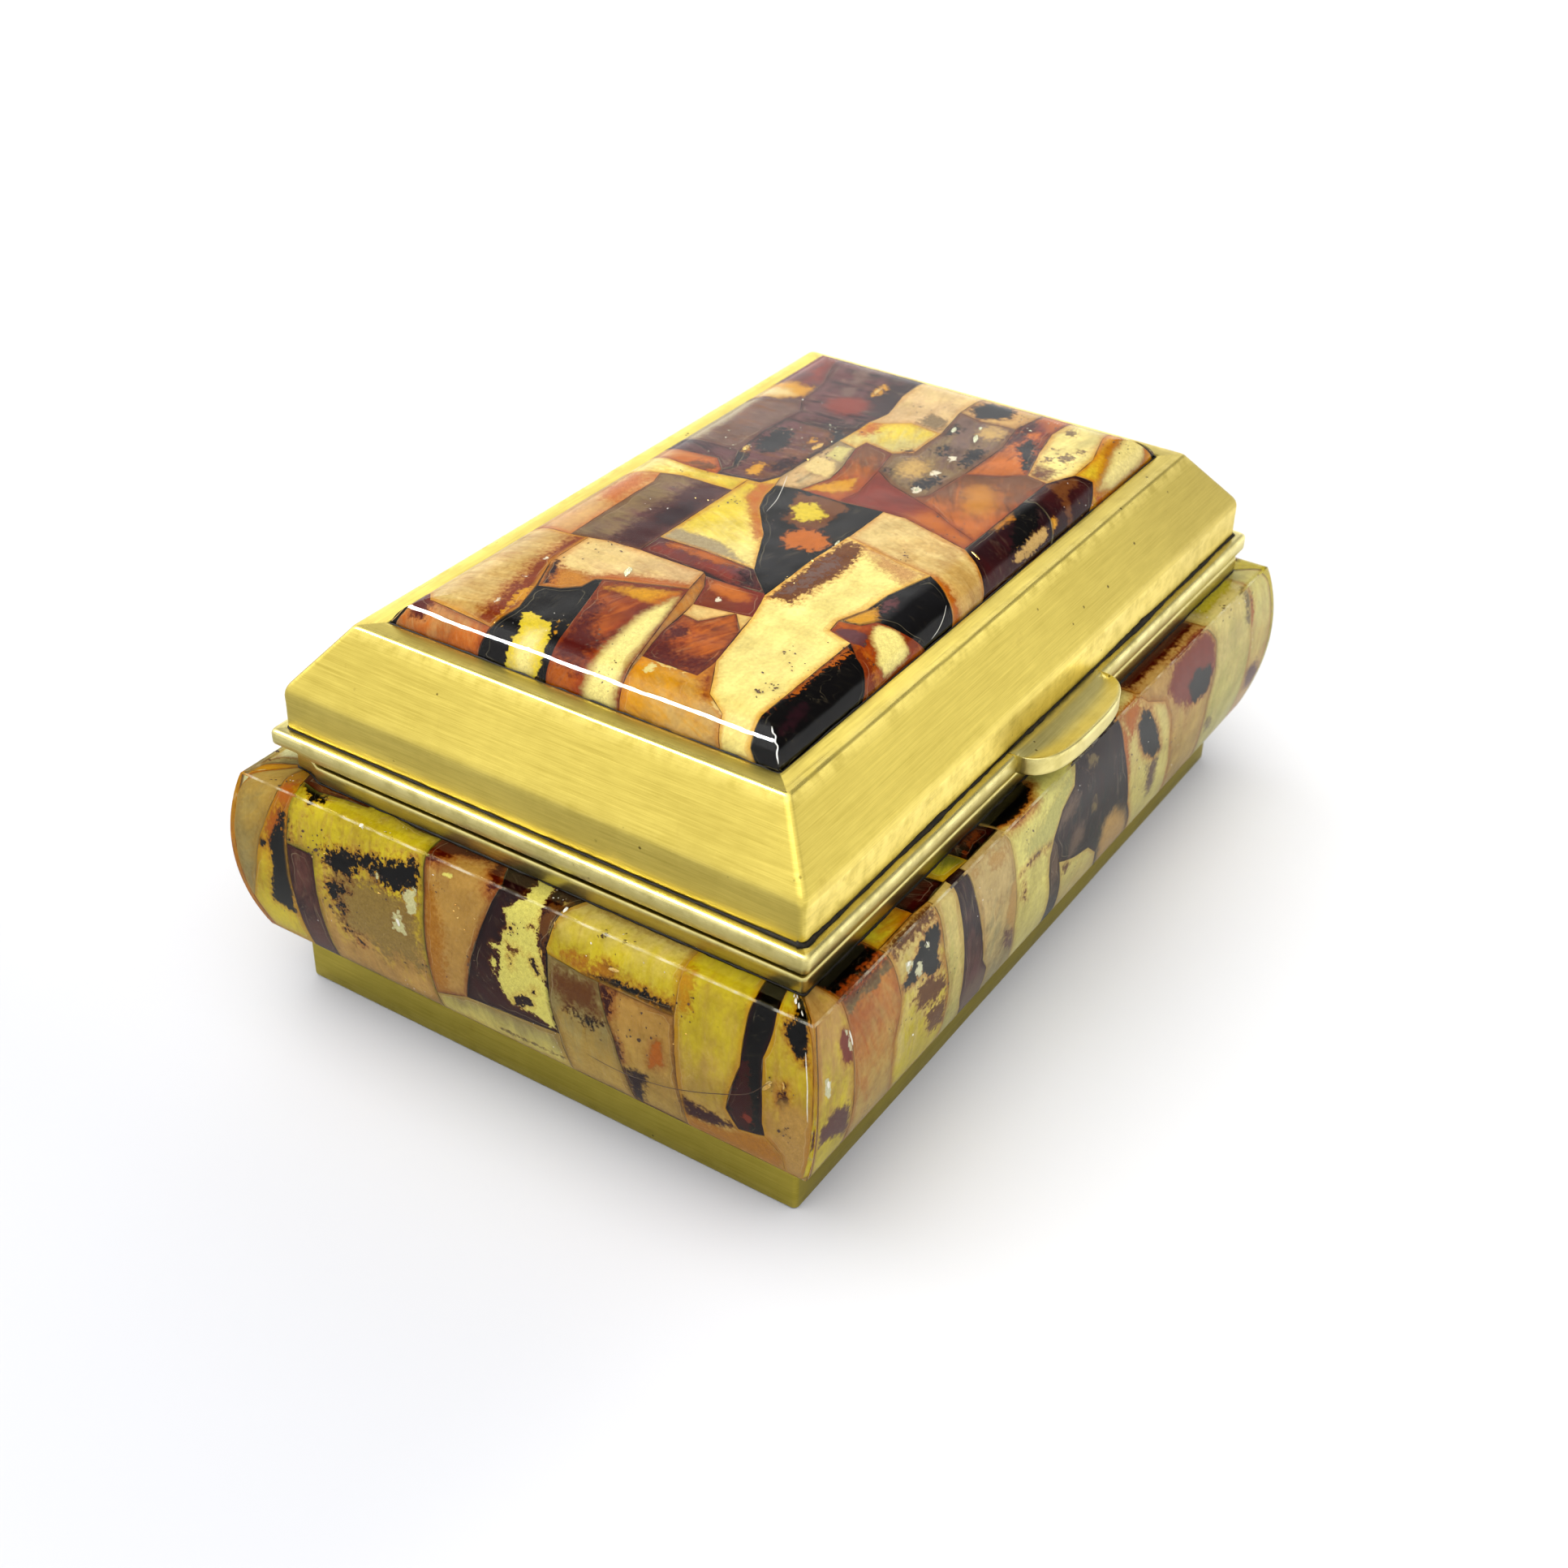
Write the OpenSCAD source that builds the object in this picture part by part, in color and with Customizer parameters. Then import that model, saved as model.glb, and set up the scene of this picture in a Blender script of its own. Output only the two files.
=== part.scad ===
// Hinged brass casket veneered with an amber mosaic.
// Millimetres. Z up, the casket rests on Z = 0, origin at the centre of the
// underside. The thumb tab is on the front, towards -Y; the hinge is on the
// back, towards +Y. X runs from left to right.
// Names ending in _o are offsets: distances outwards from the plinth's
// outline, the same on all four sides.

/* [Casket] */
// Length of the brass plinth, left to right
plinth_l = 90; // [76:1:120]
// Width of the brass plinth, front to back
plinth_w = 59; // [50:1:80]
// Height of the plinth band
plinth_h = 7; // [5:0.5:9]
// Height from the table to the top of the body's rim
body_h = 28.35; // [26:0.05:36]
// Height of the bright brass rim band above the amber
rim_h = 2.75; // [2.6:0.05:4]
// Thickness of the tray's brass sheet
sheet = 1.2; // [0.8:0.1:1.6]

/* [Amber panels] */
// How far the amber bulges past the plinth at its fullest
bulge = 4.3; // [3:0.1:6]
// Height of the fullest point of the bulge
bulge_z = 17.2; // [14:0.1:20]
// Radius of the bulging face
bulge_r = 28; // [24:1:60]
// Width of the glue joint between two tiles
joint = 0.1; // [0.05:0.01:0.2]

/* [Lid] */
// Height of the lid's upright skirt
skirt_h = 4.2; // [3:0.1:6]
// How far the sloping sides run inwards
slope_in = 5.1; // [4:0.1:7]
// Height of the sloping sides
slope_h = 6.2; // [5:0.1:8]
// Thickness of the lid's base plate
flange_t = 1.54; // [1.2:0.02:2]
// Overhang of the lid's base plate past the plinth
flange_over = 0.78; // [0.5:0.02:1.1]
// Gap between the shut lid and the body's rim
shut_gap = 0.25; // [0.15:0.05:0.4]
// How far the amber cushion stands above the lid's brass rim
cushion_h = 2.4; // [1.8:0.1:3]
// Rounding radius of the cushion's edges
cushion_r = 3; // [2.4:0.1:4]
// Width of the brass strip around the cushion
top_strip = 2.4; // [1.8:0.1:4]

/* [Thumb tab] */
// Width of the thumb tab
tab_w = 18.6; // [12:0.2:26]
// Reach of the thumb tab past the lid's base plate
tab_reach = 3.4; // [2.4:0.1:5]

/* [Hinge] */
// Overall length of the hinge
hinge_l = 56; // [40:1:66]
// Outer radius of the hinge knuckles
knuckle_r = 1.1; // [1:0.05:1.2]
// Radius of the hinge pin
pin_r = 0.55; // [0.45:0.01:0.6]
// Running clearance between the pin and the lid's knuckles
pin_clear = 0.05; // [0.03:0.01:0.08]

/* [Hidden] */
half_l = plinth_l / 2;
half_w = plinth_w / 2;
over = 1;                            // how far cutting shapes run past a face

// Body
amber_top = body_h - rim_h;          // top of the amber panels, foot of the rim
wall_o = -1.5;                       // tray's outer face
in_o = wall_o - sheet;               // tray's inner face
rim_o = -0.7;                        // rim band's face
felt_t = 1.2;
felt_gap = 0.1;                      // between the felt and the plinth
floor_z = felt_t + sheet;            // top of the tray's floor

// Velvet lining
pad_t = 1.2;                         // floor and lid pads
wall_pad_t = 0.9;
pad_gap = 0.05;                      // around the body's pads
wall_pad_z = floor_z + pad_t + pad_gap;
wall_pad_top = body_h - 0.75;

// Lid
flange_z = body_h + shut_gap;
skirt_z = flange_z + flange_t;
flange_in_o = -5;                    // base plate's inner edge
skirt_o = -0.35;                     // skirt's face
strip_z = skirt_z + skirt_h + slope_h;   // level of the brass strip on top
cushion_z = strip_z - 1.2;           // floor of the cushion's seat
cushion_half_l = half_l + skirt_o - slope_in - top_strip;
cushion_half_w = half_w + skirt_o - slope_in - top_strip;
seat_gap = 0.1;                      // around the cushion in its seat
seat_cut_h = 4;                      // height of the block that cuts the seat
shell_t = 1.1;
hollow_top = cushion_z - shell_t;
lid_pad_gap = 0.3;                   // from the foot of the flat top to the pad

// Thumb tab
tab_inset = 0.25;                    // how far its tongue runs inside the plinth's outline
tab_gap = 0.25;                      // on each side of the tongue in its notch
notch_reach = 2;                     // how far the notch's cutter runs out
tab_root = 0.1;                      // start of the lip inside the base plate's edge
dish_r = 5;
dish_depth = 0.25;

// Hinge
leaf_t = 0.5;
leaf_gap = 0.05;                     // between the body leaf and the knuckles
leaf_edge = 0.05;                    // from each leaf to the level of the rim's top
body_leaf_rise = 0.15;               // from the rim's foot to the body leaf
lid_leaf_drop = 0.04;                // from the base plate's top to the lid leaf
lid_web_rise = 0.3;                  // height of the lid knuckles' webs above the rim
body_bore_gap = 0.01;                // between the pin and the body's knuckles
pin_head_l = 0.4;
pin_head_rise = 0.3;                 // how far the heads' radius exceeds the pin's
knuckles = 5;
knuckle_gap = 0.2;
knuckle_l = (hinge_l - (knuckles - 1) * knuckle_gap) / knuckles;
hinge_y = half_w + rim_o + leaf_t + leaf_gap + knuckle_r;
hinge_z = body_h - knuckle_r;

// Colours
brass = [0.78, 0.70, 0.36];
old_brass = [0.62, 0.57, 0.25];
pin_metal = [0.70, 0.66, 0.50];
felt = [0.16, 0.12, 0.10];
velvet = [0.35, 0.07, 0.09];
pale = [0.90, 0.80, 0.50];
honey = [0.76, 0.40, 0.10];
dark = [0.20, 0.08, 0.06];

// ---- mosaic tables -------------------------------------------------------

// Side panels, left to right as seen from outside. Each cut is [position at
// the foot, position at the top], as a fraction of the panel's half length
// with its bulge. Tones give the tiles between the cuts:
// 0 pale, 1 honey to cognac, 2 dark.
front_cuts = [[-0.88, -0.88], [-0.75, -0.77], [-0.56, -0.57], [-0.47, -0.50],
              [-0.36, -0.43], [-0.25, -0.28], [-0.06, -0.16], [0.29, 0.21],
              [0.44, 0.34], [0.72, 0.66], [0.87, 0.89]];
front_tones = [1, 1, 0, 0, 2, 0, 0, 2, 0, 1, 0, 1];
left_cuts = [[-0.78, -0.78], [-0.68, -0.69], [-0.28, -0.28], [-0.16, -0.03],
             [0.18, 0.17], [0.39, 0.31], [0.57, 0.57], [0.74, 0.78], [0.88, 0.89]];
left_tones = [0, 2, 0, 1, 2, 0, 1, 0, 2, 1];
back_cuts = [[-0.86, -0.84], [-0.70, -0.74], [-0.52, -0.49], [-0.33, -0.38],
             [-0.15, -0.12], [0.04, 0.01], [0.21, 0.27], [0.43, 0.39],
             [0.60, 0.63], [0.79, 0.76], [0.90, 0.90]];
back_tones = [1, 0, 2, 0, 1, 0, 2, 1, 0, 1, 0, 2];
right_cuts = [[-0.80, -0.82], [-0.58, -0.52], [-0.34, -0.38], [-0.08, -0.02],
              [0.17, 0.12], [0.38, 0.44], [0.60, 0.57], [0.82, 0.84]];
right_tones = [0, 1, 0, 2, 0, 1, 0, 2, 1];

// The lid's cushion is laid in rows, front to back. row_y holds the rows'
// borders as fractions of the half width. Cuts run along each row, left to
// right: [position at the front border, position at the back border], as
// fractions of the half length.
row_y = [-1, -0.77, -0.30, 0.20, 0.65, 1];
top_cuts = [
    [[-0.50, -0.47], [-0.38, -0.40], [-0.10, -0.12], [0.05, 0.07], [0.33, 0.36],
     [0.56, 0.53]],
    [[-0.86, -0.82], [-0.52, -0.50], [-0.08, -0.07], [0.10, 0.12], [0.22, 0.27],
     [0.60, 0.57]],
    [[-0.84, -0.86], [-0.56, -0.60], [-0.42, -0.42], [-0.30, -0.30], [0.11, 0.06],
     [0.30, 0.28], [0.62, 0.66], [0.82, 0.80]],
    [[-0.60, -0.68], [-0.42, -0.42], [-0.30, -0.04], [0.08, 0.07], [0.42, 0.44],
     [0.66, 0.63]],
    [[-0.92, -0.93], [-0.46, -0.44], [-0.04, -0.05], [0.12, 0.10], [0.58, 0.60]]
];
top_tones = [
    [2, 1, 2, 0, 2, 1, 1],
    [0, 0, 0, 0, 1, 1, 0],
    [1, 1, 0, 1, 2, 1, 0, 0, 2],
    [2, 0, 0, 0, 2, 1, 1],
    [1, 0, 1, 0, 2, 1]
];

// ---- helpers -------------------------------------------------------------

// A flat block whose sides lie at one offset
module block(offs, z0, z1) {
    translate([-(half_l + offs), -(half_w + offs), z0])
        cube([2 * (half_l + offs), 2 * (half_w + offs), z1 - z0]);
}

// A rectangular ring between two offsets
module ring(outer, inner, z0, z1) {
    difference() {
        block(outer, z0, z1);
        block(inner, z0 - over, z1 + over);
    }
}

// Bar along X whose cross-section is a polygon in Y and Z
module along_x(length) {
    translate([-length / 2, 0, 0]) rotate([90, 0, 90]) linear_extrude(length) children();
}

// Bar along Y whose cross-section is a polygon in X and Z
module along_y(length) {
    translate([0, length / 2, 0]) rotate([90, 0, 0]) linear_extrude(length) children();
}

// ---- amber ---------------------------------------------------------------

// Outline of tile i between two border lines at low and high. Cuts are scaled
// by half; the end tiles run out to the fraction end.
function tile_pts(cuts, i, half, end, low, high) = let (
    left = i == 0 ? [-end, -end] : cuts[i - 1],
    right = i == len(cuts) ? [end, end] : cuts[i])
    [[left[0] * half + joint / 2, low], [right[0] * half - joint / 2, low],
     [right[1] * half - joint / 2, high], [left[1] * half + joint / 2, high]];

// One side panel in the front position: half_wall is the half length of the
// wall it covers, face the distance from the centre to the plinth's face
module panel_form(half_wall, face) {
    blank_o = 8;                     // outer face of the block it is shaped from
    intersection() {
        along_x(2 * (half_wall + blank_o)) intersection() {
            translate([-(face + blank_o), plinth_h])
                square([blank_o - wall_o, amber_top - plinth_h]);
            translate([-(face + bulge - bulge_r), bulge_z]) circle(r = bulge_r, $fn = 96);
        }
        // mitred ends, each cut back by one joint along the wall
        linear_extrude(body_h) polygon([
            [-(half_wall + wall_o) + joint, -(face + wall_o)],
            [half_wall + wall_o - joint, -(face + wall_o)],
            [half_wall + blank_o - joint, -(face + blank_o)],
            [-(half_wall + blank_o) + joint, -(face + blank_o)]]);
    }
}

// The tiles of one tone in a side panel, in the front position
module side_tiles(half_wall, face, cuts, tones, tone) {
    tile_depth = 14;
    tile_inset = 2;                  // how far the tile blocks start inside the wall's face
    intersection() {
        panel_form(half_wall, face);
        union() for (i = [0:len(cuts)]) if (tones[i] == tone)
            translate([0, -(face + wall_o) + tile_inset, 0]) rotate([90, 0, 0])
                linear_extrude(tile_depth)
                    polygon(tile_pts(cuts, i, half_wall + bulge, 1.3,
                                     plinth_h - over, amber_top + over));
    }
}

module front_tiles(tone) { side_tiles(half_l, half_w, front_cuts, front_tones, tone); }
module back_tiles(tone) {
    rotate([0, 0, 180]) side_tiles(half_l, half_w, back_cuts, back_tones, tone);
}
module left_tiles(tone) {
    rotate([0, 0, -90]) side_tiles(half_w, half_l, left_cuts, left_tones, tone);
}
module right_tiles(tone) {
    rotate([0, 0, 90]) side_tiles(half_w, half_l, right_cuts, right_tones, tone);
}

// Quarter circle of the cushion's bullnose, from the angle start
function bullnose(centre_x, start) = [for (i = [0:8]) let (t = start + 90 * i / 8)
    [centre_x + cushion_r * cos(t), strip_z + cushion_h - cushion_r + cushion_r * sin(t)]];

function cushion_pts(half) = concat(
    [[half, cushion_z]],
    bullnose(half - cushion_r, 0),
    bullnose(-(half - cushion_r), 90),
    [[-half, cushion_z]]);

// The cushion on the lid: two rounded bars crossed, so their bullnose edges
// meet in a mitre crease at each corner
module cushion_form() {
    intersection() {
        along_y(2 * (cushion_half_w + over)) polygon(cushion_pts(cushion_half_l));
        along_x(2 * (cushion_half_l + over)) polygon(cushion_pts(cushion_half_w));
    }
}

module top_tiles(tone) {
    last = len(top_cuts) - 1;
    tile_h = cushion_h + 4;          // reaches above the cushion
    intersection() {
        cushion_form();
        union() for (row = [0:last]) {
            front = row_y[row] * cushion_half_w + (row == 0 ? -over : joint / 2);
            back = row_y[row + 1] * cushion_half_w + (row == last ? over : -joint / 2);
            for (i = [0:len(top_cuts[row])]) if (top_tones[row][i] == tone)
                translate([0, 0, cushion_z - over]) linear_extrude(tile_h)
                    polygon(tile_pts(top_cuts[row], i, cushion_half_l, 1.1, front, back));
        }
    }
}

module front_tiles_pale() { color(pale) front_tiles(0); }
module front_tiles_honey() { color(honey) front_tiles(1); }
module front_tiles_dark() { color(dark) front_tiles(2); }
module back_tiles_pale() { color(pale) back_tiles(0); }
module back_tiles_honey() { color(honey) back_tiles(1); }
module back_tiles_dark() { color(dark) back_tiles(2); }
module left_tiles_pale() { color(pale) left_tiles(0); }
module left_tiles_honey() { color(honey) left_tiles(1); }
module left_tiles_dark() { color(dark) left_tiles(2); }
module right_tiles_pale() { color(pale) right_tiles(0); }
module right_tiles_honey() { color(honey) right_tiles(1); }
module right_tiles_dark() { color(dark) right_tiles(2); }
module top_tiles_pale() { color(pale) top_tiles(0); }
module top_tiles_honey() { color(honey) top_tiles(1); }
module top_tiles_dark() { color(dark) top_tiles(2); }

// ---- body ----------------------------------------------------------------

// Band around the foot; the tray stands inside it
module plinth_frame() { color(old_brass) ring(0, wall_o, 0, plinth_h); }

// Felt sheet under the tray's floor, level with the plinth's foot
module base_felt() { color(felt) block(wall_o - felt_gap, 0, felt_t); }

// Folded brass tray: four walls and a floor
module body_tray() {
    color(brass) difference() {
        block(wall_o, felt_t, amber_top);
        block(in_o, floor_z, amber_top + over);
    }
}

// Rim band that caps the tray and the amber
module body_rim() { color(brass) ring(rim_o, in_o, amber_top, body_h); }

module lining_floor() { color(velvet) block(in_o - pad_gap, floor_z, floor_z + pad_t); }

// Velvet-covered card against a wall, centred on x and y
module wall_pad(x, y, size_x, size_y) {
    translate([x - size_x / 2, y - size_y / 2, wall_pad_z])
        cube([size_x, size_y, wall_pad_top - wall_pad_z]);
}

// Front (side = -1) or back (1) pad, the full length of the tray
module long_pad(side) {
    wall_pad(0, side * (half_w + in_o - wall_pad_t / 2),
             2 * (half_l + in_o - pad_gap), wall_pad_t);
}

// Left (side = -1) or right (1) pad, fitted between the long pads
module short_pad(side) {
    wall_pad(side * (half_l + in_o - wall_pad_t / 2), 0,
             wall_pad_t, 2 * (half_w + in_o - wall_pad_t - pad_gap));
}

module lining_front() { color(velvet) long_pad(-1); }
module lining_back() { color(velvet) long_pad(1); }
module lining_left() { color(velvet) short_pad(-1); }
module lining_right() { color(velvet) short_pad(1); }

// ---- hinge ---------------------------------------------------------------

function knuckle_x(i) = -hinge_l / 2 + i * (knuckle_l + knuckle_gap);

// Solid rod along X on the hinge axis, starting at x
module axis_rod(x, length, radius) {
    translate([x, hinge_y, hinge_z]) rotate([0, 90, 0])
        cylinder(r = radius, h = length, $fn = 64);
}

module bore(radius) { axis_rod(-hinge_l / 2 - over, hinge_l + 2 * over, radius); }

// Leaf on the rim's back face, with the first, third and fifth knuckle
module hinge_leaf_body() {
    leaf_y = half_w + rim_o;
    web_y = leaf_y + leaf_t / 2;     // the knuckles' webs start inside the leaf
    color(brass) difference() {
        union() {
            translate([-hinge_l / 2, leaf_y, amber_top + body_leaf_rise])
                cube([hinge_l, leaf_t, rim_h - body_leaf_rise - leaf_edge]);
            for (i = [0:2:knuckles - 1]) {
                axis_rod(knuckle_x(i), knuckle_l, knuckle_r);
                translate([knuckle_x(i), web_y, hinge_z - knuckle_r])
                    cube([knuckle_l, hinge_y - web_y, leaf_t]);
            }
        }
        bore(pin_r + body_bore_gap);
    }
}

// Leaf on the back edge of the lid's base plate, with the second and fourth
// knuckle
module hinge_leaf_lid() {
    leaf_y = half_w + flange_over;
    color(brass) difference() {
        union() {
            translate([-hinge_l / 2, leaf_y, body_h + leaf_edge])
                cube([hinge_l, leaf_t, shut_gap + flange_t - leaf_edge - lid_leaf_drop]);
            for (i = [1:2:knuckles - 1]) {
                axis_rod(knuckle_x(i), knuckle_l, knuckle_r);
                translate([knuckle_x(i), leaf_y, hinge_z])
                    cube([knuckle_l, leaf_t, knuckle_r + lid_web_rise]);
            }
        }
        bore(pin_r + pin_clear);
    }
}

// Pin with a peened head at each end
module hinge_pin() {
    left_end = -hinge_l / 2 - pin_head_l;
    color(pin_metal) union() {
        axis_rod(left_end, hinge_l + 2 * pin_head_l, pin_r);
        for (x = [left_end, hinge_l / 2]) axis_rod(x, pin_head_l, pin_r + pin_head_rise);
    }
}

// ---- lid -----------------------------------------------------------------

function unit(v) = v / norm(v);

// Points that round a corner of a path with a quadratic curve, starting and
// ending at the distance dist from it
function soften(before, corner, after, dist) = let (
    start = corner + unit(before - corner) * dist,
    finish = corner + unit(after - corner) * dist,
    steps = 5)
    [for (i = [0:steps]) let (t = i / steps)
        (1 - t) * (1 - t) * start + 2 * t * (1 - t) * corner + t * t * finish];

// Outline of the lid's shell seen end on, for a given half length
function shell_pts(half) = let (
    foot = [half, skirt_z],
    shoulder = [half, skirt_z + skirt_h],
    crest = [half - slope_in, strip_z],
    right = concat([foot], soften(foot, shoulder, crest, 1.2),
                   soften(shoulder, crest, [0, strip_z], 1.0)))
    concat(right, [for (i = [len(right) - 1:-1:0]) [-right[i][0], right[i][1]]]);

// Outline of the hollow inside it, shell_t in from the skirt and the slopes
function hollow_pts(half) = let (
    run = slope_in / slope_h,        // inwards run of the slope per unit of height
    slope_l = norm([slope_in, slope_h]),
    x1 = half - shell_t,
    z1 = skirt_z + skirt_h - shell_t * slope_in / slope_l
        + (half - shell_t * slope_h / slope_l - x1) / run,
    x2 = x1 - (hollow_top - z1) * run,
    z0 = skirt_z - over)
    [[x1, z0], [x1, z1], [x2, hollow_top], [-x2, hollow_top], [-x1, z1], [-x1, z0]];

// Pressed shell: skirt, four sloping sides, flat strip and the cushion's seat
module lid_shell() {
    skirt_half_l = half_l + skirt_o;
    skirt_half_w = half_w + skirt_o;
    bar_l = 2 * (skirt_half_l + 2 * over);
    bar_w = 2 * (skirt_half_w + 2 * over);
    seat_half_l = cushion_half_l + seat_gap;
    seat_half_w = cushion_half_w + seat_gap;
    color(brass) difference() {
        intersection() {
            along_y(bar_w) polygon(shell_pts(skirt_half_l));
            along_x(bar_l) polygon(shell_pts(skirt_half_w));
        }
        intersection() {
            along_y(bar_w) polygon(hollow_pts(skirt_half_l));
            along_x(bar_l) polygon(hollow_pts(skirt_half_w));
        }
        translate([-seat_half_l, -seat_half_w, cushion_z])
            cube([2 * seat_half_l, 2 * seat_half_w, seat_cut_h]);
    }
}

// Base plate of the lid, with a notch at the front for the thumb tab
module lid_flange() {
    color(brass) difference() {
        ring(flange_over, flange_in_o, flange_z, skirt_z);
        translate([-tab_w / 2 - tab_gap, -(half_w + notch_reach), flange_z - over])
            cube([tab_w + 2 * tab_gap, notch_reach + tab_inset, flange_t + 2 * over]);
    }
}

// Thumb tab: a tongue that sits in the notch and a half-oval lip, dished on top
module thumb_tab() {
    root_y = -(half_w - tab_inset);
    lip_y = -(half_w + flange_over - tab_root);
    color(brass) difference() {
        translate([0, 0, flange_z]) linear_extrude(flange_t) polygon(concat(
            [[-tab_w / 2, root_y]],
            [for (i = [0:32]) let (t = 180 + 180 * i / 32)
                [tab_w / 2 * cos(t), lip_y + (tab_reach + tab_root) * sin(t)]],
            [[tab_w / 2, root_y]]));
        translate([-tab_w, -(half_w + flange_over + tab_reach / 2),
                   skirt_z + dish_r - dish_depth])
            rotate([0, 90, 0]) cylinder(r = dish_r, h = 2 * tab_w, $fn = 96);
    }
}

// Velvet-covered pad under the lid's top
module lid_lining() {
    color(velvet) block(skirt_o - slope_in - lid_pad_gap, hollow_top - pad_t, hollow_top);
}

plinth_frame();
base_felt();
body_tray();
body_rim();
lining_floor();
lining_front();
lining_back();
lining_left();
lining_right();
front_tiles_pale();
front_tiles_honey();
front_tiles_dark();
back_tiles_pale();
back_tiles_honey();
back_tiles_dark();
left_tiles_pale();
left_tiles_honey();
left_tiles_dark();
right_tiles_pale();
right_tiles_honey();
right_tiles_dark();
hinge_leaf_body();
hinge_pin();
lid_flange();
lid_shell();
thumb_tab();
lid_lining();
hinge_leaf_lid();
top_tiles_pale();
top_tiles_honey();
top_tiles_dark();
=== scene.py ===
"""Amber casket with a brass-bound lid, rebuilt over its CAD pieces.

The casket stands on Z = 0, centred on the Z axis. X runs along its length (left is -X), the
front with the thumb tab faces -Y and the hinge is at +Y. Walls and cushion are mosaics of amber
tiles under a clear skin. Lengths are in mm unless said otherwise; `out` is a distance
outwards from the sides of the plinth.
"""
import bpy
import math
import random
import bmesh
import numpy as np
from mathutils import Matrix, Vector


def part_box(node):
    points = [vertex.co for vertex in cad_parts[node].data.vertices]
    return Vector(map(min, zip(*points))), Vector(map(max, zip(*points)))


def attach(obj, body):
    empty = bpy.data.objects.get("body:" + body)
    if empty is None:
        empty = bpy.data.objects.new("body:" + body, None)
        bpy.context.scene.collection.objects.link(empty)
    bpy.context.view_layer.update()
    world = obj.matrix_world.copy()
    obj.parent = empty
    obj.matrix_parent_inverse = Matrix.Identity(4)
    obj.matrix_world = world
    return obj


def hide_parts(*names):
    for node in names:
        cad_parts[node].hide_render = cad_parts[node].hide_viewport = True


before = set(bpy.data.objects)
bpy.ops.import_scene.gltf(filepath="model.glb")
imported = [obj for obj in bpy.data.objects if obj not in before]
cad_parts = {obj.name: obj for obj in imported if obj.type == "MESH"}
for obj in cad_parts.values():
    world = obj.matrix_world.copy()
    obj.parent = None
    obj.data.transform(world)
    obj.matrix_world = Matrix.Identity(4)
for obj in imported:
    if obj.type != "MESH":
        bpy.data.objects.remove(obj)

from types import SimpleNamespace
from mathutils import Matrix, Vector, noise as mnoise
from mathutils.geometry import delaunay_2d_cdt

mnoise.seed_set(11)  # noise_vector takes its offsets from this state, which varies between runs

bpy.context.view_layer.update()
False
MM = 0.001


# ---------------------------------------------------------------- dimensions
def box_mm(name):
    """Low and high corner of a CAD piece."""
    low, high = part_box(name)
    return [c / MM for c in low], [c / MM for c in high]


HALF_X, HALF_Y, PLINTH_TOP = box_mm("plinth_frame")[1]

_low, _high = box_mm("body_rim")
RIM_BOTTOM, RIM_TOP, RIM_OUT = _low[2], _high[2], _high[0] - HALF_X
WALL_OUT = box_mm("body_tray")[1][0] - HALF_X

_low, _high = box_mm("lid_flange")
PLATE_BOTTOM, PLATE_TOP, PLATE_OUT = _low[2], _high[2], _high[0] - HALF_X

_high = box_mm("lid_shell")[1]
SHELL_OUT, SHELL_TOP = _high[0] - HALF_X, _high[2]
SKIRT_TOP = PLATE_TOP + 4.2          # where the upright skirt turns into the slope
SLOPE_IN = 5.1                       # run of the slope inwards
STRIP_OUT = SHELL_OUT - SLOPE_IN     # outer edge of the flat strip round the cushion

TONES = ("pale", "honey", "dark")
_boxes = [box_mm("top_tiles_" + tone) for tone in TONES]
CUSHION_X = max(high[0] for _, high in _boxes)
CUSHION_Y = max(high[1] for _, high in _boxes)
CUSHION_BOTTOM = min(low[2] for low, _ in _boxes)
CUSHION_TOP = max(high[2] for _, high in _boxes)

_low, _high = box_mm("thumb_tab")
TAB_REACH, TAB_HALF = -_low[1], _high[0]

# the walls bulge: an arc of this radius, furthest out by BULGE at height BULGE_Z
BULGE, BULGE_Z, BULGE_RADIUS = 4.3, 17.2, 28.0
ARC_CENTRE = BULGE - BULGE_RADIUS
WALL_TOP_OUT = ARC_CENTRE + math.sqrt(BULGE_RADIUS ** 2 - (RIM_BOTTOM - BULGE_Z) ** 2)


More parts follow.
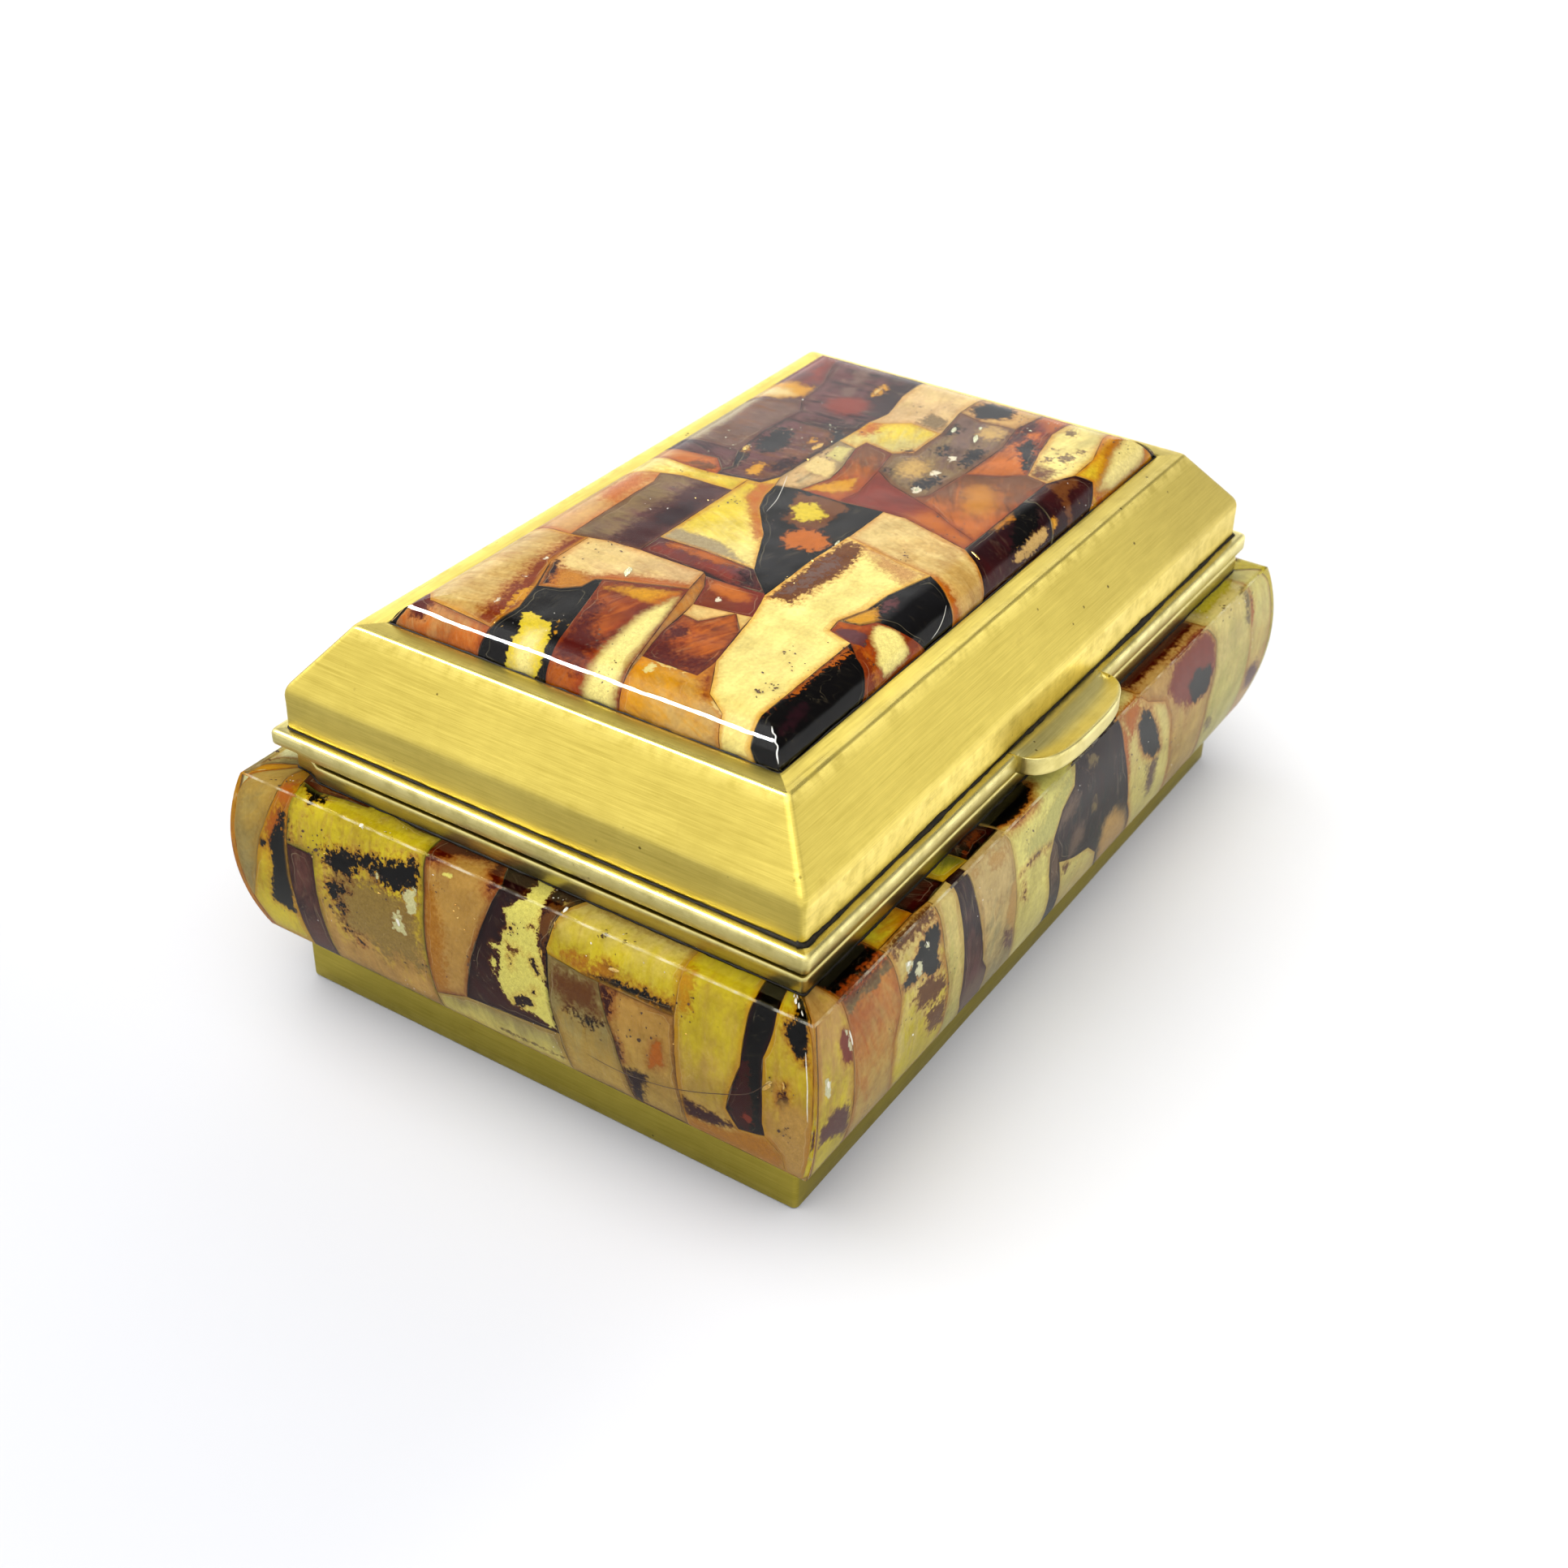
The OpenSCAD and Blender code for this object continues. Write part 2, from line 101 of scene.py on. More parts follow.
# ---------------------------------------------------------------- mesh helpers
def mesh_object(name, verts, faces, materials, body, replaces=None, sharp=35,
                material_index=None, vectors=None, colours=None, floats=None, uv=None,
                brush=None):
    """A mesh object from points in mm. vectors, colours and floats hold per-vertex attributes;
    uv and brush are per corner."""
    mesh = bpy.data.meshes.new(name)
    points = (np.asarray(verts, float) * MM).tolist()
    mesh.from_pydata(points, [], [list(map(int, face)) for face in faces])
    for material in materials:
        mesh.materials.append(material)
    if material_index is not None:
        mesh.polygons.foreach_set("material_index", np.asarray(material_index, np.int32))
    for kind, field, group in (("FLOAT_VECTOR", "vector", vectors),
                               ("FLOAT_COLOR", "color", colours), ("FLOAT", "value", floats)):
        for key, values in (group or {}).items():
            attribute = mesh.attributes.new(key, kind, "POINT")
            attribute.data.foreach_set(field, np.asarray(values, np.float32).ravel())
    if uv is not None:
        layer = mesh.uv_layers.new(name="UVMap")
        layer.data.foreach_set("uv", np.asarray(uv, np.float32).ravel())
    if brush is not None:
        attribute = mesh.attributes.new("brush", "FLOAT_VECTOR", "CORNER")
        attribute.data.foreach_set("vector", np.asarray(brush, np.float32).ravel())
    work = bmesh.new()
    work.from_mesh(mesh)
    bmesh.ops.recalc_face_normals(work, faces=work.faces)
    work.to_mesh(mesh)
    work.free()
    mesh.polygons.foreach_set("use_smooth", np.ones(len(mesh.polygons), bool))
    if sharp is not None:
        mesh.set_sharp_from_angle(angle=math.radians(sharp))
    mesh.update()
    ob = bpy.data.objects.new(name, mesh)
    bpy.context.scene.collection.objects.link(ob)
    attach(ob, body)
    if replaces:
        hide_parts(replaces)
    return ob


def band_faces(rings, count, closed=False):
    """Quads between successive rings of `count` points; closed joins the last to the first."""
    faces = []
    for a in range(rings if closed else rings - 1):
        b = (a + 1) % rings
        for i in range(count):
            j = (i + 1) % count
            faces.append([a * count + i, a * count + j, b * count + j, b * count + i])
    return faces


def grid_rim(columns, rows):
    """Indices round the border of a grid stored row by row."""
    return ([i for i in range(columns)]
            + [j * columns + columns - 1 for j in range(1, rows)]
            + [(rows - 1) * columns + i for i in range(columns - 2, -1, -1)]
            + [j * columns for j in range(rows - 2, 0, -1)])


# ---------------------------------------------------------------- node helpers
class Signal:
    """A node output. Each operator adds one math node; a tuple operand makes it a vector one."""

    def __init__(self, graph, socket):
        self.graph, self.socket = graph, socket

    def __add__(self, other):
        return self.graph.math("ADD", self, other)

    def __radd__(self, other):
        return self.graph.math("ADD", other, self)

    def __sub__(self, other):
        return self.graph.math("SUBTRACT", self, other)

    def __rsub__(self, other):
        return self.graph.math("SUBTRACT", other, self)

    def __mul__(self, other):
        return self.graph.math("MULTIPLY", self, other)

    def __abs__(self):
        return self.graph.math("ABSOLUTE", self)

    def clamped(self):
        """Limits the math node of this signal to 0..1."""
        self.socket.node.use_clamp = True
        return self

    def sibling(self, name):
        """Another output of the same node."""
        return Signal(self.graph, self.socket.node.outputs[name])


class Graph:
    """The node tree of a material or world."""

    def __init__(self, owner):
        owner.use_nodes = True
        self.owner, self.tree = owner, owner.node_tree
        self.tree.nodes.clear()

    def node(self, kind, inputs=None, **settings):
        node = self.tree.nodes.new(kind)
        for key, value in settings.items():
            setattr(node, key, value)
        for key, value in (inputs or {}).items():
            self.put(node.inputs[key], value)
        return node

    def put(self, socket, value):
        if isinstance(value, Signal):
            self.tree.links.new(value.socket, socket)
        elif socket.type == "RGBA" and len(value) == 3:
            socket.default_value = (*value, 1.0)
        else:
            socket.default_value = value

    def make(self, kind, inputs=None, output=0, **settings):
        """Adds a node and returns one of its outputs."""
        return Signal(self, self.node(kind, inputs, **settings).outputs[output])

    def math(self, operation, *values):
        vector = any(isinstance(value, tuple) for value in values)
        kind = "ShaderNodeVectorMath" if vector else "ShaderNodeMath"
        return self.make(kind, dict(enumerate(values)), operation=operation)

    def enlarge(self, vector, factor):
        return self.make("ShaderNodeVectorMath", {0: vector, "Scale": factor}, operation="SCALE")

    def mix(self, factor, a, b, blend="MIX"):
        return self.make("ShaderNodeMix", {0: factor, 6: a, 7: b}, 2,
                         data_type="RGBA", blend_type=blend)

    def tint(self, a, b):
        """One colour multiplied by another."""
        return self.mix(1.0, a, b, "MULTIPLY")

    def step(self, value, low, high):
        """Smooth step from 0 at low to 1 at high."""
        return self.make("ShaderNodeMapRange", {0: value, 1: low, 2: high},
                         interpolation_type="SMOOTHSTEP")

    def noise(self, vector, scale=1.0, detail=2.0, rough=0.5, distort=0.0):
        return self.make("ShaderNodeTexNoise", {"Vector": vector, "Scale": scale,
                                                "Detail": detail, "Roughness": rough,
                                                "Distortion": distort})

    def voronoi(self, vector, scale):
        return self.make("ShaderNodeTexVoronoi", {"Vector": vector, "Scale": scale}, "Distance")

    def attribute(self, name, output="Fac"):
        return self.make("ShaderNodeAttribute", output=output, attribute_name=name)

    def split(self, value, kind="ShaderNodeSeparateColor"):
        return [Signal(self, socket) for socket in self.node(kind, {0: value}).outputs]

    def split_xyz(self, value):
        return self.split(value, "ShaderNodeSeparateXYZ")

    def bump(self, height, strength, distance):
        return self.make("ShaderNodeBump", {"Strength": strength, "Distance": distance,
                                            "Height": height})

    def object_mm(self):
        return self.enlarge(self.make("ShaderNodeTexCoord", output="Object"), 1000.0)

    def principled(self, inputs):
        return self.make("ShaderNodeBsdfPrincipled", inputs)

    def transparent(self, colour):
        return self.make("ShaderNodeBsdfTransparent", {0: colour})

    def mix_shader(self, factor, a, b):
        return self.make("ShaderNodeMixShader", {0: factor, 1: a, 2: b})

    def finish(self, shader, kind="ShaderNodeOutputMaterial"):
        self.node(kind, {0: shader})
        return self.owner


def new_material(name):
    return Graph(bpy.data.materials.new(name))


# ---------------------------------------------------------------- brass materials
# brushing at three widths: frequency along, frequency across, detail
BRUSHING = ((0.10, 9.0, 2.0), (0.22, 3.6, 3.0), (0.06, 1.1, 2.0))


def painted_side_light(net, point, colour):
    """Painted light and shade: the front skirt painted brighter, the left one and the front
    right part painted darker. Returns the colour and the mask of the front."""
    normal_x, normal_y, _ = net.split_xyz(net.make("ShaderNodeTexCoord", output="Normal"))
    front = net.step(normal_y * -1.0, low=0.82, high=0.97)
    left = net.step(normal_x * -1.0, low=0.82, high=0.97)
    colour = net.mix(front, colour, net.tint(colour, (1.16, 1.18, 1.40)))
    colour = net.mix(left, colour, net.tint(colour, (0.92, 0.92, 0.96)))
    x, y, _ = net.split_xyz(point)
    # painted shade towards the front right
    painted_far_shade = net.step(x, low=-8.0, high=46.0) * net.step(y * -1.0, low=12.0, high=24.0)
    return net.mix(painted_far_shade, colour, net.tint(colour, (0.74, 0.73, 0.76))), front


def brass(name, light, dark, roughness, streak, stain, anisotropy=0.55, painted_sides=False):
    """Hand-brushed brass. With anisotropy the brushing follows the UV map of lofted pieces,
    without it the object's own axes."""
    net = new_material(name)
    point = net.object_mm()
    lofted = anisotropy > 0
    sheet = net.enlarge(net.make("ShaderNodeUVMap", uv_map="UVMap"), 100.0) if lofted else point
    lines = []
    for along, across, detail in BRUSHING:
        stretch = (along, across, 1.0) if lofted else (along, across * 0.5, across)
        lines.append(net.noise(sheet * stretch, detail=detail, rough=0.6))
    streaks = lines[0] * 0.45 + lines[1] * 0.35 + lines[2] * 0.20        # about 0.5
    contrast = (streaks - 0.5) * (2.0 * streak)
    cloud = net.noise(point, scale=0.09, detail=4.0, rough=0.62)
    mottle = net.noise(point, scale=0.55, detail=5.0, rough=0.6)
    # shares of brushing, clouding and mottling in the tone
    tone = 0.55 + contrast * 0.9 + (cloud - 0.5) * (0.9 * stain)
    tone = (tone + (mottle - 0.5) * (0.35 * stain)).clamped()
    colour = net.mix(tone, dark, light)
    # handling stains: darker, redder patches with soft borders
    blot = net.step(net.noise(point, scale=0.16, detail=5.0, rough=0.7, distort=0.6),
                    low=0.60, high=0.78)
    redder = tuple(c * k for c, k in zip(dark, (0.62, 0.5, 0.45)))
    colour = net.mix(blot * (0.35 * stain), colour, redder)
    # grime near joints, and painted shade: darkened in crevices and under overhanging parts
    crevice = net.attribute("crev")
    grime_and_shade = crevice * net.step(crevice + (mottle - 0.5), low=0.25, high=0.95)
    colour = net.mix(grime_and_shade * 0.85, colour, (0.030, 0.022, 0.008))
    # polished wear on exposed edges, and painted light: a painted highlight on rounded edges and a
    # brighter front skirt
    wear = net.attribute("wear") * net.step(mottle, low=0.30, high=0.62)
    colour = net.mix(wear * 0.7, colour, tuple(min(1.0, c * 1.25 + 0.05) for c in light))
    # painted light and shade by side: the front faces brighter, the left ones and the front right
    # darker
    if painted_sides:
        colour, front = painted_side_light(net, point, colour)
    # pits, in patches
    pits = 1.0 - net.step(net.voronoi(point, scale=0.42), low=0.045, high=0.085)
    pits = pits * net.step(net.noise(point, scale=0.21, detail=1.0), low=0.50, high=0.60)
    colour = net.mix(pits * 0.75, colour, (0.045, 0.030, 0.012))
    # stray scratches across the brushing
    scratch = net.noise(sheet * (2.6, 0.35, 1.0), detail=1.0)
    scratch = 1.0 - net.step(abs(scratch - 0.5), low=0.0, high=0.010)
    scratch = scratch * net.step(net.noise(point, scale=0.3), low=0.55, high=0.7)
    # brushing, clouding and the grime-and-shade mask roughen, the wear-and-light mask polishes
    rough = roughness + contrast * 0.10 + (cloud - 0.5) * (0.22 * stain) + grime_and_shade * 0.4
    if painted_sides:
        rough = rough + front * 0.14
    rough = (rough - wear * 0.10).clamped()
    # relief: share of each feature
    height = streaks * 1.0 + pits * -1.4 + mottle * 0.30 + scratch * -0.25
    inputs = {"Base Color": colour, "Metallic": 1.0, "Roughness": rough,
              "Normal": net.bump(height, strength=0.32, distance=0.00004)}
    if lofted:
        inputs["Anisotropic"] = anisotropy
        inputs["Tangent"] = net.make(
            "ShaderNodeVectorTransform", {0: net.attribute("brush", "Vector")},
            vector_type="VECTOR", convert_from="OBJECT", convert_to="WORLD")
    return net.finish(net.principled(inputs))


BRASS = brass("satin_brass_brushed", light=(0.760, 0.625, 0.165), dark=(0.500, 0.395, 0.085),
              roughness=0.35, streak=1.25, stain=0.75, anisotropy=0.62, painted_sides=True)
BRASS_RIM = brass("satin_brass_rim", light=(0.710, 0.632, 0.285), dark=(0.440, 0.375, 0.125),
                  roughness=0.35, streak=0.8, stain=0.7)
# darker, more olive brass for the plinth: its older tone, with painted shade for the shaded floor it
# mirrors
BRASS_PLINTH_AGED_SHADED = brass("aged_shaded_brass_plinth", light=(0.600, 0.505, 0.105), dark=(0.360, 0.290, 0.040),
                   roughness=0.36, streak=1.1, stain=0.9)
BRASS_SHEET = brass("brass_sheet", light=(0.66, 0.55, 0.18), dark=(0.40, 0.31, 0.08),
                    roughness=0.34, streak=0.7, stain=0.8, anisotropy=0)
BRASS_PIN = brass("pin_brass_turned", light=(0.72, 0.66, 0.42), dark=(0.46, 0.40, 0.22),
                  roughness=0.24, streak=0.6, stain=0.5, anisotropy=0)


# ---------------------------------------------------------------- lofted rings
CORNER_STEPS = 4
SIDE_DIRECTIONS = [(1, 0, 0), (0, 1, 0), (-1, 0, 0), (0, -1, 0)]


def wobble(point, amount, seed):
    """Slight unevenness of hand-finished sheet."""
    x, y, z = point
    shift = mnoise.noise_vector(Vector((x * 0.07 + seed, y * 0.07 - seed,
                                        z * 0.07 * 1.7 + 3 * seed)))
    return x + shift.x * amount, y + shift.y * amount, z + shift.z * amount * 0.6


def loop_sides(out, corner, step):
    """A rounded rectangle as four lists of (x, y, along), counter-clockwise from the front,
    each from mid corner to mid corner."""
    corner = max(corner, 0.02)
    sides = []
    for k in range(4):
        half, depth = (HALF_X, HALF_Y) if k % 2 == 0 else (HALF_Y, HALF_X)
        centre_x, centre_y = half + out - corner, depth + out - corner

        def corner_arc(sign, start):
            angles = [math.radians(start + 45 * i / CORNER_STEPS)
                      for i in range(CORNER_STEPS + 1)]
            return [(sign * centre_x + corner * math.cos(t), -centre_y + corner * math.sin(t))
                    for t in angles]

        count = max(2, round(2 * half / step))
        straight = [(-centre_x + 2 * centre_x * i / count, -(depth + out))
                    for i in range(1, count)]
        points = corner_arc(-1, 225) + straight + corner_arc(1, 270)
        cos, sin = math.cos(math.radians(90 * k)), math.sin(math.radians(90 * k))
        sides.append([(x * cos - y * sin, x * sin + y * cos, x) for x, y in points])
    return sides


def ring_loft(name, rows, material, body, replaces, seed, unevenness, step=1.6,
              bend=None, front_painted_light=(0, -1, 0.0), sharp=35):
    """Closed solid through rounded-rectangle loops, the last row joined to the first.
    A row is (out, z, corner radius, grime with painted shade, wear with painted light), the
    last two optional. bend moves points row by row. front_painted_light is (first row, last
    row, painted light added there on the front)."""
    verts, grime_and_shade, wear, index, along = [], [], [], [], []
    for r, (out, z, corner, *finish) in enumerate(rows):
        row_grime_and_shade, row_wear_and_light = (finish + [0.0, 0.0])[:2]
        sides = loop_sides(out, corner, step)
        along.append([[point[2] for point in side] for side in sides])
        ids = []
        for k, side in enumerate(sides):
            # painted light: on the front side of the given rows the wear mask is raised, brightening
            # the brass
            extra = front_painted_light[2] if k == 0 and front_painted_light[0] <= r <= front_painted_light[1] else 0.0
            ids.append(list(range(len(verts), len(verts) + len(side) - 1)))
            for x, y, _ in side[:-1]:
                point = bend((x, y, z), r) if bend else (x, y, z)
                verts.append(wobble(point, unevenness, seed))
                grime_and_shade.append(row_grime_and_shade)
                wear.append(row_wear_and_light + extra)
        for k in range(4):
            ids[k].append(ids[(k + 1) % 4][0])
        index.append(ids)
    count = len(rows)
    across = [0.0]
    for r in range(count):
        here, there = rows[r], rows[(r + 1) % count]
        across.append(across[-1] + math.hypot(there[0] - here[0], there[1] - here[1]))
    faces, uvs, brush = [], [], []
    for r in range(count):
        r2 = (r + 1) % count
        for k in range(4):
            for i in range(len(index[r][k]) - 1):
                corners = ((r, i, across[r]), (r, i + 1, across[r]),
                           (r2, i + 1, across[r + 1]), (r2, i, across[r + 1]))
                faces.append([index[row][k][col] for row, col, _ in corners])
                # 1.37 keeps the four sides apart in the UV map
                uvs.extend((along[row][k][col] / 100 + k * 1.37, height / 100 + seed)
                           for row, col, height in corners)
                brush.extend([SIDE_DIRECTIONS[k]] * 4)
    return mesh_object(name, verts, faces, [material], body, replaces, sharp,
                       floats={"crev": grime_and_shade, "wear": wear}, uv=uvs, brush=brush)


def arc_rows(out, z, radius, start, end, steps, corner, grime_and_shade=0.0, wear=0.0):
    """Rows along an arc centred at (out, z), angles in degrees from outwards towards up."""
    angles = [math.radians(start + (end - start) * i / steps) for i in range(steps + 1)]
    return [(out + radius * math.cos(t), z + radius * math.sin(t), corner, grime_and_shade, wear)
            for t in angles]


def fillet_rows(out, z, before, after, radius, steps, corner, grime_and_shade, wear):
    """Rows round a bend whose sharp corner would be at (out, z), between two directions
    in degrees."""
    half = math.radians(after - before) / 2
    tangent = radius * math.tan(abs(half))
    cos, sin = math.cos(math.radians(before)), math.sin(math.radians(before))
    sign = 1 if half > 0 else -1
    centre_out = out - tangent * cos - sign * radius * sin
    centre_z = z - tangent * sin + sign * radius * cos
    rows = []
    for i in range(steps + 1):
        t = math.radians(before + (after - before) * i / steps - 90 * sign)
        rows.append((centre_out + radius * math.cos(t), centre_z + radius * math.sin(t),
                     corner, grime_and_shade, wear))
    return rows


# ---------------------------------------------------------------- amber materials
def amber_textures(net):
    """Noises and per-tile attributes shared by the parts of the amber material.
    warp, fine, tiny and slow are centred on 0."""
    loc = net.attribute("loc", "Vector")
    cloud, speck, ragged = net.split(net.attribute("par", "Color"))
    return SimpleNamespace(
        loc=loc, cloud=cloud, speck=speck, ragged=ragged, edge=net.attribute("edge"),
        border=net.attribute("cE", "Color"),
        warp=net.noise(loc, scale=0.55, detail=3.0, rough=0.55) - 0.5,
        fine=net.noise(loc, scale=2.2, detail=5.0, rough=0.62, distort=0.3) - 0.5,
        tiny=net.noise(loc, scale=7.0, detail=4.0, rough=0.6) - 0.5,
        slow=net.noise(loc + (17.0, 3.0, 0.0), scale=0.28) - 0.5)


def amber_clouding(net, tex):
    """The two body tones, run into each other along flow layers, under wisps and veils."""
    tone_a, tone_b = net.attribute("cA", "Color"), net.attribute("cB", "Color")
    flow = net.noise(tex.loc * (0.16, 0.75, 1.0), detail=4.0, rough=0.62, distort=0.8) - 0.5
    blend = net.attribute("grad") + (flow + tex.warp * 0.7) * (tex.cloud * 2.6)
    base = net.mix(net.step(blend, low=0.12, high=0.88), tone_a, tone_b)
    # darker wisps
    wisp = net.noise(tex.loc + (5.0, 41.0, 0.0), 1.0) if False else net.step(
        net.noise((tex.loc + (5.0, 41.0, 0.0)) * (0.22, 0.9, 1.0),
                  detail=5.0, rough=0.62, distort=1.0), low=0.50, high=0.74)
    base = net.mix(wisp * (tex.cloud * 0.75), base,
                   net.tint(base, net.mix(0.35, tex.border, (0.62, 0.40, 0.20))))
    # milky veils
    veil = net.step(net.noise(tex.loc * (0.35, 1.2, 1.0), detail=5.0, rough=0.6, distort=1.2),
                    low=0.52, high=0.80)
    base = net.mix(veil * (tex.cloud * 0.50), base, net.mix(0.5, tone_b, (0.86, 0.74, 0.46)))
    # overall light and dark
    shade = (0.5 + (tex.fine * 0.9 + tex.slow * 1.3)).clamped()
    return net.tint(base, net.mix(shade, (0.66, 0.60, 0.52), (1.22, 1.22, 1.22)))


def amber_spots(net, tex, base):
    """Up to three islands per tile, crumbled at their rims, each in a warm halo."""
    crumb = net.voronoi(tex.loc + (2.0, 6.0, 1.0), scale=1.7) - 0.42
    for k in "123":
        soft, crumbled, halo = net.split(net.attribute("p" + k, "Color"))
        # distance to the island, made uneven by the noises
        uneven = tex.warp * 2.3 + (tex.fine * 2.8 + tex.tiny * 1.3)
        distance = net.attribute("f" + k) + uneven * (0.16 + crumbled * 1.15)
        distance = distance + crumb * (0.05 + crumbled * 1.1)
        mask = 1.0 - net.step(distance, low=soft * -1.0, high=soft)
        # wide warm halo, then a narrow dark one
        width = 0.45 + halo * 1.9
        ring = 1.0 - net.step(distance, low=-0.05, high=width)
        base = net.mix(ring * (0.15 + halo * 1.0).clamped(), base,
                       net.tint(base, (0.66, 0.27, 0.05)))
        ring = 1.0 - net.step(distance, low=-0.05, high=width * 0.35)
        base = net.mix(ring * (halo * 0.9), base, (0.20, 0.045, 0.006))
        shade = (0.5 + (tex.fine + tex.tiny) * 1.0).clamped()
        colour = net.tint(net.attribute("c" + k, "Color"),
                          net.mix(shade, (0.62, 0.58, 0.54), (1.25, 1.27, 1.32)))
        base = net.mix(mask, base, colour)
    return base


def amber_borders(net, tex, base):
    """Burnt borders, the tile's flank seen through it, and the joint itself."""
    # burnt, ragged where the tile was chipped
    distance = tex.edge + (tex.warp * 1.5 + tex.fine * 1.1) * tex.ragged
    burnt = 1.0 - net.step(distance, low=-0.02, high=0.16 + tex.ragged * 1.5)
    base = net.mix(burnt * (0.30 + tex.ragged * 0.9).clamped(), base, tex.border)
    # flank: a darker strip with a fine pale edge, on some sides only
    some = net.step(net.noise(tex.loc + (7.0, 23.0, 4.0), scale=0.17), low=0.47, high=0.60)
    inner = (tex.edge + tex.tiny * 0.06) - (0.50 + tex.slow * 1.6)
    flank = (1.0 - net.step(inner, low=-0.03, high=0.03)) * some
    base = net.mix(flank * 0.34, base,
                   net.tint(net.mix(0.3, base, tex.border), (0.80, 0.62, 0.42)))
    pale_edge = (1.0 - net.step(abs(inner), low=0.01, high=0.07)) * some
    base = net.mix(pale_edge * 0.30, base, net.mix(0.5, base, (0.90, 0.80, 0.52)))
    # a thin joint, here with a painted glint of refracted light, there dark, elsewhere hardly to be
    # seen
    seen = net.step(net.noise(tex.loc + (3.0, 9.0, 2.0), scale=0.30), low=0.47, high=0.66)
    pale = net.step(net.noise(tex.loc + (14.0, 2.0, 6.0), scale=0.24), low=0.56, high=0.68)
    glint = (1.0 - net.step(tex.edge + tex.tiny * 0.1, low=0.02, high=0.12)) * (pale * 0.45)
    base = net.mix(glint, base, net.mix(0.5, base, (0.86, 0.76, 0.46)))
    line = 1.0 - net.step(tex.edge + tex.tiny * 0.14, low=-0.01, high=0.075)
    return net.mix(line * (0.02 + seen * 0.30), base,
                   net.tint(net.mix(0.5, tex.border, base), (0.46, 0.33, 0.22)))


def amber_specks(net, tex, base, near_edge):
    """Dark specks, grit gathered along the borders, and lighter hair cracks."""
    speck = 1.0 - net.step(net.voronoi(tex.loc, scale=1.15) + tex.tiny * 0.14,
                           low=0.04, high=0.13)
    patches = net.step(net.noise(tex.loc, scale=0.33, detail=1.0), low=0.46, high=0.56)
    base = net.mix(speck * patches * tex.speck * 0.85, base, (0.030, 0.012, 0.005))
    grit = 1.0 - net.step(net.voronoi(tex.loc, scale=3.4) + tex.tiny * 0.2, low=0.10, high=0.26)
    patches = net.step(net.noise(tex.loc + (8.0, 1.0, 5.0), scale=0.6, detail=3.0),
                       low=0.50, high=0.60)
    near = 1.0 - net.step(near_edge, low=0.0, high=0.9)
    grit = grit * patches * (near * 0.8 + tex.speck * 0.4).clamped()
    grit = grit * net.step(net.split(base)[0], low=0.03, high=0.16)  # not on dark amber
    base = net.mix(grit * 0.8, base, net.tint(base, (0.30, 0.16, 0.09)))
    crack = net.noise(tex.loc + (31.0, 7.0, 0.0), scale=0.30, detail=3.0, rough=0.55,
                      distort=1.0) - 0.5
    crack = 1.0 - net.step(abs(crack), low=0.0, high=0.0040)
    crack = crack * net.step(net.noise(tex.loc, scale=0.22, detail=1.0), low=0.50, high=0.62)
    return net.mix(crack * 0.30, base, net.mix(0.5, base, (0.85, 0.70, 0.42)))


def amber_core(name):
    """Amber under its polished skin. What differs from tile to tile is stored on the mesh."""
    net = new_material(name)
    tex = amber_textures(net)
    base = amber_clouding(net, tex)
    # painted shade: a deeper, redder tone of uneven width near the borders, for light scattered
    # inside the amber
    near_edge = tex.edge + (tex.warp * 2.2 + tex.fine * 0.8) * (0.25 + tex.ragged)
    deep = 1.0 - net.step(near_edge, low=-0.05, high=1.1 + tex.slow * 2.4)
    base = net.mix(deep * 0.42, base,
                   net.tint(base, net.mix(0.30, tex.border, (1.0, 0.62, 0.30))))
    base = amber_spots(net, tex, base)
    base = amber_borders(net, tex, base)
    base = amber_specks(net, tex, base, near_edge)
    return net.finish(net.principled({
        "Base Color": net.tint(base, (0.90, 0.885, 0.86)),
        "Roughness": (0.55 + tex.fine * 0.3).clamped(),
        "Specular IOR Level": 0.0,
        "Normal": net.bump(tex.fine * 0.7, strength=0.12, distance=0.00015)}))


AMBER_IOR = 1.54


def clear_skin(name):
    """Polished clear amber over the tiles: refracts for the eye and lets the lamps through."""
    net = new_material(name)
    point = net.object_mm()
    slow = net.noise(point, scale=0.10)
    grain = net.noise(point, scale=1.6, detail=4.0, rough=0.6)
    haze = net.noise(point, scale=0.22, detail=4.0, rough=0.65)
    scratches = net.noise(net.attribute("loc", "Vector") * (7.0, 0.25, 1.0))
    pits = 1.0 - net.step(net.voronoi(point, scale=0.8), low=0.03, high=0.07)
    pits = pits * net.step(haze, low=0.55, high=0.65)
    # relief: mostly slow waves, with a trace of grain, scratches and pits
    height = slow * 6.0 + (grain * 0.03 + scratches * 0.05) - pits * 0.8
    normal = net.bump(height, strength=0.5, distance=0.00006)
    refraction = net.make("ShaderNodeBsdfRefraction", {
        "IOR": AMBER_IOR, "Color": (0.99, 0.975, 0.93), "Roughness": 0.0, "Normal": normal})
    polish = 0.010 + net.step(haze, low=0.50, high=0.85) * 0.03
    gloss = net.make("ShaderNodeBsdfAnisotropic", {
        "Color": (1.0, 1.0, 1.0), "Roughness": polish, "Normal": normal})
    fresnel = net.make("ShaderNodeFresnel", {"IOR": AMBER_IOR, "Normal": normal})
    # reflection held back on the outside only
    inside_face = net.make("ShaderNodeNewGeometry", output="Backfacing")
    shine = fresnel * (0.60 + inside_face * 0.40)
    ray = net.make("ShaderNodeLightPath", output="Is Shadow Ray")
    lamp_ray = net.math("MAXIMUM", ray, ray.sibling("Is Diffuse Ray"))
    return net.finish(net.mix_shader(lamp_ray, net.mix_shader(shine, refraction, gloss),
                                     net.transparent((0.96, 0.95, 0.91))))


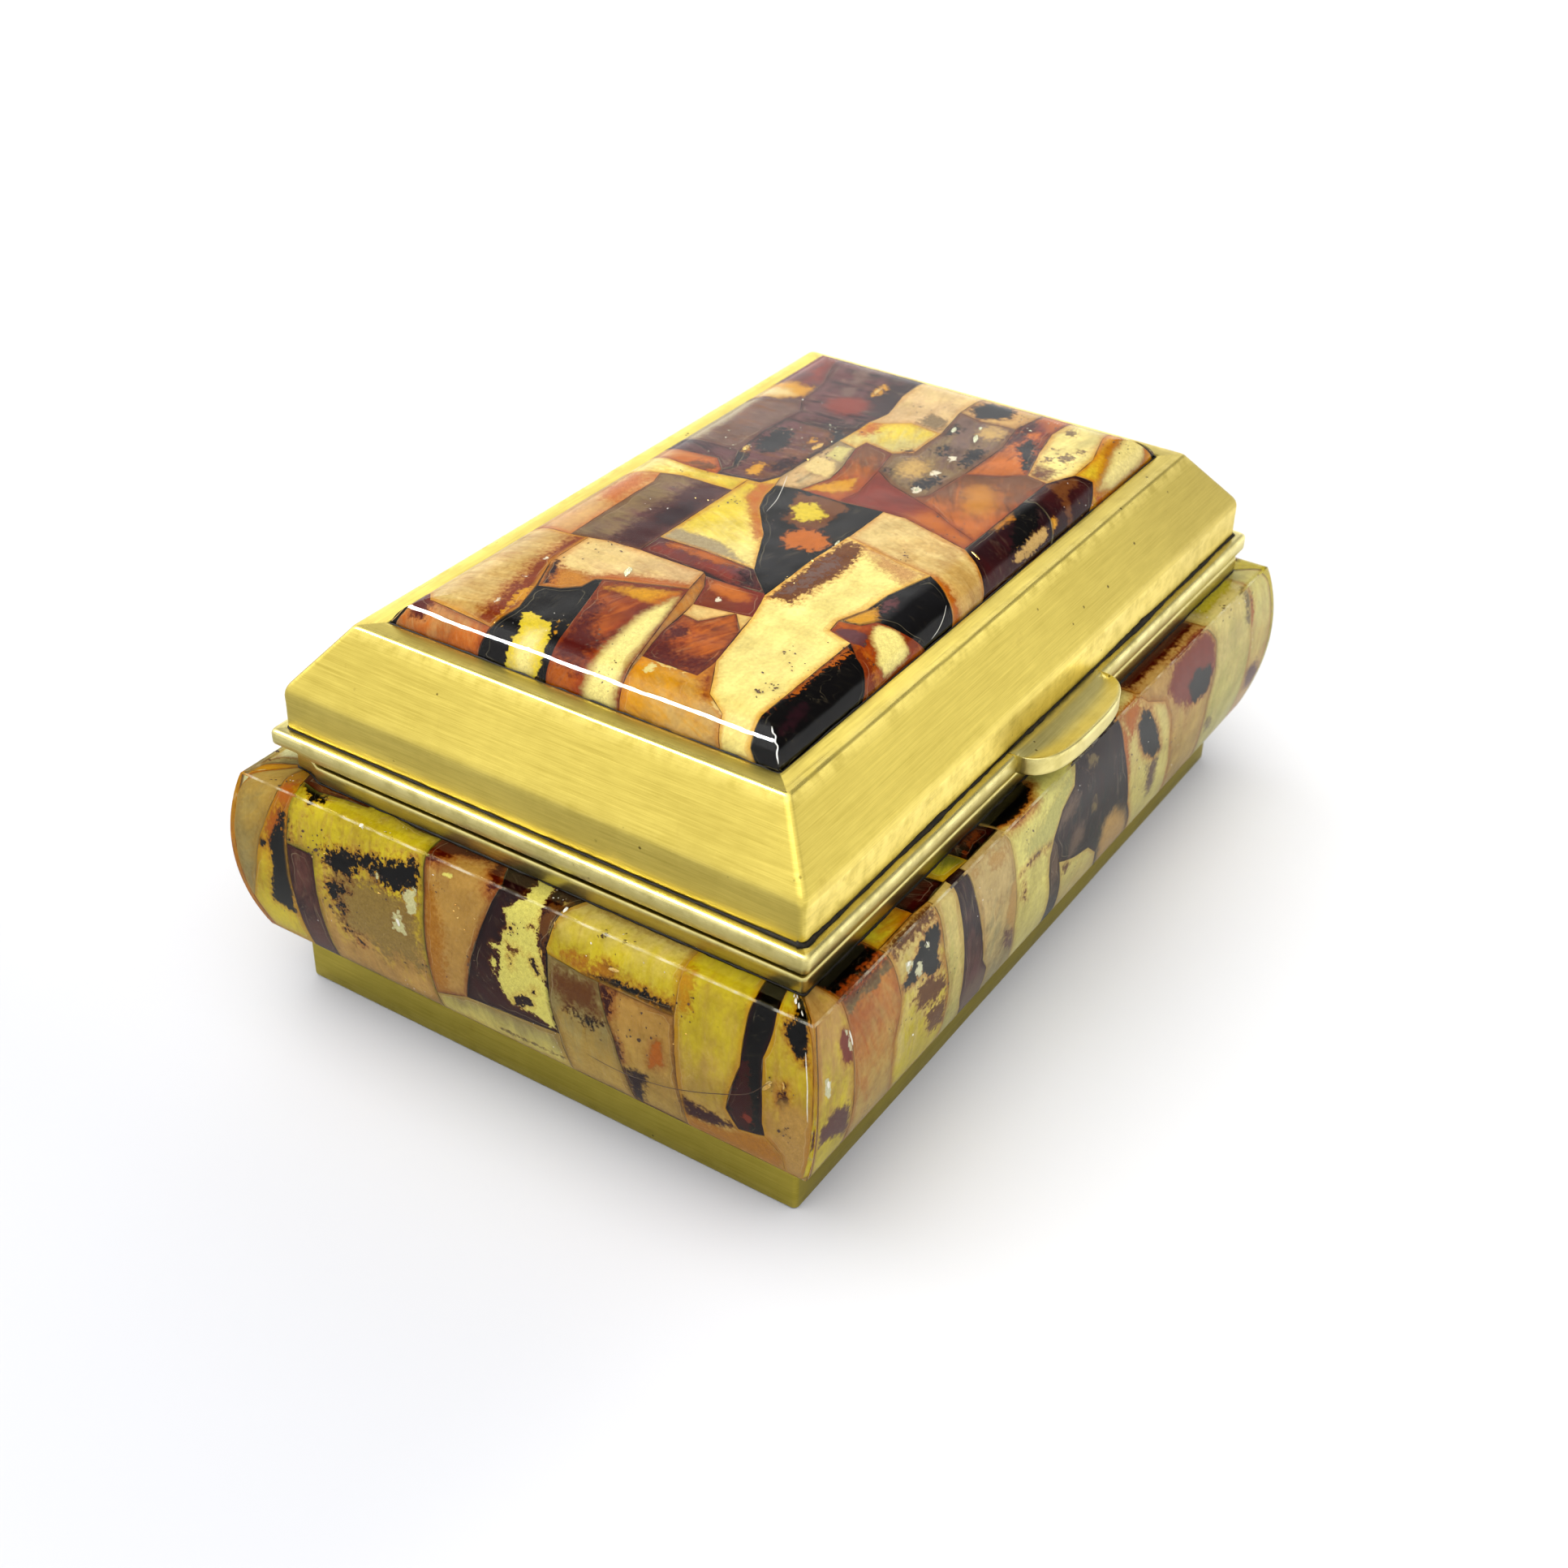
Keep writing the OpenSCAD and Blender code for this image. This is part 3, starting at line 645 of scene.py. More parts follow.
def clear_joint(name):
    """Glued faces of the clear skin: no refraction, a trace of pale glue."""
    net = new_material(name)
    glue = net.step(net.noise(net.object_mm(), scale=0.9, detail=3.0), low=0.56, high=0.70)
    pale = net.make("ShaderNodeBsdfDiffuse", {0: (0.85, 0.78, 0.60)})
    return net.finish(net.mix_shader(glue * 0.16, net.transparent((0.99, 0.985, 0.96)), pale))


def ground_edge(name):
    """Narrow ground arris of a clear panel: catches the light as a fine pale line."""
    net = new_material(name)
    frost = net.step(net.noise(net.object_mm(), scale=0.5, detail=3.0), low=0.38, high=0.66)
    ground = net.principled({"Base Color": (0.98, 0.93, 0.74), "Roughness": 0.35})
    return net.finish(net.mix_shader(0.05 + frost * 0.24,
                                     net.transparent((0.97, 0.96, 0.92)), ground))


def plain(name, dark, light, rough, scale, metal=0.0, bump=0.2, specular=0.4):
    """Two mottled tones."""
    net = new_material(name)
    point = net.object_mm()
    mottle = net.noise(point, scale=scale, detail=5.0, rough=0.62)
    fine = net.noise(point, scale=scale * 5, detail=3.0, rough=0.6)
    tone = net.step(mottle + (fine - 0.5) * 0.4, low=0.3, high=0.7)
    return net.finish(net.principled({
        "Base Color": net.mix(tone, dark, light),
        "Roughness": (rough + (fine - 0.5) * 0.3).clamped(),
        "Metallic": metal,
        "Specular IOR Level": specular,
        "Normal": net.bump(mottle + fine * 0.4, strength=bump, distance=0.00008)}))


AMBER = amber_core("amber_body")
ARRIS = ground_edge("amber_ground_arris")
SKIN = clear_skin("amber_polish")
GLUED = clear_joint("amber_glued_face")
BED = plain("amber_bed_pitch", (0.24, 0.12, 0.035), (0.44, 0.26, 0.09), rough=0.7, scale=0.9)
SEAM = plain("seam_grime", (0.006, 0.005, 0.003), (0.028, 0.020, 0.010),
             rough=0.75, scale=2.2, bump=0.5)
GLUE = plain("glue_line_black", (0.004, 0.003, 0.002), (0.014, 0.009, 0.005),
             rough=0.6, scale=1.8, bump=0.4)
LEAF = plain("gold_leaf_glint", (0.85, 0.52, 0.10), (1.0, 0.82, 0.36),
             rough=0.22, scale=1.9, metal=1.0, bump=0.6)
GLINT = plain("pale_glint", (0.62, 0.66, 0.42), (0.95, 0.96, 0.80),
              rough=0.25, scale=2.4, metal=0.55, bump=0.6)
CHIP = plain("white_fracture", (0.80, 0.79, 0.74), (0.98, 0.98, 0.95),
             rough=0.25, scale=3.2, bump=0.8, specular=0.6)
HAIR = plain("dark_hairline", (0.050, 0.022, 0.010), (0.12, 0.055, 0.02), rough=0.5, scale=2.0)


# ---------------------------------------------------------------- amber surfaces
class SidePanel:
    """Outer surface of one wall. `along` runs along the wall, `up` up the bulging face and,
    past the arris, inwards over the flat top; `depth` is below the outside. All arrays."""
    FOOT, ARRIS, END = 7.0, 25.6, 30.1   # values of `up`
    SHOULDER = 1.9                       # rounding of the tiles under the crisp arris
    MITRE = 2.0                          # end length that is stretched to meet the corner

    def __init__(self, name, half_length, half_depth):
        self.name, self.half_length, self.half_depth = name, half_length, half_depth
        self.reach = half_length + BULGE

    def out_at(self, z, depth):
        across = (BULGE_RADIUS - depth) ** 2 - (z - BULGE_Z) ** 2
        return ARC_CENTRE + np.sqrt(np.maximum(across, 0.01))

    def place(self, along, out, z):
        away = self.half_depth + out
        x, y = {"front": (along, -away), "back": (-along, away),
                "left": (-away, -along), "right": (away, along)}[self.name]
        return np.stack([x, y, z * np.ones_like(x)], -1)

    def to_corner(self, along, out):
        start = self.half_length - self.MITRE
        limit = self.half_length + out - 0.06
        size = np.abs(along)
        stretched = start + (size - start) / (self.reach - start) * (limit - start)
        return np.where(size <= start, along, np.sign(along) * stretched)

    def profile(self, up, depth):
        """(out, z) with a sharp arris."""
        foot, top = PLINTH_TOP + 0.12, RIM_BOTTOM - depth
        rise = self.ARRIS - self.FOOT
        z = foot + (np.minimum(up, self.ARRIS) - self.FOOT) / rise * (top - foot)
        inwards = np.clip((up - self.ARRIS) / (self.END - self.ARRIS), 0, 1)
        return self.out_at(z, depth) * (1 - inwards) + (WALL_OUT + 0.06) * inwards, z

    def point(self, along, up, depth):
        along, up, depth = np.broadcast_arrays(*(np.asarray(value, float)
                                                 for value in (along, up, depth)))
        out, z = self.profile(up, depth)
        # quadratic curve through the shoulder
        radius = self.SHOULDER
        before, middle, after = (self.profile(np.full_like(up, self.ARRIS + shift), depth)
                                 for shift in (-radius, 0.0, radius))
        k = np.clip((up - self.ARRIS + radius) / (2 * radius), 0, 1)
        rounded = (k > 0) & (k < 1) & (depth > 0.15)
        curve_out, curve_z = ((1 - k) ** 2 * a + 2 * k * (1 - k) * b + k ** 2 * c
                              for a, b, c in zip(before, middle, after))
        out, z = np.where(rounded, curve_out, out), np.where(rounded, curve_z, z)
        return self.place(self.to_corner(along, out), out, z)

    def limits(self):
        return -self.reach, self.reach, self.FOOT, self.END


class Cushion:
    """Surface of the lid's cushion: `along` and `up` are X and Y on the flat, unrolled over
    the rounded edges."""
    ROUND_IN, ROUND_DOWN, UNROLLED = 4.2, 3.0, 5.91
    name = "top"

    def __init__(self):
        self.flat_x = CUSHION_X - 0.02 - self.ROUND_IN
        self.flat_y = CUSHION_Y - 0.02 - self.ROUND_IN

    def roll(self, value, flat, depth):
        """Position and drop for one unrolled coordinate."""
        size = np.abs(value)
        t = np.clip((size - flat) / self.UNROLLED, 0, 1) * math.pi / 2
        rolled = np.sign(value) * (flat + (self.ROUND_IN - depth) * np.sin(t))
        drop = -(self.ROUND_DOWN - depth) * (1 - np.cos(t))
        return np.where(size <= flat, value, rolled), drop

    def point(self, along, up, depth):
        along, up, depth = np.broadcast_arrays(*(np.asarray(value, float)
                                                 for value in (along, up, depth)))
        x, drop_x = self.roll(along, self.flat_x, depth)
        y, drop_y = self.roll(up, self.flat_y, depth)
        return np.stack([x, y, CUSHION_TOP - depth + np.minimum(drop_x, drop_y)], -1)

    def limits(self):
        x, y = self.flat_x + self.UNROLLED, self.flat_y + self.UNROLLED
        return -x, x, -y, y


# ---------------------------------------------------------------- plane geometry of the tiles
def border_distance(points, outline):
    start = np.asarray(outline, float)
    side = np.roll(start, -1, 0) - start
    squared = np.maximum((side ** 2).sum(1), 1e-9)
    t = np.clip(((points[:, None] - start[None]) * side[None]).sum(2) / squared, 0, 1)
    nearest = start[None] + t[..., None] * side[None]
    return np.sqrt(((points[:, None] - nearest) ** 2).sum(2)).min(1)


def inside(points, outline):
    start = np.asarray(outline, float)
    end = np.roll(start, -1, 0)
    x, y = points[:, 0][:, None], points[:, 1][:, None]
    spans = (start[:, 1][None] > y) != (end[:, 1][None] > y)
    rise = end[:, 1] - start[:, 1]
    rise = np.where(np.abs(rise) < 1e-12, 1e-12, rise)
    crossing = start[:, 0] + (y - start[:, 1]) * (end[:, 0] - start[:, 0]) / rise
    return (spans & (x < crossing)).sum(1) % 2 == 1


def signed_distance(points, shapes):
    """Distance to the nearest shape, negative inside."""
    best = np.full(len(points), 1e3)
    for shape in shapes:
        distance = border_distance(points, shape)
        best = np.minimum(best, np.where(inside(points, shape), -distance, distance))
    return best


def area(outline):
    start = np.asarray(outline, float)
    end = np.roll(start, -1, 0)
    return 0.5 * float((start[:, 0] * end[:, 1] - end[:, 0] * start[:, 1]).sum())


def inset(outline, gap):
    """A counter-clockwise outline moved inwards, with blunted sharp corners."""
    points = np.asarray(outline, float)
    result = []
    for i, here in enumerate(points):
        before, after = points[i - 1], points[(i + 1) % len(points)]
        d0 = (here - before) / max(np.linalg.norm(here - before), 1e-9)
        d1 = (after - here) / max(np.linalg.norm(after - here), 1e-9)
        n0, n1 = np.array([-d0[1], d0[0]]), np.array([-d1[1], d1[0]])
        both = n0 + n1
        k = float(both @ n0)
        if k > 0.35:
            result.append(here + both * gap / k)
        else:
            result.append(here + both / max(np.linalg.norm(both), 1e-6) * gap * 1.6)
    return np.array(result)


def walk(outline, step, jitter, rng):
    """Samples round a closed outline, pushed inwards by a smooth random amount."""
    points = np.asarray(outline, float)
    phase = [rng.uniform(0, 6.28) for _ in range(4)]
    result, run = [], 0.0
    for i, start in enumerate(points):
        end = points[(i + 1) % len(points)]
        length = float(np.linalg.norm(end - start))
        if length < 1e-6:
            continue
        count = max(1, round(length / step))
        direction = (end - start) / length
        normal = np.array([-direction[1], direction[0]])
        for j in range(count):
            t = j / count
            r = run + length * t
            wave = (math.sin(r * 1.9 + phase[0]) + math.sin(r * 4.3 + phase[1]) * 0.7
                    + math.sin(r * 9.1 + phase[2]) * 0.5) / 2.2
            fade = min(1.0, 4 * t, 4 * (1 - t)) if j else 0.0
            result.append(start + direction * length * t
                          + normal * jitter * (0.5 + 0.5 * wave) * fade)
        run += length
    return np.array(result)


def triangulate(points, loop_count):
    """Triangles inside the closed loop of the first loop_count points, with the input points
    each resulting one stands for."""
    flat = [Vector((float(x), float(y))) for x, y in points]
    verts, _, faces, origins, _, _ = delaunay_2d_cdt(flat, [], [list(range(loop_count))],
                                                     1, 1e-5)
    return (np.array([[p.x, p.y] for p in verts]), [list(face) for face in faces],
            [list(origin) for origin in origins])


def path(text, edges={}):
    """Points written as "x,y x,y ..."; a letter stands for a border value in edges."""
    return [tuple(edges[word] if word in edges else float(word) for word in pair.split(","))
            for pair in text.split()]


def oval(x, y, radius_x, radius_y, tilt=0.0):
    cos, sin = math.cos(math.radians(tilt)), math.sin(math.radians(tilt))
    angles = [2 * math.pi * i / 14 for i in range(14)]
    return [(x + radius_x * math.cos(t) * cos - radius_y * math.sin(t) * sin,
             y + radius_x * math.cos(t) * sin + radius_y * math.sin(t) * cos) for t in angles]


def strip(text, width):
    """A narrow outline along a line, tapering at its ends."""
    line = np.asarray(path(text), float)
    tangent = np.gradient(line, axis=0)
    tangent /= np.maximum(np.linalg.norm(tangent, axis=1, keepdims=True), 1e-9)
    normal = np.stack([-tangent[:, 1], tangent[:, 0]], -1)
    taper = [0.35 if i in (0, len(line) - 1) else 1.0 for i in range(len(line))]
    shift = normal * (np.array(taper)[:, None] * width / 2)
    return [tuple(point) for point in np.vstack([line - shift, (line + shift)[::-1]])]


# ---------------------------------------------------------------- mosaics
def linear(code):
    """Scene-linear colour of an #RRGGBB code."""
    values = [int(code[i:i + 2], 16) / 255 for i in (1, 3, 5)]
    return tuple(c / 12.92 if c <= 0.04045 else ((c + 0.055) / 1.055) ** 2.4 for c in values)


COLOURS = {name: linear(code) for name, code in dict(
    BRIGHT="#FFF3A0", PALE="#F0E29A", CREAM="#ECD596", TAN="#D3B06C", PEACH="#D5A86C",
    PINK="#DDBF90", GREEN="#DAD088", YEL="#E8D23A", GOLD="#DDA21A", HONEY="#C98722",
    AMBER="#C26A12", ORANGE="#CB731E", COGNAC="#8C3B08", RED="#5E1203", BRICK="#8E3626",
    WINE="#430D10", PLUM="#2E0F1A", MAUVE="#6E4248", SMOKE="#8A744F", BROWN="#7A4A22",
    GREY="#B3A482", OLIVE="#8F8A30", SLATE="#1B1C22", BLACK="#060405", WHITE="#F4EEDC",
    DUSK="#7A5F58", DUN="#AE9059").items()}

JOINT = 0.012            # half the gap between tiles
TILE_UNDERSIDE = 2.35    # depth of every tile's underside
COLOUR_KEYS = ("par", "cA", "cB", "cE", "c1", "c2", "c3", "p1", "p2", "p3")
FLOAT_KEYS = ("edge", "grad", "f1", "f2", "f3")


class Mosaic:
    """Collects the tiles of one panel, one closed solid per tile, grouped by tone."""

    def __init__(self, surface, body, seed, gain, edges):
        self.surface, self.body, self.gain, self.edges = surface, body, gain, edges
        self.rng = random.Random(seed)
        self.parts = {tone: {key: [] for key in ("verts", "faces", "loc",
                                                 *COLOUR_KEYS, *FLOAT_KEYS)}
                      for tone in TONES}

    def points(self, shape):
        return path(shape, self.edges) if isinstance(shape, str) else shape

    def colour(self, name):
        return (*(c * k for c, k in zip(COLOURS[name], self.gain)), 1.0)

    def scatter(self, outline, shapes, ragged):
        """Sample points of a tile: its border first, then rings, a jittered grid and lines
        along the shapes. Returns the points and the border."""
        rng = self.rng
        border = walk(inset(outline, JOINT), 0.5, 0.03 + 0.10 * min(ragged, 0.8), rng)
        groups = [border]
        for offset in (0.14, 0.40):
            ring = walk(inset(outline, JOINT + offset), 0.55, 0.04, rng)
            groups.append(ring[inside(ring, border)
                               & (border_distance(ring, border) > offset * 0.6)])
        low, high = border.min(0), border.max(0)
        cell = 0.85
        grid = np.array([(x + (cell / 2 if j % 2 else 0) + rng.uniform(-.12, .12),
                          y + rng.uniform(-.12, .12))
                         for j, y in enumerate(np.arange(low[1], high[1], cell * 0.87))
                         for x in np.arange(low[0], high[0], cell)])
        for shape in shapes:
            ring = np.asarray(shape if area(shape) > 0 else shape[::-1], float)
            for offset in (0.0, 0.22, -0.22):
                line = walk(inset(ring, offset) if offset else ring, 0.4, 0.0, rng)
                grid = np.vstack([grid, line])
        keep = inside(grid, border)
        keep[keep] &= border_distance(grid[keep], border) > 0.55
        points = np.vstack(groups + [grid[keep]])
        # drop near-duplicates, keeping the border
        seen, chosen = set(), []
        for i, (x, y) in enumerate(points):
            key = (round(x / 0.16), round(y / 0.16))
            if i < len(border) or key not in seen:
                chosen.append(i)
                seen.add(key)
        return points[chosen], border

    def tile(self, tone, colours, outline, *spots, angle=None, cloud=0.5, speck=0.0,
             ragged=0.2):
        """One tile. colours are its two body tones and its border. A spot is
        (colour, softness, crumbling, halo, shapes...). angle is the direction in degrees in
        which the first tone turns into the second."""
        rng = self.rng
        outline = self.points(outline)
        spots = [(*spot[:4], [self.points(shape) for shape in spot[4:]]) for spot in spots]
        if area(outline) < 0:
            outline = outline[::-1]
        x0, x1, y0, y1 = self.surface.limits()
        outline = [(min(max(x, x0), x1), min(max(y, y0), y1)) for x, y in outline]
        samples, border = self.scatter(outline, [shape for spot in spots for shape in spot[4]],
                                       ragged)
        border_count = len(border)
        flat, faces, origins = triangulate(samples, border_count)
        edge = border_distance(flat, border)
        on_border = {}
        for i, origin in enumerate(origins):
            for k in origin:
                if k < border_count:
                    on_border[k] = i
                    edge[i] = 0.0
        # the tile's own frame
        turn = math.radians(rng.uniform(0, 180) if angle is None else angle)
        offset = flat - flat.mean(0)
        cos, sin = math.cos(turn), math.sin(turn)
        local_x = offset[:, 0] * cos + offset[:, 1] * sin
        local_y = -offset[:, 0] * sin + offset[:, 1] * cos
        gradient = (local_x - local_x.min()) / max(local_x.max() - local_x.min(), 1e-3)
        variant = rng.uniform(0, 90)
        # upper face: mean depth, tilt, lumps and a soft edge; all three depths are drawn
        mean_depth = {"pale": rng.uniform(.26, .40), "honey": rng.uniform(.32, .50),
                      "dark": rng.uniform(.30, .48)}[tone]
        tilt_x, tilt_y = rng.uniform(-.010, .010), rng.uniform(-.010, .010)
        depth = mean_depth + offset[:, 0] * tilt_x + offset[:, 1] * tilt_y
        lump = np.array([mnoise.noise(Vector((float(x) * 0.7, float(y) * 0.7, variant)))
                         for x, y in flat])
        bevel = 0.05 * (1 - np.clip(edge / 0.24, 0, 1)) ** 2
        depth = np.maximum(depth + lump * 0.05 * (1 + ragged) + bevel, 0.17)
        upper = self.surface.point(flat[:, 0], flat[:, 1], depth)
        # underside: the same border, a coarse inside
        loop = [on_border[k] for k in range(border_count) if k in on_border]
        loop = [v for i, v in enumerate(loop) if v != loop[i - 1]]
        loop_points = flat[loop]
        low, high = border.min(0), border.max(0)
        coarse = np.array([(x, y) for y in np.arange(low[1], high[1], 2.6)
                           for x in np.arange(low[0], high[0], 2.6)])
        keep = inside(coarse, loop_points)
        keep[keep] &= border_distance(coarse[keep], loop_points) > 0.8
        under_flat, under_faces, under_origins = triangulate(
            np.vstack([loop_points, coarse[keep]]), len(loop_points))
        under = self.surface.point(under_flat[:, 0], under_flat[:, 1],
                                   np.full(len(under_flat), TILE_UNDERSIDE))
        # collect
        part = self.parts[tone]
        start, count = len(part["verts"]), len(flat)
        below = start + count
        part["verts"].extend(upper.tolist() + under.tolist())
        part["faces"].extend([start + i for i in face] for face in faces)
        part["faces"].extend([below + i for i in face[::-1]] for face in under_faces)
        under_at = {k: i for i, origin in enumerate(under_origins) for k in origin}
        for i in range(len(loop)):
            j = (i + 1) % len(loop)
            if i in under_at and j in under_at:
                part["faces"].append([start + loop[j], start + loop[i],
                                      below + under_at[i], below + under_at[j]])
        under_count = len(under_flat)
        part["loc"].extend(np.stack([local_x, local_y, np.full(count, variant)], -1).tolist()
                           + [[0, 0, variant]] * under_count)
        per_vertex = {"edge": (edge, 0.0), "grad": (gradient, 0.5)}
        per_tile = {"par": (cloud, speck, ragged, 1.0)}
        per_tile.update(zip(("cA", "cB", "cE"), map(self.colour, colours.split())))
        for k in range(3):
            distance, colour, nature = np.full(count, 9.0), (0.0, 0.0, 0.0, 1.0), (0.1, 0.0, 0.0)
            if k < len(spots):
                colour, nature = self.colour(spots[k][0]), spots[k][1:4]
                distance = signed_distance(flat, spots[k][4])
            per_vertex[f"f{k + 1}"] = (distance, 9.0)
            per_tile[f"c{k + 1}"] = colour
            per_tile[f"p{k + 1}"] = (*nature, 1.0)
        for key, (values, under_value) in per_vertex.items():
            part[key].extend(values.tolist() + [under_value] * under_count)
        for key, value in per_tile.items():
            part[key].extend([value] * (count + under_count))

    def build(self):
        name = self.surface.name
        for tone, part in self.parts.items():
            if part["verts"]:
                mesh_object(f"{name}_mosaic_{tone}", part["verts"], part["faces"], [AMBER],
                            self.body, f"{name}_tiles_{tone}", sharp=50,
                            vectors={"loc": part["loc"]},
                            colours={key: part[key] for key in COLOUR_KEYS},
                            floats={key: part[key] for key in FLOAT_KEYS})


# Tile layouts. Letters in an outline are the borders of the panel, W and E in the first
# coordinate, S and N in the second.
TOP_EDGES = {"W": -38.86, "E": 38.86, "S": -23.36, "N": 23.36}
LEFT_EDGES = {"W": -33.8, "E": 33.8, "S": SidePanel.FOOT, "N": SidePanel.END}
FRONT_EDGES = {"W": -49.3, "E": 49.3, "S": SidePanel.FOOT, "N": SidePanel.END}


def lay_top_back(tile):
    """Back row of the cushion."""
    tile("honey", "PEACH ORANGE COGNAC", "W,11.3 -34.8,11.4 -34.3,19 -33,20.2 -33.4,N W,N",
         ("RED", .5, .3, .2, "-36.4,18.4 -34.3,18.2 -32.8,20.4 -33.4,21.6 -36.8,20"), angle=200)
    tile("pale", "TAN CREAM GOLD",
         "-34.8,11.3 -31,11.1 -26.8,12.4 -22.3,14.2 -16.5,14.2 -17,16 -17.5,N -33.4,N -33,20.2 "
         "-34.3,19",
         ("COGNAC", .25, .45, .7,
          "-34.8,11.2 -31,11.0 -26.8,12.3 -22.3,14.1 -16.5,14.2 -16.6,15.2 -22,14.9 -26,14.2 "
          "-31,13.2 -34.6,13"),
         ("GOLD", .2, .3, .2, "-33.4,11.6 -30,11.6 -27.2,12.4 -28,13 -31,12.4"),
         ("WHITE", .06, .2, 0, oval(-22, 14.9, .5, .18, 10), oval(-26, 14.3, .4, .16, 20),
          oval(-31.2, 13.5, .6, .2, 10)), ragged=.25)
    tile("honey", "PEACH TAN ORANGE", "-17,16 -10,16.2 -3,16.2 -1,16.8 -2.2,19.5 -3,N -17.5,N",
         ("ORANGE", 1.0, .4, 0, "-9,16.4 -2,16.8 -2.6,19 -7,19.6 -9.5,18"), angle=20)
    tile("dark", "MAUVE SMOKE BROWN",
         "-17,16 -16.5,14.2 -15.9,12 -15.7,8.6 -12.4,8.6 0,8.6 -.2,14.5 -1,16.8 -3,16.2 "
         "-10,16.2",
         ("WINE", 1.1, .5, 0, "-15.7,8.6 0,8.6 -.1,12.2 -6,12.6 -15.8,12.2"),
         ("PLUM", .8, .6, 0, oval(-7.5, 10, 3.2, 1.3)), angle=90)
    tile("pale", "YEL BRIGHT GOLD",
         "-3,N -2.2,19.5 -1,16.8 -.2,14.5 0,8.6 3,8.6 2.2,12 2,15 2.2,18 2.5,N", angle=90)
    tile("honey", "PEACH ORANGE BRICK", "2.5,N 2.2,18 2,15 2.2,12 3.4,12.2 5.3,14 4.8,18 5,N",
         ("BROWN", .5, .4, .2, oval(2.9, 14.4, .8, 1.6, 10)), angle=-60)
    tile("dark", "MAUVE PLUM WINE", "5,N 4.8,18 5.3,14 3.4,12.2 4.6,11.6 8,13.2 7.8,18 7.2,N",
         angle=70)
    tile("honey", "DUSK BROWN MAUVE",
         "7.2,N 7.8,18 8,13.2 14,13.8 20,13.2 22.5,14.6 21.3,17 20.5,19 19.5,N",
         ("GREY", .6, .3, 0, "7.6,18.6 14,18.4 20.3,18.9 19.6,N 7.3,N"), angle=90, cloud=.7)
    tile("honey", "MAUVE BRICK DUSK",
         "19.5,N 20.5,19 21.3,17 22.5,14.6 28,15.2 33,17 E,17.5 E,N",
         ("GOLD", .7, .4, .6, "20.6,22 21.7,17.3 24,14.9 26,15.4 26.4,18 25.4,21.5"),
         ("CREAM", .8, .3, 0, "21.2,21 21.9,17.6 23.4,16.2 24.4,17.4 24,20.8"))


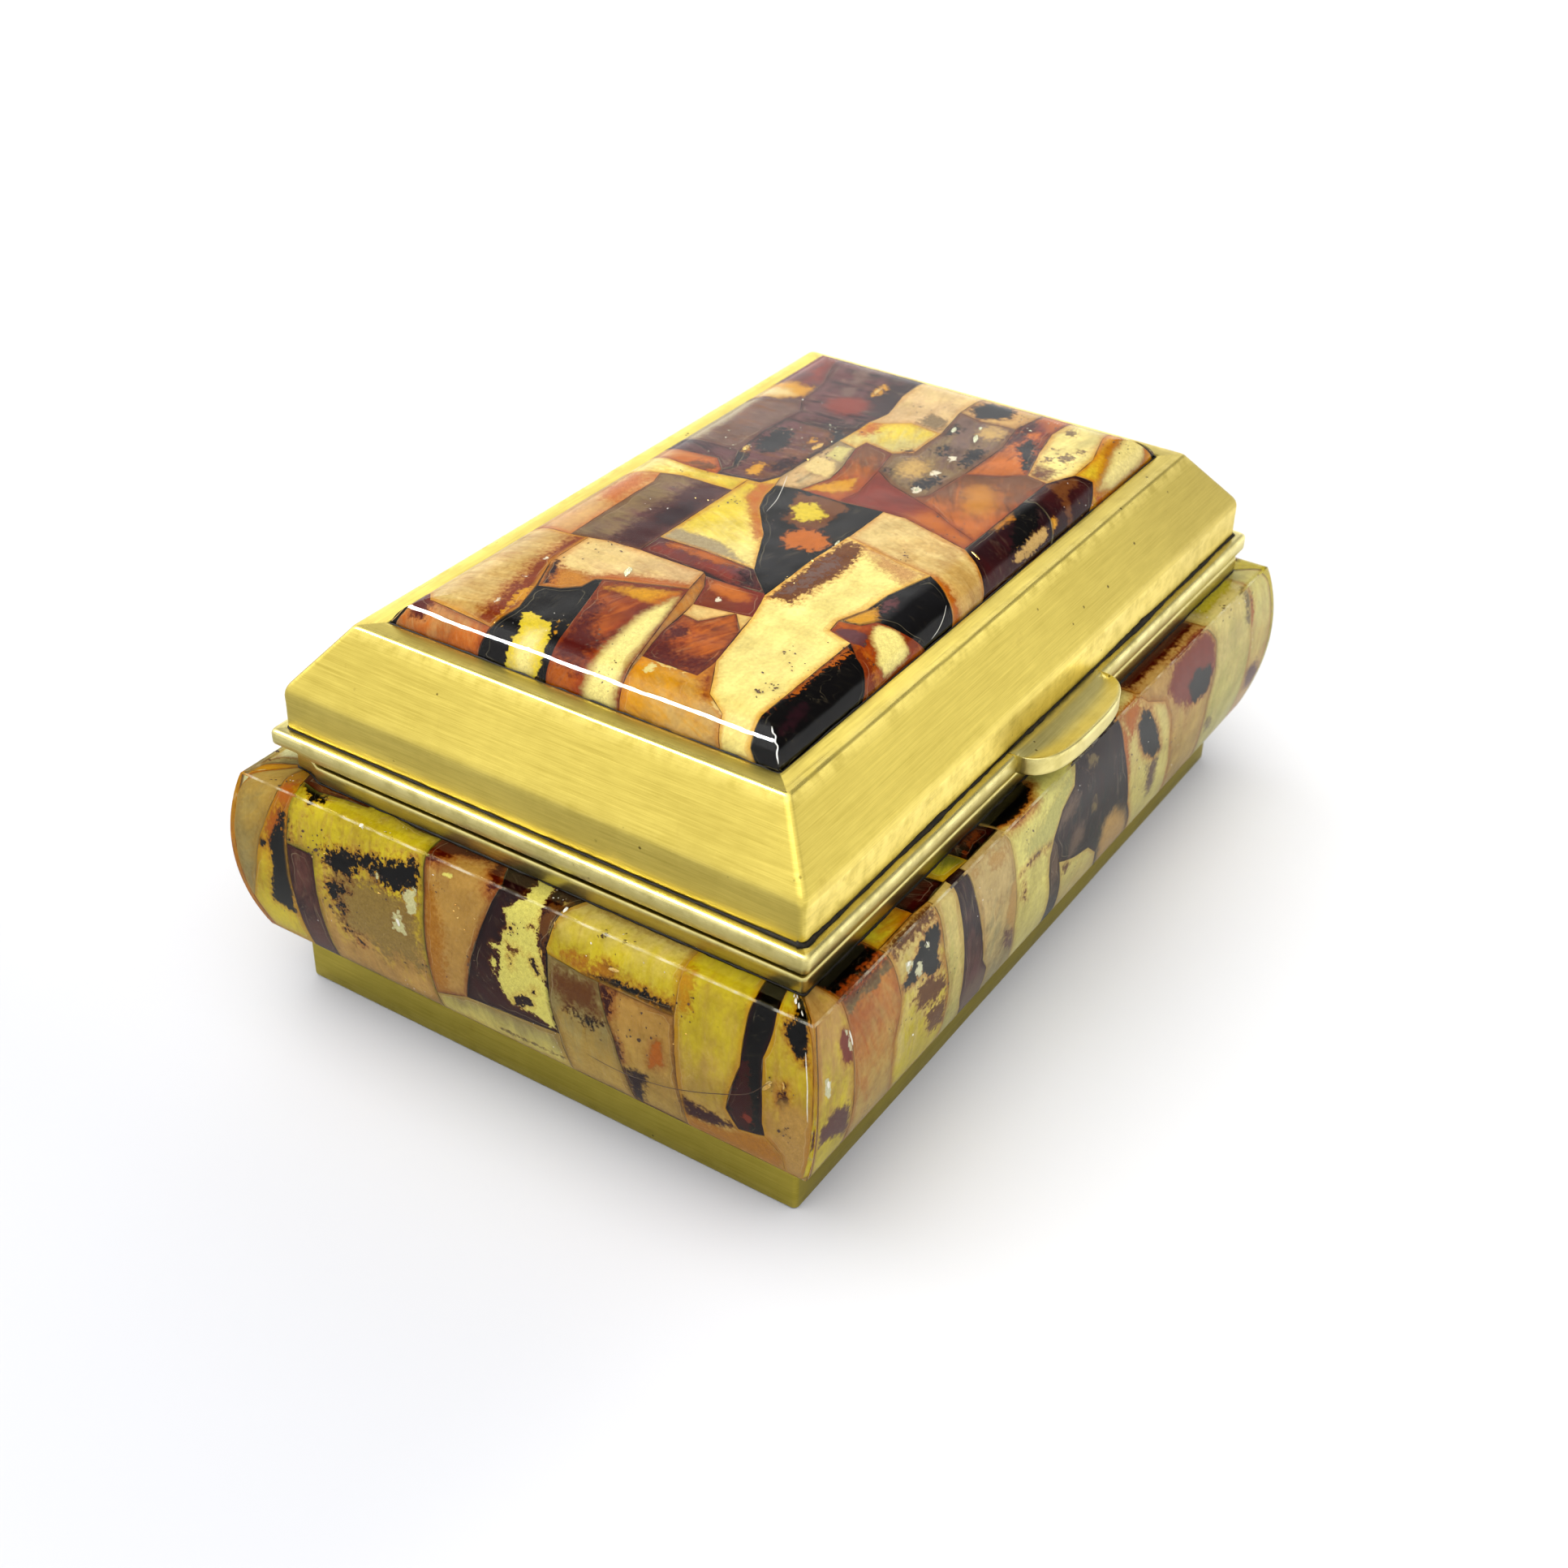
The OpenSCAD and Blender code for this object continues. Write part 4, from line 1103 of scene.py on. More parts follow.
def lay_top_middle(tile):
    """Middle rows of the cushion."""
    tile("dark", "BLACK BLACK BLACK",
         "W,11.3 -34.8,11.2 -31,11.1 -26.8,12.3 -26,10.2 -24.6,8.8 -22.8,8.6 -22.4,8 -30,5.6 "
         "-35.5,3.9 W,3.4",
         ("YEL", .10, .22, .15,
          "W,7.9 -35,8.6 -33.8,8.7 -31.3,10.5 -30.9,9.4 -31.9,6.6 -34,5.3 -36,4.5 W,4.3"),
         ("GOLD", .06, .2, 0, oval(-31.4, 6.3, .55, .14, 30), oval(-32.6, 5.6, .4, .14, 40),
          oval(-31, 5.4, .25, .1, 0)),
         ("BRIGHT", .8, .3, 0, "W,7.2 -36,7.6 -33.5,8 -33,6.6 -36,5.4 W,5.2"), cloud=.1)
    tile("pale", "PINK CREAM HONEY",
         "-26.8,12.2 -22.3,14.2 -16.5,14.2 -15.9,12 -15.7,8.6 -15.8,1 -19.2,.3 -20.8,4.2 "
         "-22.4,8 -22.8,8.6 -24.6,8.8 -26,10.2",
         ("HONEY", .7, .3, .3, "-26.8,12.3 -23.6,13.6 -22.6,10.6 -22.9,8.7 -24.6,8.8 -26,10.2"),
         ("AMBER", .45, .2, .4,
          "-22.9,8.7 -21.6,8.2 -20,5 -18.6,.9 -19.2,.3 -20.9,4.2 -22.5,8"),
         ("PLUM", .4, .4, .4, "-26.8,12.2 -22,14.1 -23,13 -25.6,11.6"), angle=80, cloud=.35)
    tile("honey", "AMBER COGNAC COGNAC",
         "W,3.4 -35.5,3.9 -30,5.6 -22.4,8 -20.8,4.2 -19.2,.3 -24,-.9 -30,-2.5 -36,-4.2 W,-4.8",
         ("RED", 1.1, .6, 0,
          "-35.6,4 -30,5.5 -25.4,7 -26.6,4.6 -29.6,3.4 -31.6,1 -36.2,.4"),
         ("GOLD", .5, .25, .2, "-23.6,6.8 -22,5 -20.2,.6 -21.6,-.2 -24,0 -23.4,3"),
         ("BRIGHT", .75, .15, .9,
          "W,-.9 -35,-.4 -30,.6 -25,1.1 -21.4,.3 -23.6,-.6 -30,-2.2 -36,-3.7 W,-4.2"),
         angle=-15, cloud=.6, speck=.5)
    tile("honey", "TAN HONEY BROWN",
         "-30,-2.5 -24,-.9 -19.2,.3 -15.8,1 -16.2,.5 -18,-.6 -21.4,-1.7 -27,-2.2 -31.5,-3.3 "
         "-36,-4.2", ragged=.1)
    tile("dark", "BRICK MAUVE WINE",
         "-15.7,8.6 -12.4,8.6 -12.2,3 -12.6,-2.6 -15.8,-5.9 -16.2,-2 -15.6,1",
         ("AMBER", .5, .3, .3, "-13.4,7 -12.3,7.4 -12.2,1 -12.8,-2 -13.6,1"),
         ("PLUM", .8, .4, 0, "-15.8,-5.9 -16.1,-3 -14,-1.6 -12.8,-2.4"), angle=0)
    tile("pale", "BRIGHT YEL HONEY",
         "-12.4,8.6 0,8.6 3,8.6 3.2,7.2 5.5,6.2 3.5,5.6 1,5.2 -1.5,4.2 -6,.7 -12.6,-2.6 "
         "-12.2,3",
         ("GREY", .35, .1, 0, "-12.3,8.4 -9.9,8.4 -10,3 -12.2,-1.6"),
         ("ORANGE", .6, .2, .3,
          "-6,.8 -1.5,4.3 1,5.3 3.4,5.9 2.8,7.2 -.4,6.4 -3.4,3.9 -7.4,.6"), angle=65, cloud=.3)
    tile("dark", "BLACK SLATE BLACK",
         "-15.8,-5.9 -12.6,-2.6 -6,.7 -1.5,4.2 1,5.2 3.5,5.6 4.2,3 4.2,-1.6 4.8,-6.5 -1,-6.4 "
         "-8,-6.1",
         ("BROWN", .25, .3, .2,
          "-2.4,.8 1,2 3.6,3 4.2,-1.6 3.4,-3.1 0,-3.2 -2.6,-3.8 -3,-1.4"),
         ("ORANGE", .3, .55, .5,
          "-6.9,-2.6 -5.6,-1.4 -4.2,-1.1 -2.9,-2.0 -2.5,-3.6 -2.9,-5.0 -4.4,-6.0 -5.6,-5.6 "
          "-6.3,-4.7 -6.2,-3.7"),
         ("YEL", .35, .6, .3,
          "-1.9,.2 .2,1.5 1.7,1.2 2.4,-.1 1.3,-1.3 .9,-2.3 -.5,-2.2 -1.6,-1.3"), cloud=.3)
    tile("dark", "BROWN MAUVE SLATE",
         "3,8.6 2.2,12 3.4,12.2 4.6,11.6 8,13.2 14,13.8 17.8,13.4 18,8 19.5,5.6 12,6 5.5,6.2 "
         "3.2,7.2",
         ("SLATE", .5, .6, .1, oval(12.4, 11.4, 3.4, 1.7, 8), oval(6.2, 12.2, 2, .9, 10),
          oval(17, 6.6, 1.8, .7, 30)),
         ("GOLD", .3, .5, .4, oval(8.9, 12.9, 1, .4, 15), oval(5.6, 9.3, 1.5, .8, 10),
          oval(14.6, 8, .8, .4, 20)),
         ("PLUM", .4, .5, .1, oval(8, 7.5, 2, .8, 0)), speck=.9, cloud=.8, ragged=.4)
    tile("dark", "PLUM MAUVE WINE",
         "17.8,13.4 20,13.2 22.5,14.6 28,15.2 33,17 E,17.5 E,6.3 30,6.1 25,5 22,5.6 19.5,5.6 "
         "18,8",
         ("BRICK", .9, .4, 0, oval(24.3, 9.8, 2.4, 2.4, 0)),
         ("DUSK", .5, .4, 0, oval(27.3, 11.6, 1.5, .8, 10), oval(33, 13, 3.5, .8, 15)),
         ("GOLD", .25, .35, .4, oval(29.8, 9, 2, .5, 6)), cloud=.8, speck=.4)
    tile("pale", "GREY PINK SMOKE", "3.5,5.6 5.5,6.2 12,6 16.2,5.8 15.6,3.4 11,2.2 8,1.8 4.2,3",
         ("CREAM", .25, .2, 0, "7.9,2.2 8.2,5.8 11.8,5.8 11.4,3.4 9.6,2.2"),
         ("GREEN", .3, .2, 0, "12.2,5 14.6,5.3 15.4,3.6 12,2.8"), cloud=.8)
    tile("honey", "AMBER BROWN BRICK",
         "4.2,3 8,1.8 11,2.2 15.6,3.4 17.5,3.2 16.8,-.4 12.5,-1.3 7,-2.2 4.2,-1.6",
         ("GOLD", .4, .3, .4, "4.4,2.6 6,2.1 9.8,-.5 7,-1.5 5.4,-.2"), angle=30)
    tile("pale", "GREEN YEL HONEY",
         "16.2,5.8 19.5,5.6 22,5.6 22.8,4 24.5,1.8 24,-2.2 18.2,-2.2 16.8,-.4 17.5,3.2 "
         "15.6,3.4",
         ("ORANGE", .7, .3, 0, "19.4,5.6 22,5.6 22.6,4.2 20.6,3.6 18.6,4.4"),
         ("SLATE", .2, .5, .2, oval(17.7, -1.6, .9, .5, 0)), angle=20, cloud=.5)
    tile("pale", "PINK CREAM TAN",
         "22,5.6 25,5 30,6.1 E,6.3 E,-1.5 34,-1.4 30,-1.2 24,-2.2 24.5,1.8 22.8,4",
         ("SMOKE", .6, .5, 0, "24.4,1.4 27.6,1 27.4,-1.8 24.2,-2.1"), angle=10, cloud=.4)
    tile("honey", "PEACH TAN BROWN",
         "30,-1.2 34,-1.4 E,-1.5 E,-9.3 33,-8.8 29.8,-8.2 29.3,-4",
         ("SLATE", .45, .5, .2, oval(32.2, -4, 2.2, 2.5, 20)))


def lay_top_third(tile):
    """Third row of the cushion."""
    tile("honey", "TAN GOLD HONEY",
         "W,-4.8 -36,-4.2 -31.5,-3.3 -31.4,-9.2 -28.5,-9.2 -33.2,-11.8 -34.8,-14.2 W,-15.5",
         ("PALE", .15, .3, 0, oval(-32.8, -5, .9, .5, 20), oval(-34.2, -13.4, .5, 1.1, -30)),
         ("BRIGHT", .08, .35, 0, strip("-31.4,-4 -31.5,-6.5 -31.6,-8.8", .35)),
         ("COGNAC", .2, .3, .5, strip("-28.6,-9.4 -31,-10.3 -33.4,-11.8", .55)),
         angle=60, cloud=.5)
    tile("honey", "COGNAC AMBER RED",
         "-31.5,-3.3 -27,-2.2 -23.4,-2 -23.6,-3.8 -20.5,-5.9 -22.8,-7.9 -28.5,-9.2 -31.4,-9.2",
         ("RED", 1.0, .6, 0, "-31.5,-3.4 -27.4,-2.3 -28.2,-4.2 -29.6,-6.6 -28,-9 -31.3,-9.1"),
         ("RED", .25, .4, .3, oval(-26.4, -3.6, 1.5, 1, -10)),
         ("ORANGE", .2, .3, 0, "-27.6,-3.6 -26.2,-4.4 -24.4,-3.6 -26,-4.9"),
         angle=-20, speck=.5, cloud=.7)
    tile("pale", "PALE CREAM HONEY",
         "-23.4,-2 -21.4,-1.7 -20.2,-7.5 -22.8,-7.9 -20.5,-5.9 -23.6,-3.8", ragged=.1)
    tile("honey", "BRICK COGNAC BRICK",
         "-21.4,-1.7 -18,-.6 -16.2,.5 -16.2,-2 -15.8,-5.9 -16.2,-6.2 -20.2,-7.5",
         ("ORANGE", .5, .2, .2, oval(-17.4, -3, 1.1, 2.7, -12)),
         ("WHITE", .1, .2, 0, oval(-19.2, -3, .4, .2, 20)), cloud=.3)
    tile("pale", "BRIGHT BRIGHT GOLD",
         "-33.2,-11.8 -28.5,-9.2 -20.2,-7.5 -16.2,-6.2 -8,-6.1 -1.9,-6.5 -2.4,-9 -3.4,-13 "
         "-4,-17 -9.5,-15.6 -13,-15.4 -16.2,-14.3 -18.2,-14.6 -19,-17.3 -33.5,-17.4 -37,-18.2 "
         "W,-19.4 W,-15.5 -34.8,-14.2",
         ("BROWN", .25, .5, .35,
          "-16.2,-6.5 -4.5,-6.6 -2.6,-7 -2.9,-8.4 -5,-9.4 -9,-9.7 -12,-9.5 -16.2,-9.2"),
         ("DUSK", .3, .7, .2, "-15.6,-7 -5.6,-7.2 -7,-8.6 -14.6,-8.6"),
         ("PEACH", .8, .3, 0, "-3.2,-9.6 -2.5,-9.2 -3.5,-13 -4.1,-16.8 -7,-16 -5.6,-12"),
         angle=5, cloud=.25, speck=.25)
    tile("pale", "TAN CREAM HONEY",
         "-1.9,-6.5 4.8,-6.5 4.9,-9 3.8,-13 2.6,-17 .2,-20.5 -1.6,S -7.5,S -5.8,-20 -4,-17 "
         "-3.4,-13 -2.4,-9",
         ("AMBER", .3, .2, .3, "-6.6,S -4.6,-19.4 -4,-17.2 -5.2,-18.4 -7.3,S"),
         ("YEL", .12, .3, .2, strip("2.9,-17.3 1.6,-19.2 .1,-21", .5)), angle=75, cloud=.5)
    tile("honey", "BRICK BRICK COGNAC",
         "4.2,-1.6 7,-2.2 12.5,-1.3 10.5,-4 9.2,-7.4 8,-10.5 6.2,-13.6 4.6,-17 2.6,-17 3.8,-13 "
         "4.9,-9 4.8,-6.5",
         ("ORANGE", 1.6, .4, 0, "4.9,-9 8,-10.4 6.2,-13.6 4.6,-16.8 2.8,-16.8 3.9,-13"),
         angle=80, speck=.3)
    tile("pale", "SMOKE DUSK BROWN",
         "12.5,-1.3 16.8,-.4 18.2,-2.2 24,-2.2 30,-1.2 29.3,-4 29.8,-8.2 25,-9.2 17,-9 "
         "10.5,-8.4 9.2,-7.4 10.5,-4",
         ("SLATE", .45, .9, .1, oval(13, -7, 2.2, 1.2, -10), oval(20.6, -7.9, 2.6, 1, 5),
          oval(20.5, -4.6, 1.2, .8, 0), oval(12.8, -1.9, .9, .9, 0),
          oval(25.6, -2, 1.8, 1.6, 20)),
         ("WHITE", .15, .35, 0, oval(10.9, -6.9, .6, .35, 30), oval(19.4, -6.3, .6, .4, 0),
          oval(15.4, -6.4, .7, .4, 0)),
         ("TAN", .9, .7, 0, oval(15, -4, 2.4, 1.4, 10), oval(27.6, -6.6, 1.8, 1.2, 0)),
         speck=.8, cloud=.9, ragged=.4)
    tile("honey", "ORANGE BROWN COGNAC",
         "9.2,-7.4 10.5,-8.4 17,-9 18.5,-12 20.5,-14.5 20,-17 4.6,-17 6.2,-13.6 8,-10.5",
         ("HONEY", 1.2, .4, 0, oval(12.5, -13.2, 3.4, 1.7, 25)), angle=30, speck=.3)
    tile("honey", "BRICK ORANGE WINE",
         "17,-9 25,-9.2 29.8,-8.2 33,-8.8 E,-9.3 E,-13 35,-12.4 31,-12 26,-13 20.5,-14.5 "
         "18.5,-12",
         ("SLATE", .35, .6, .2, "20.7,-14 23,-12.6 26,-10.5 28.4,-10.6 27.4,-12 24,-13.6"),
         ("WINE", .6, .5, 0, "24,-9.4 29.8,-8.4 33,-9 31,-10.4 27,-9.8"),
         ("AMBER", .8, .3, 0, "31,-11.8 33.5,-9.4 E,-9.6 E,-12.8 35,-12.3"), cloud=.6)
    tile("pale", "BRIGHT GREEN HONEY",
         "20.5,-14.5 26,-13 31,-12 35,-12.4 E,-13 E,-16.5 33,-17 28,-18.3 23.5,-18.4 20,-17",
         ("SMOKE", .25, .6, .1, oval(26.6, -16, 1.2, .7, 10), oval(25, -14.6, .6, .5, 0),
          oval(27.9, -14.2, .4, .5, 0), oval(28.4, -16.6, .5, .3, 0),
          oval(32.6, -13.6, .9, .5, 0)),
         ("BROWN", .9, .4, 0, "20.4,-14.6 23.4,-13.8 23,-16.6 20.2,-16.8"),
         angle=-10, speck=.5)


def lay_top_front(tile):
    """Front row of the cushion, over the rounded edge."""
    tile("dark", "BLACK BLACK BLACK",
         "W,-19.4 -37,-18.2 -33.5,-17.4 -19,-17.3 -20.5,-18.8 -21.2,-20.2 -23.8,S W,S",
         ("AMBER", .12, .45, .2, "-33.6,-17.3 -19.2,-17.2 -20.2,-18.3 -24,-17.8 -33,-17.6"),
         ("PLUM", .5, .3, 0, oval(-32, -19.6, 2.6, .5, 8)), cloud=.1)
    tile("honey", "HONEY AMBER COGNAC",
         "-19,-17.3 -18.2,-14.6 -16.2,-14.3 -15.8,-16.4 -14.4,-17.3 -13.8,-20 -12.2,S -23.8,S "
         "-21.2,-20.2 -20.5,-18.8",
         ("BRIGHT", .45, .2, .8,
          "-17,-18.3 -15,-17.5 -14.2,-19.2 -14.6,-21.6 -16.6,-22.4 -19.3,-22.2 -19.2,-20.6"),
         ("MAUVE", .15, .1, .3,
          "-18.2,-14.9 -17.2,-15.1 -16.6,-16.4 -17,-17.8 -18.6,-18.5 -19,-17.2"),
         ("COGNAC", .25, .3, .2,
          "-20.6,-18.9 -19.4,-18.2 -20,-20.4 -21.4,-22.6 -23.6,S -21.4,-20.4",
          oval(-13.6, -21.2, .9, .8)), angle=40)
    tile("dark", "BLACK SLATE BLACK",
         "-16.2,-14.3 -13,-15.4 -9.5,-15.6 -4,-17 -5.8,-20 -7.5,S -12.2,S -13.8,-20 "
         "-14.4,-17.3 -15.8,-16.4",
         ("GOLD", .35, .3, .4,
          "-16.2,-14.3 -13,-15.2 -11.6,-15.9 -13.8,-17 -14.5,-17.2 -15.9,-16.3"),
         ("MAUVE", .4, .5, 0, oval(-11, -16.6, 1.8, .5, 5)), cloud=.15)
    tile("dark", "WINE PLUM BLACK",
         "2.6,-17 4.6,-17 14.8,-17 15.5,-18 14.5,-20.5 12.5,S -1.6,S .2,-20.5",
         ("BLACK", .3, .3, 0,
          "5.5,-20.8 9.5,-18.6 12.2,-17 15,-17 15.4,-18 12.5,-20.2 9,-21.2"),
         ("TAN", .25, .3, .3, "5.4,-21.7 7,-20.9 11.6,-20.5 13.6,-20.8 12.4,-21.9 8,-22.4"),
         ("HONEY", .4, .3, .2, "7,-16.9 12,-17 11,-18 7.6,-17.5"), cloud=.3, speck=.3)
    tile("dark", "PLUM WINE BLACK",
         "14.8,-17 20,-17 23.5,-18.4 24.5,-20.2 20.8,S 12.5,S 14.5,-20.5 15.5,-18",
         ("BROWN", .3, .3, .2,
          "19.4,-17.2 23.3,-18.5 22.4,-19.4 19.6,-19.6 17.4,-22.6 16.6,-22.4 18.6,-19"),
         ("GOLD", .2, .3, .4, oval(14.2, -21, 1.3, .7, 10)), cloud=.3)
    tile("honey", "YEL GOLD AMBER", "23.5,-18.4 28,-18.3 33,-17 E,-16.5 E,S 20.8,S 24.5,-20.2",
         ("PALE", .6, .15, .7,
          "24.4,-21.4 27,-20.4 32,-19 36,-18.6 37,-20.6 34,-22.2 27,-22.4"),
         ("AMBER", .6, .2, 0, "20.8,S 23.6,-21.6 26,-22.6 30,S"), angle=20, cloud=.3)


def lay_top(tile):
    lay_top_back(tile)
    lay_top_middle(tile)
    lay_top_third(tile)
    lay_top_front(tile)


def lay_left(tile):
    tile("pale", "GREY TAN TAN",
         "W,11.2 -32.6,12.8 -31.2,16 -30.2,20 -28.4,24.6 -28.2,26 -29.6,28 -30.6,N W,N",
         cloud=.3)
    tile("honey", "YEL GOLD GOLD",
         "W,11.2 W,S -26.1,S -26.2,14 -26.4,20 -26.2,24.2 -26,26 -27.2,N -30.6,N -29.6,28 "
         "-28.2,26 -28.4,24.6 -30.2,20 -31.2,16 -32.6,12.8",
         ("SLATE", .12, .35, .3,
          "-26.6,24.2 -27.8,23.4 -28.4,21.6 -28.8,20 -28.5,17 -29.2,14.4 -30.1,11.9 "
          "-26.6,11.5 -26.2,15 -26.3,20"),
         ("SLATE", .15, .3, .3, oval(-29.9, 19.3, .85, .5, 15)),
         ("ORANGE", .3, .5, .2, "-27.8,23.6 -29,22 -28.8,20.4 -28,21.6 -27.2,23.4",
          "-26,24.6 -28,24.6 -28.4,26 -26.6,27.5"), angle=80, cloud=.3)
    tile("dark", "PLUM MAUVE WINE",
         "-26.1,S -22.8,S -22.9,14 -23,20.5 -26.3,20.5 -26.2,14",
         ("MAUVE", 2.0, .5, 0, "-26.2,7 -22.9,7 -22.9,12 -26.2,11"),
         angle=90, cloud=.6, speck=.2)
    tile("honey", "GOLD COGNAC RED", "-27.2,N -26.5,27.9 -24.2,27.4 -21.4,27.9 -18.6,28.2 -18.2,N",
         ("RED", .3, .9, .6, oval(-25.4, 28.4, .9, .35, 0), oval(-22.6, 28.4, .8, .3, 5),
          oval(-20, 28.9, .6, .25, 0)), cloud=.8, speck=.8, ragged=.6)
    tile("honey", "YEL COGNAC BROWN", "-15.6,N -15.2,28.7 -12.4,28.1 -9.75,28.3 -9.8,N",
         cloud=.8, speck=.8, ragged=.6)
    tile("pale", "PEACH YEL OLIVE",
         "-26.3,20.6 -23,20.5 -22.9,14 -22.8,S -9.4,S -9.3,14 -9.2,22 -9.6,26 -9.75,28.3 "
         "-12.4,28.1 -15.2,28.7 -15.6,N -18.2,N -18.6,28.2 -21.4,27.9 -24.2,27.4 -26.5,27.9 "
         "-26,26 -26.2,24.2",
         ("DUN", .9, 1.0, 0,
          "-20.9,20.4 -9.8,20.8 -9.7,15 -10.6,11.6 -13,13 -15.2,10.4 -17.2,13.4 -19.4,11.4 "
          "-20.6,14"),
         ("BLACK", .12, .75, .35,
          "-21.4,21.8 -19.8,22.6 -16.4,22.9 -12.8,23.7 -10.2,24.3 -9.9,22.2 -10.8,20.9 "
          "-13.4,20.3 -14.8,21.2 -16.4,22 -17.4,20.8 -18.4,19.8 -21.2,20.4",
          oval(-20.6, 17.4, 1.3, .5, 70), oval(-19.6, 15.6, .9, .4, 80),
          oval(-18.9, 18, .5, .3), oval(-19.6, 12.8, .6, .3, 40),
          oval(-18.2, 12, .5, .2, 80), oval(-26.2, 22, .18, 1.6),
          "-26.5,27.6 -23.8,25.8 -22.6,26.4 -25,28.8"),
         ("WHITE", .1, .22, .1, "-13.2,16.2 -13,18 -12,19.2 -11.6,17 -11.4,16",
          "-11.5,21.5 -10.2,21.9 -9.8,19 -10.8,18.8 -11.7,20.2", oval(-14.8, 21.6, .25, .5, 20)),
         angle=92, cloud=.5, speck=.7)
    tile("honey", "PEACH PEACH COGNAC",
         "-9.4,9.3 -5.2,11.1 -3.6,17.5 -1.4,24.2 -1,26 -2.8,N -9.8,N -9.6,26 -9.2,22 -9.3,14",
         ("HONEY", 1.1, .5, 0, "-9.4,9.6 -9.2,22.4 -8.2,22.8 -7,18 -7.4,13 -8,10"),
         ("RED", .3, .3, .6, "-9.7,29.9 -9.6,25.8 -8.4,25.8 -6.6,27.4 -4.4,28.2 -3.4,N",
          "-2.8,N -1.1,26 -2,25 -3.4,28.6"),
         ("BRIGHT", .1, .2, 0, oval(-6.7, 24.8, .5, .18, 5)), angle=75, cloud=.4)
    tile("dark", "WINE PLUM BLACK",
         "-5.2,11.1 6,12.3 5.4,16 5,22 5.8,26 7.4,N -2.8,N -1,26 -1.4,24.2 -3.6,17.5",
         ("BRIGHT", .1, .28, .45,
          "-.2,20.2 -1.2,20 -1.4,19.4 -.3,19 -.5,17 -.3,14.6 .6,13.4 3,13.4 5.8,12.6 5.5,16 "
          "5,19 4.1,22.6 4,25 3.4,28.4 1.6,28.6 1.8,26 .2,24 .4,22.6",
          oval(-.9, 17.6, .3, .7), oval(5.2, 24.4, .35, 1.1, 0), oval(5.6, 26.6, .3, .8)),
         ("PLUM", .07, .22, .2, "3.3,20.4 3.5,19.4 4.4,18.5 4.7,18.6 4,19.4 3.7,20.3",
          "1,13.3 1.2,14.6 2.7,15.7 3.3,14.6 2.4,14.3 1.9,13.6",
          oval(3.5, 16.4, .35, .16, 40), oval(.4, 22.3, .7, .12, 10), oval(1, 18.6, .12, .6)),
         ("BROWN", .2, .5, .2, "4.3,26 4.3,22.6 5,20 5.2,24 6.6,28",
          oval(1.4, 20.3, .8, .2, 20), oval(3.2, 23.4, .4, .2, -20)), cloud=.4)
    tile("pale", "PALE GREY TAN", "-9.4,S 6.2,S 6.1,9 6,12.3 -5.2,11.1 -9.4,9.3",
         ("SMOKE", .2, .2, 0, strip("-3,8.2 2,8.3 6,8.4", .35)), angle=90, cloud=.3)
    tile("pale", "YEL CREAM GOLD", "5.2,21.5 9.2,21 19,21 19.1,26 18.8,N 7.4,N 5.8,26 5,22",
         ("BLACK", .12, .5, .5, "9,21.0 11,22.1 15.2,22.2 19,21.9 19,20.9 9,20.9",
          oval(11.8, 22.7, .7, .18, 10)),
         ("HONEY", .5, .4, 0, "6.4,22.4 9,23 12.4,22.8 12,21.8 8,21.4"),
         ("TAN", .8, .2, 0, "6.6,29.9 18.6,29.9 18.8,28 9,28"), angle=90, cloud=.3)
    tile("honey", "TAN GREY SMOKE",
         "5.2,21.5 9.2,21 10.8,21 11.4,18.6 12.4,15.4 13,11 13.4,S 6.2,S 6.1,9 6,12.3 5.4,16",
         ("BLACK", .35, .8, .1, oval(9.6, 16.2, 1.8, .5, 5), oval(8.2, 16.9, .8, .4, 20)),
         ("BROWN", 1.1, .5, 0, "6,20.6 10.6,20.6 11.2,18.4 11,17 7,16.6 5.6,18"),
         angle=90, cloud=.4, speck=.2)
    tile("honey", "TAN PEACH BROWN",
         "10.8,21 19,21 19.2,14 19.3,S 13.4,S 13,11 12.4,15.4 11.4,18.6",
         ("ORANGE", .12, .15, .3, "16.2,13.5 17.8,14.9 17.5,17.4 16.8,16.8 16.3,15"),
         ("WINE", .15, .35, .4, "10.9,20.9 12.5,20.8 12.3,18.6 11.7,17.3 11.3,18.6",
          "12.3,15.6 12.8,15.2 13.3,13 12.9,12.6"),
         ("PLUM", .5, .4, 0, "13,12 15.6,12.2 15.4,10.6 14.6,8 14.4,S 13.4,S"),
         angle=90, cloud=.3)
    tile("pale", "YEL TAN GOLD",
         "19,21 19.1,26 18.8,N 25.6,N 26.2,26 25.9,19 25,16 24.3,13 25.4,10.7 28.4,11.6 "
         "30.6,9.6 31,S 19.3,S 19.2,14",
         ("WINE", .4, .45, .1, "19.2,11.6 24.6,11.4 25.2,10.7 22,9 19.3,8.6"),
         ("HONEY", .5, .3, 0, "19.3,9 23,9.2 25.6,10.6 28.4,11.4 30.5,9.4 30.8,S 19.4,S"),
         ("GOLD", .3, .5, .2, "19.2,26 20.2,26 20.3,22 19.3,21.5"),
         angle=-90, cloud=.35, speck=.35)
    tile("dark", "BLACK BLACK WINE",
         "26.2,26 25.6,N 28.8,N 29.2,26 29,23.6 28.2,21 28.3,16 28.2,13.2 28.4,11.6 25.4,10.7 "
         "24.3,13 25,16 25.9,19",
         ("WINE", .25, .5, .2,
          "25.8,19.6 26.6,19.8 26.9,16 27.1,13 26.9,11 25.5,10.8 24.5,12.8 25.1,16"),
         ("BRICK", .15, .4, .1, oval(26.6, 13, .5, .7, 20)), cloud=.2)
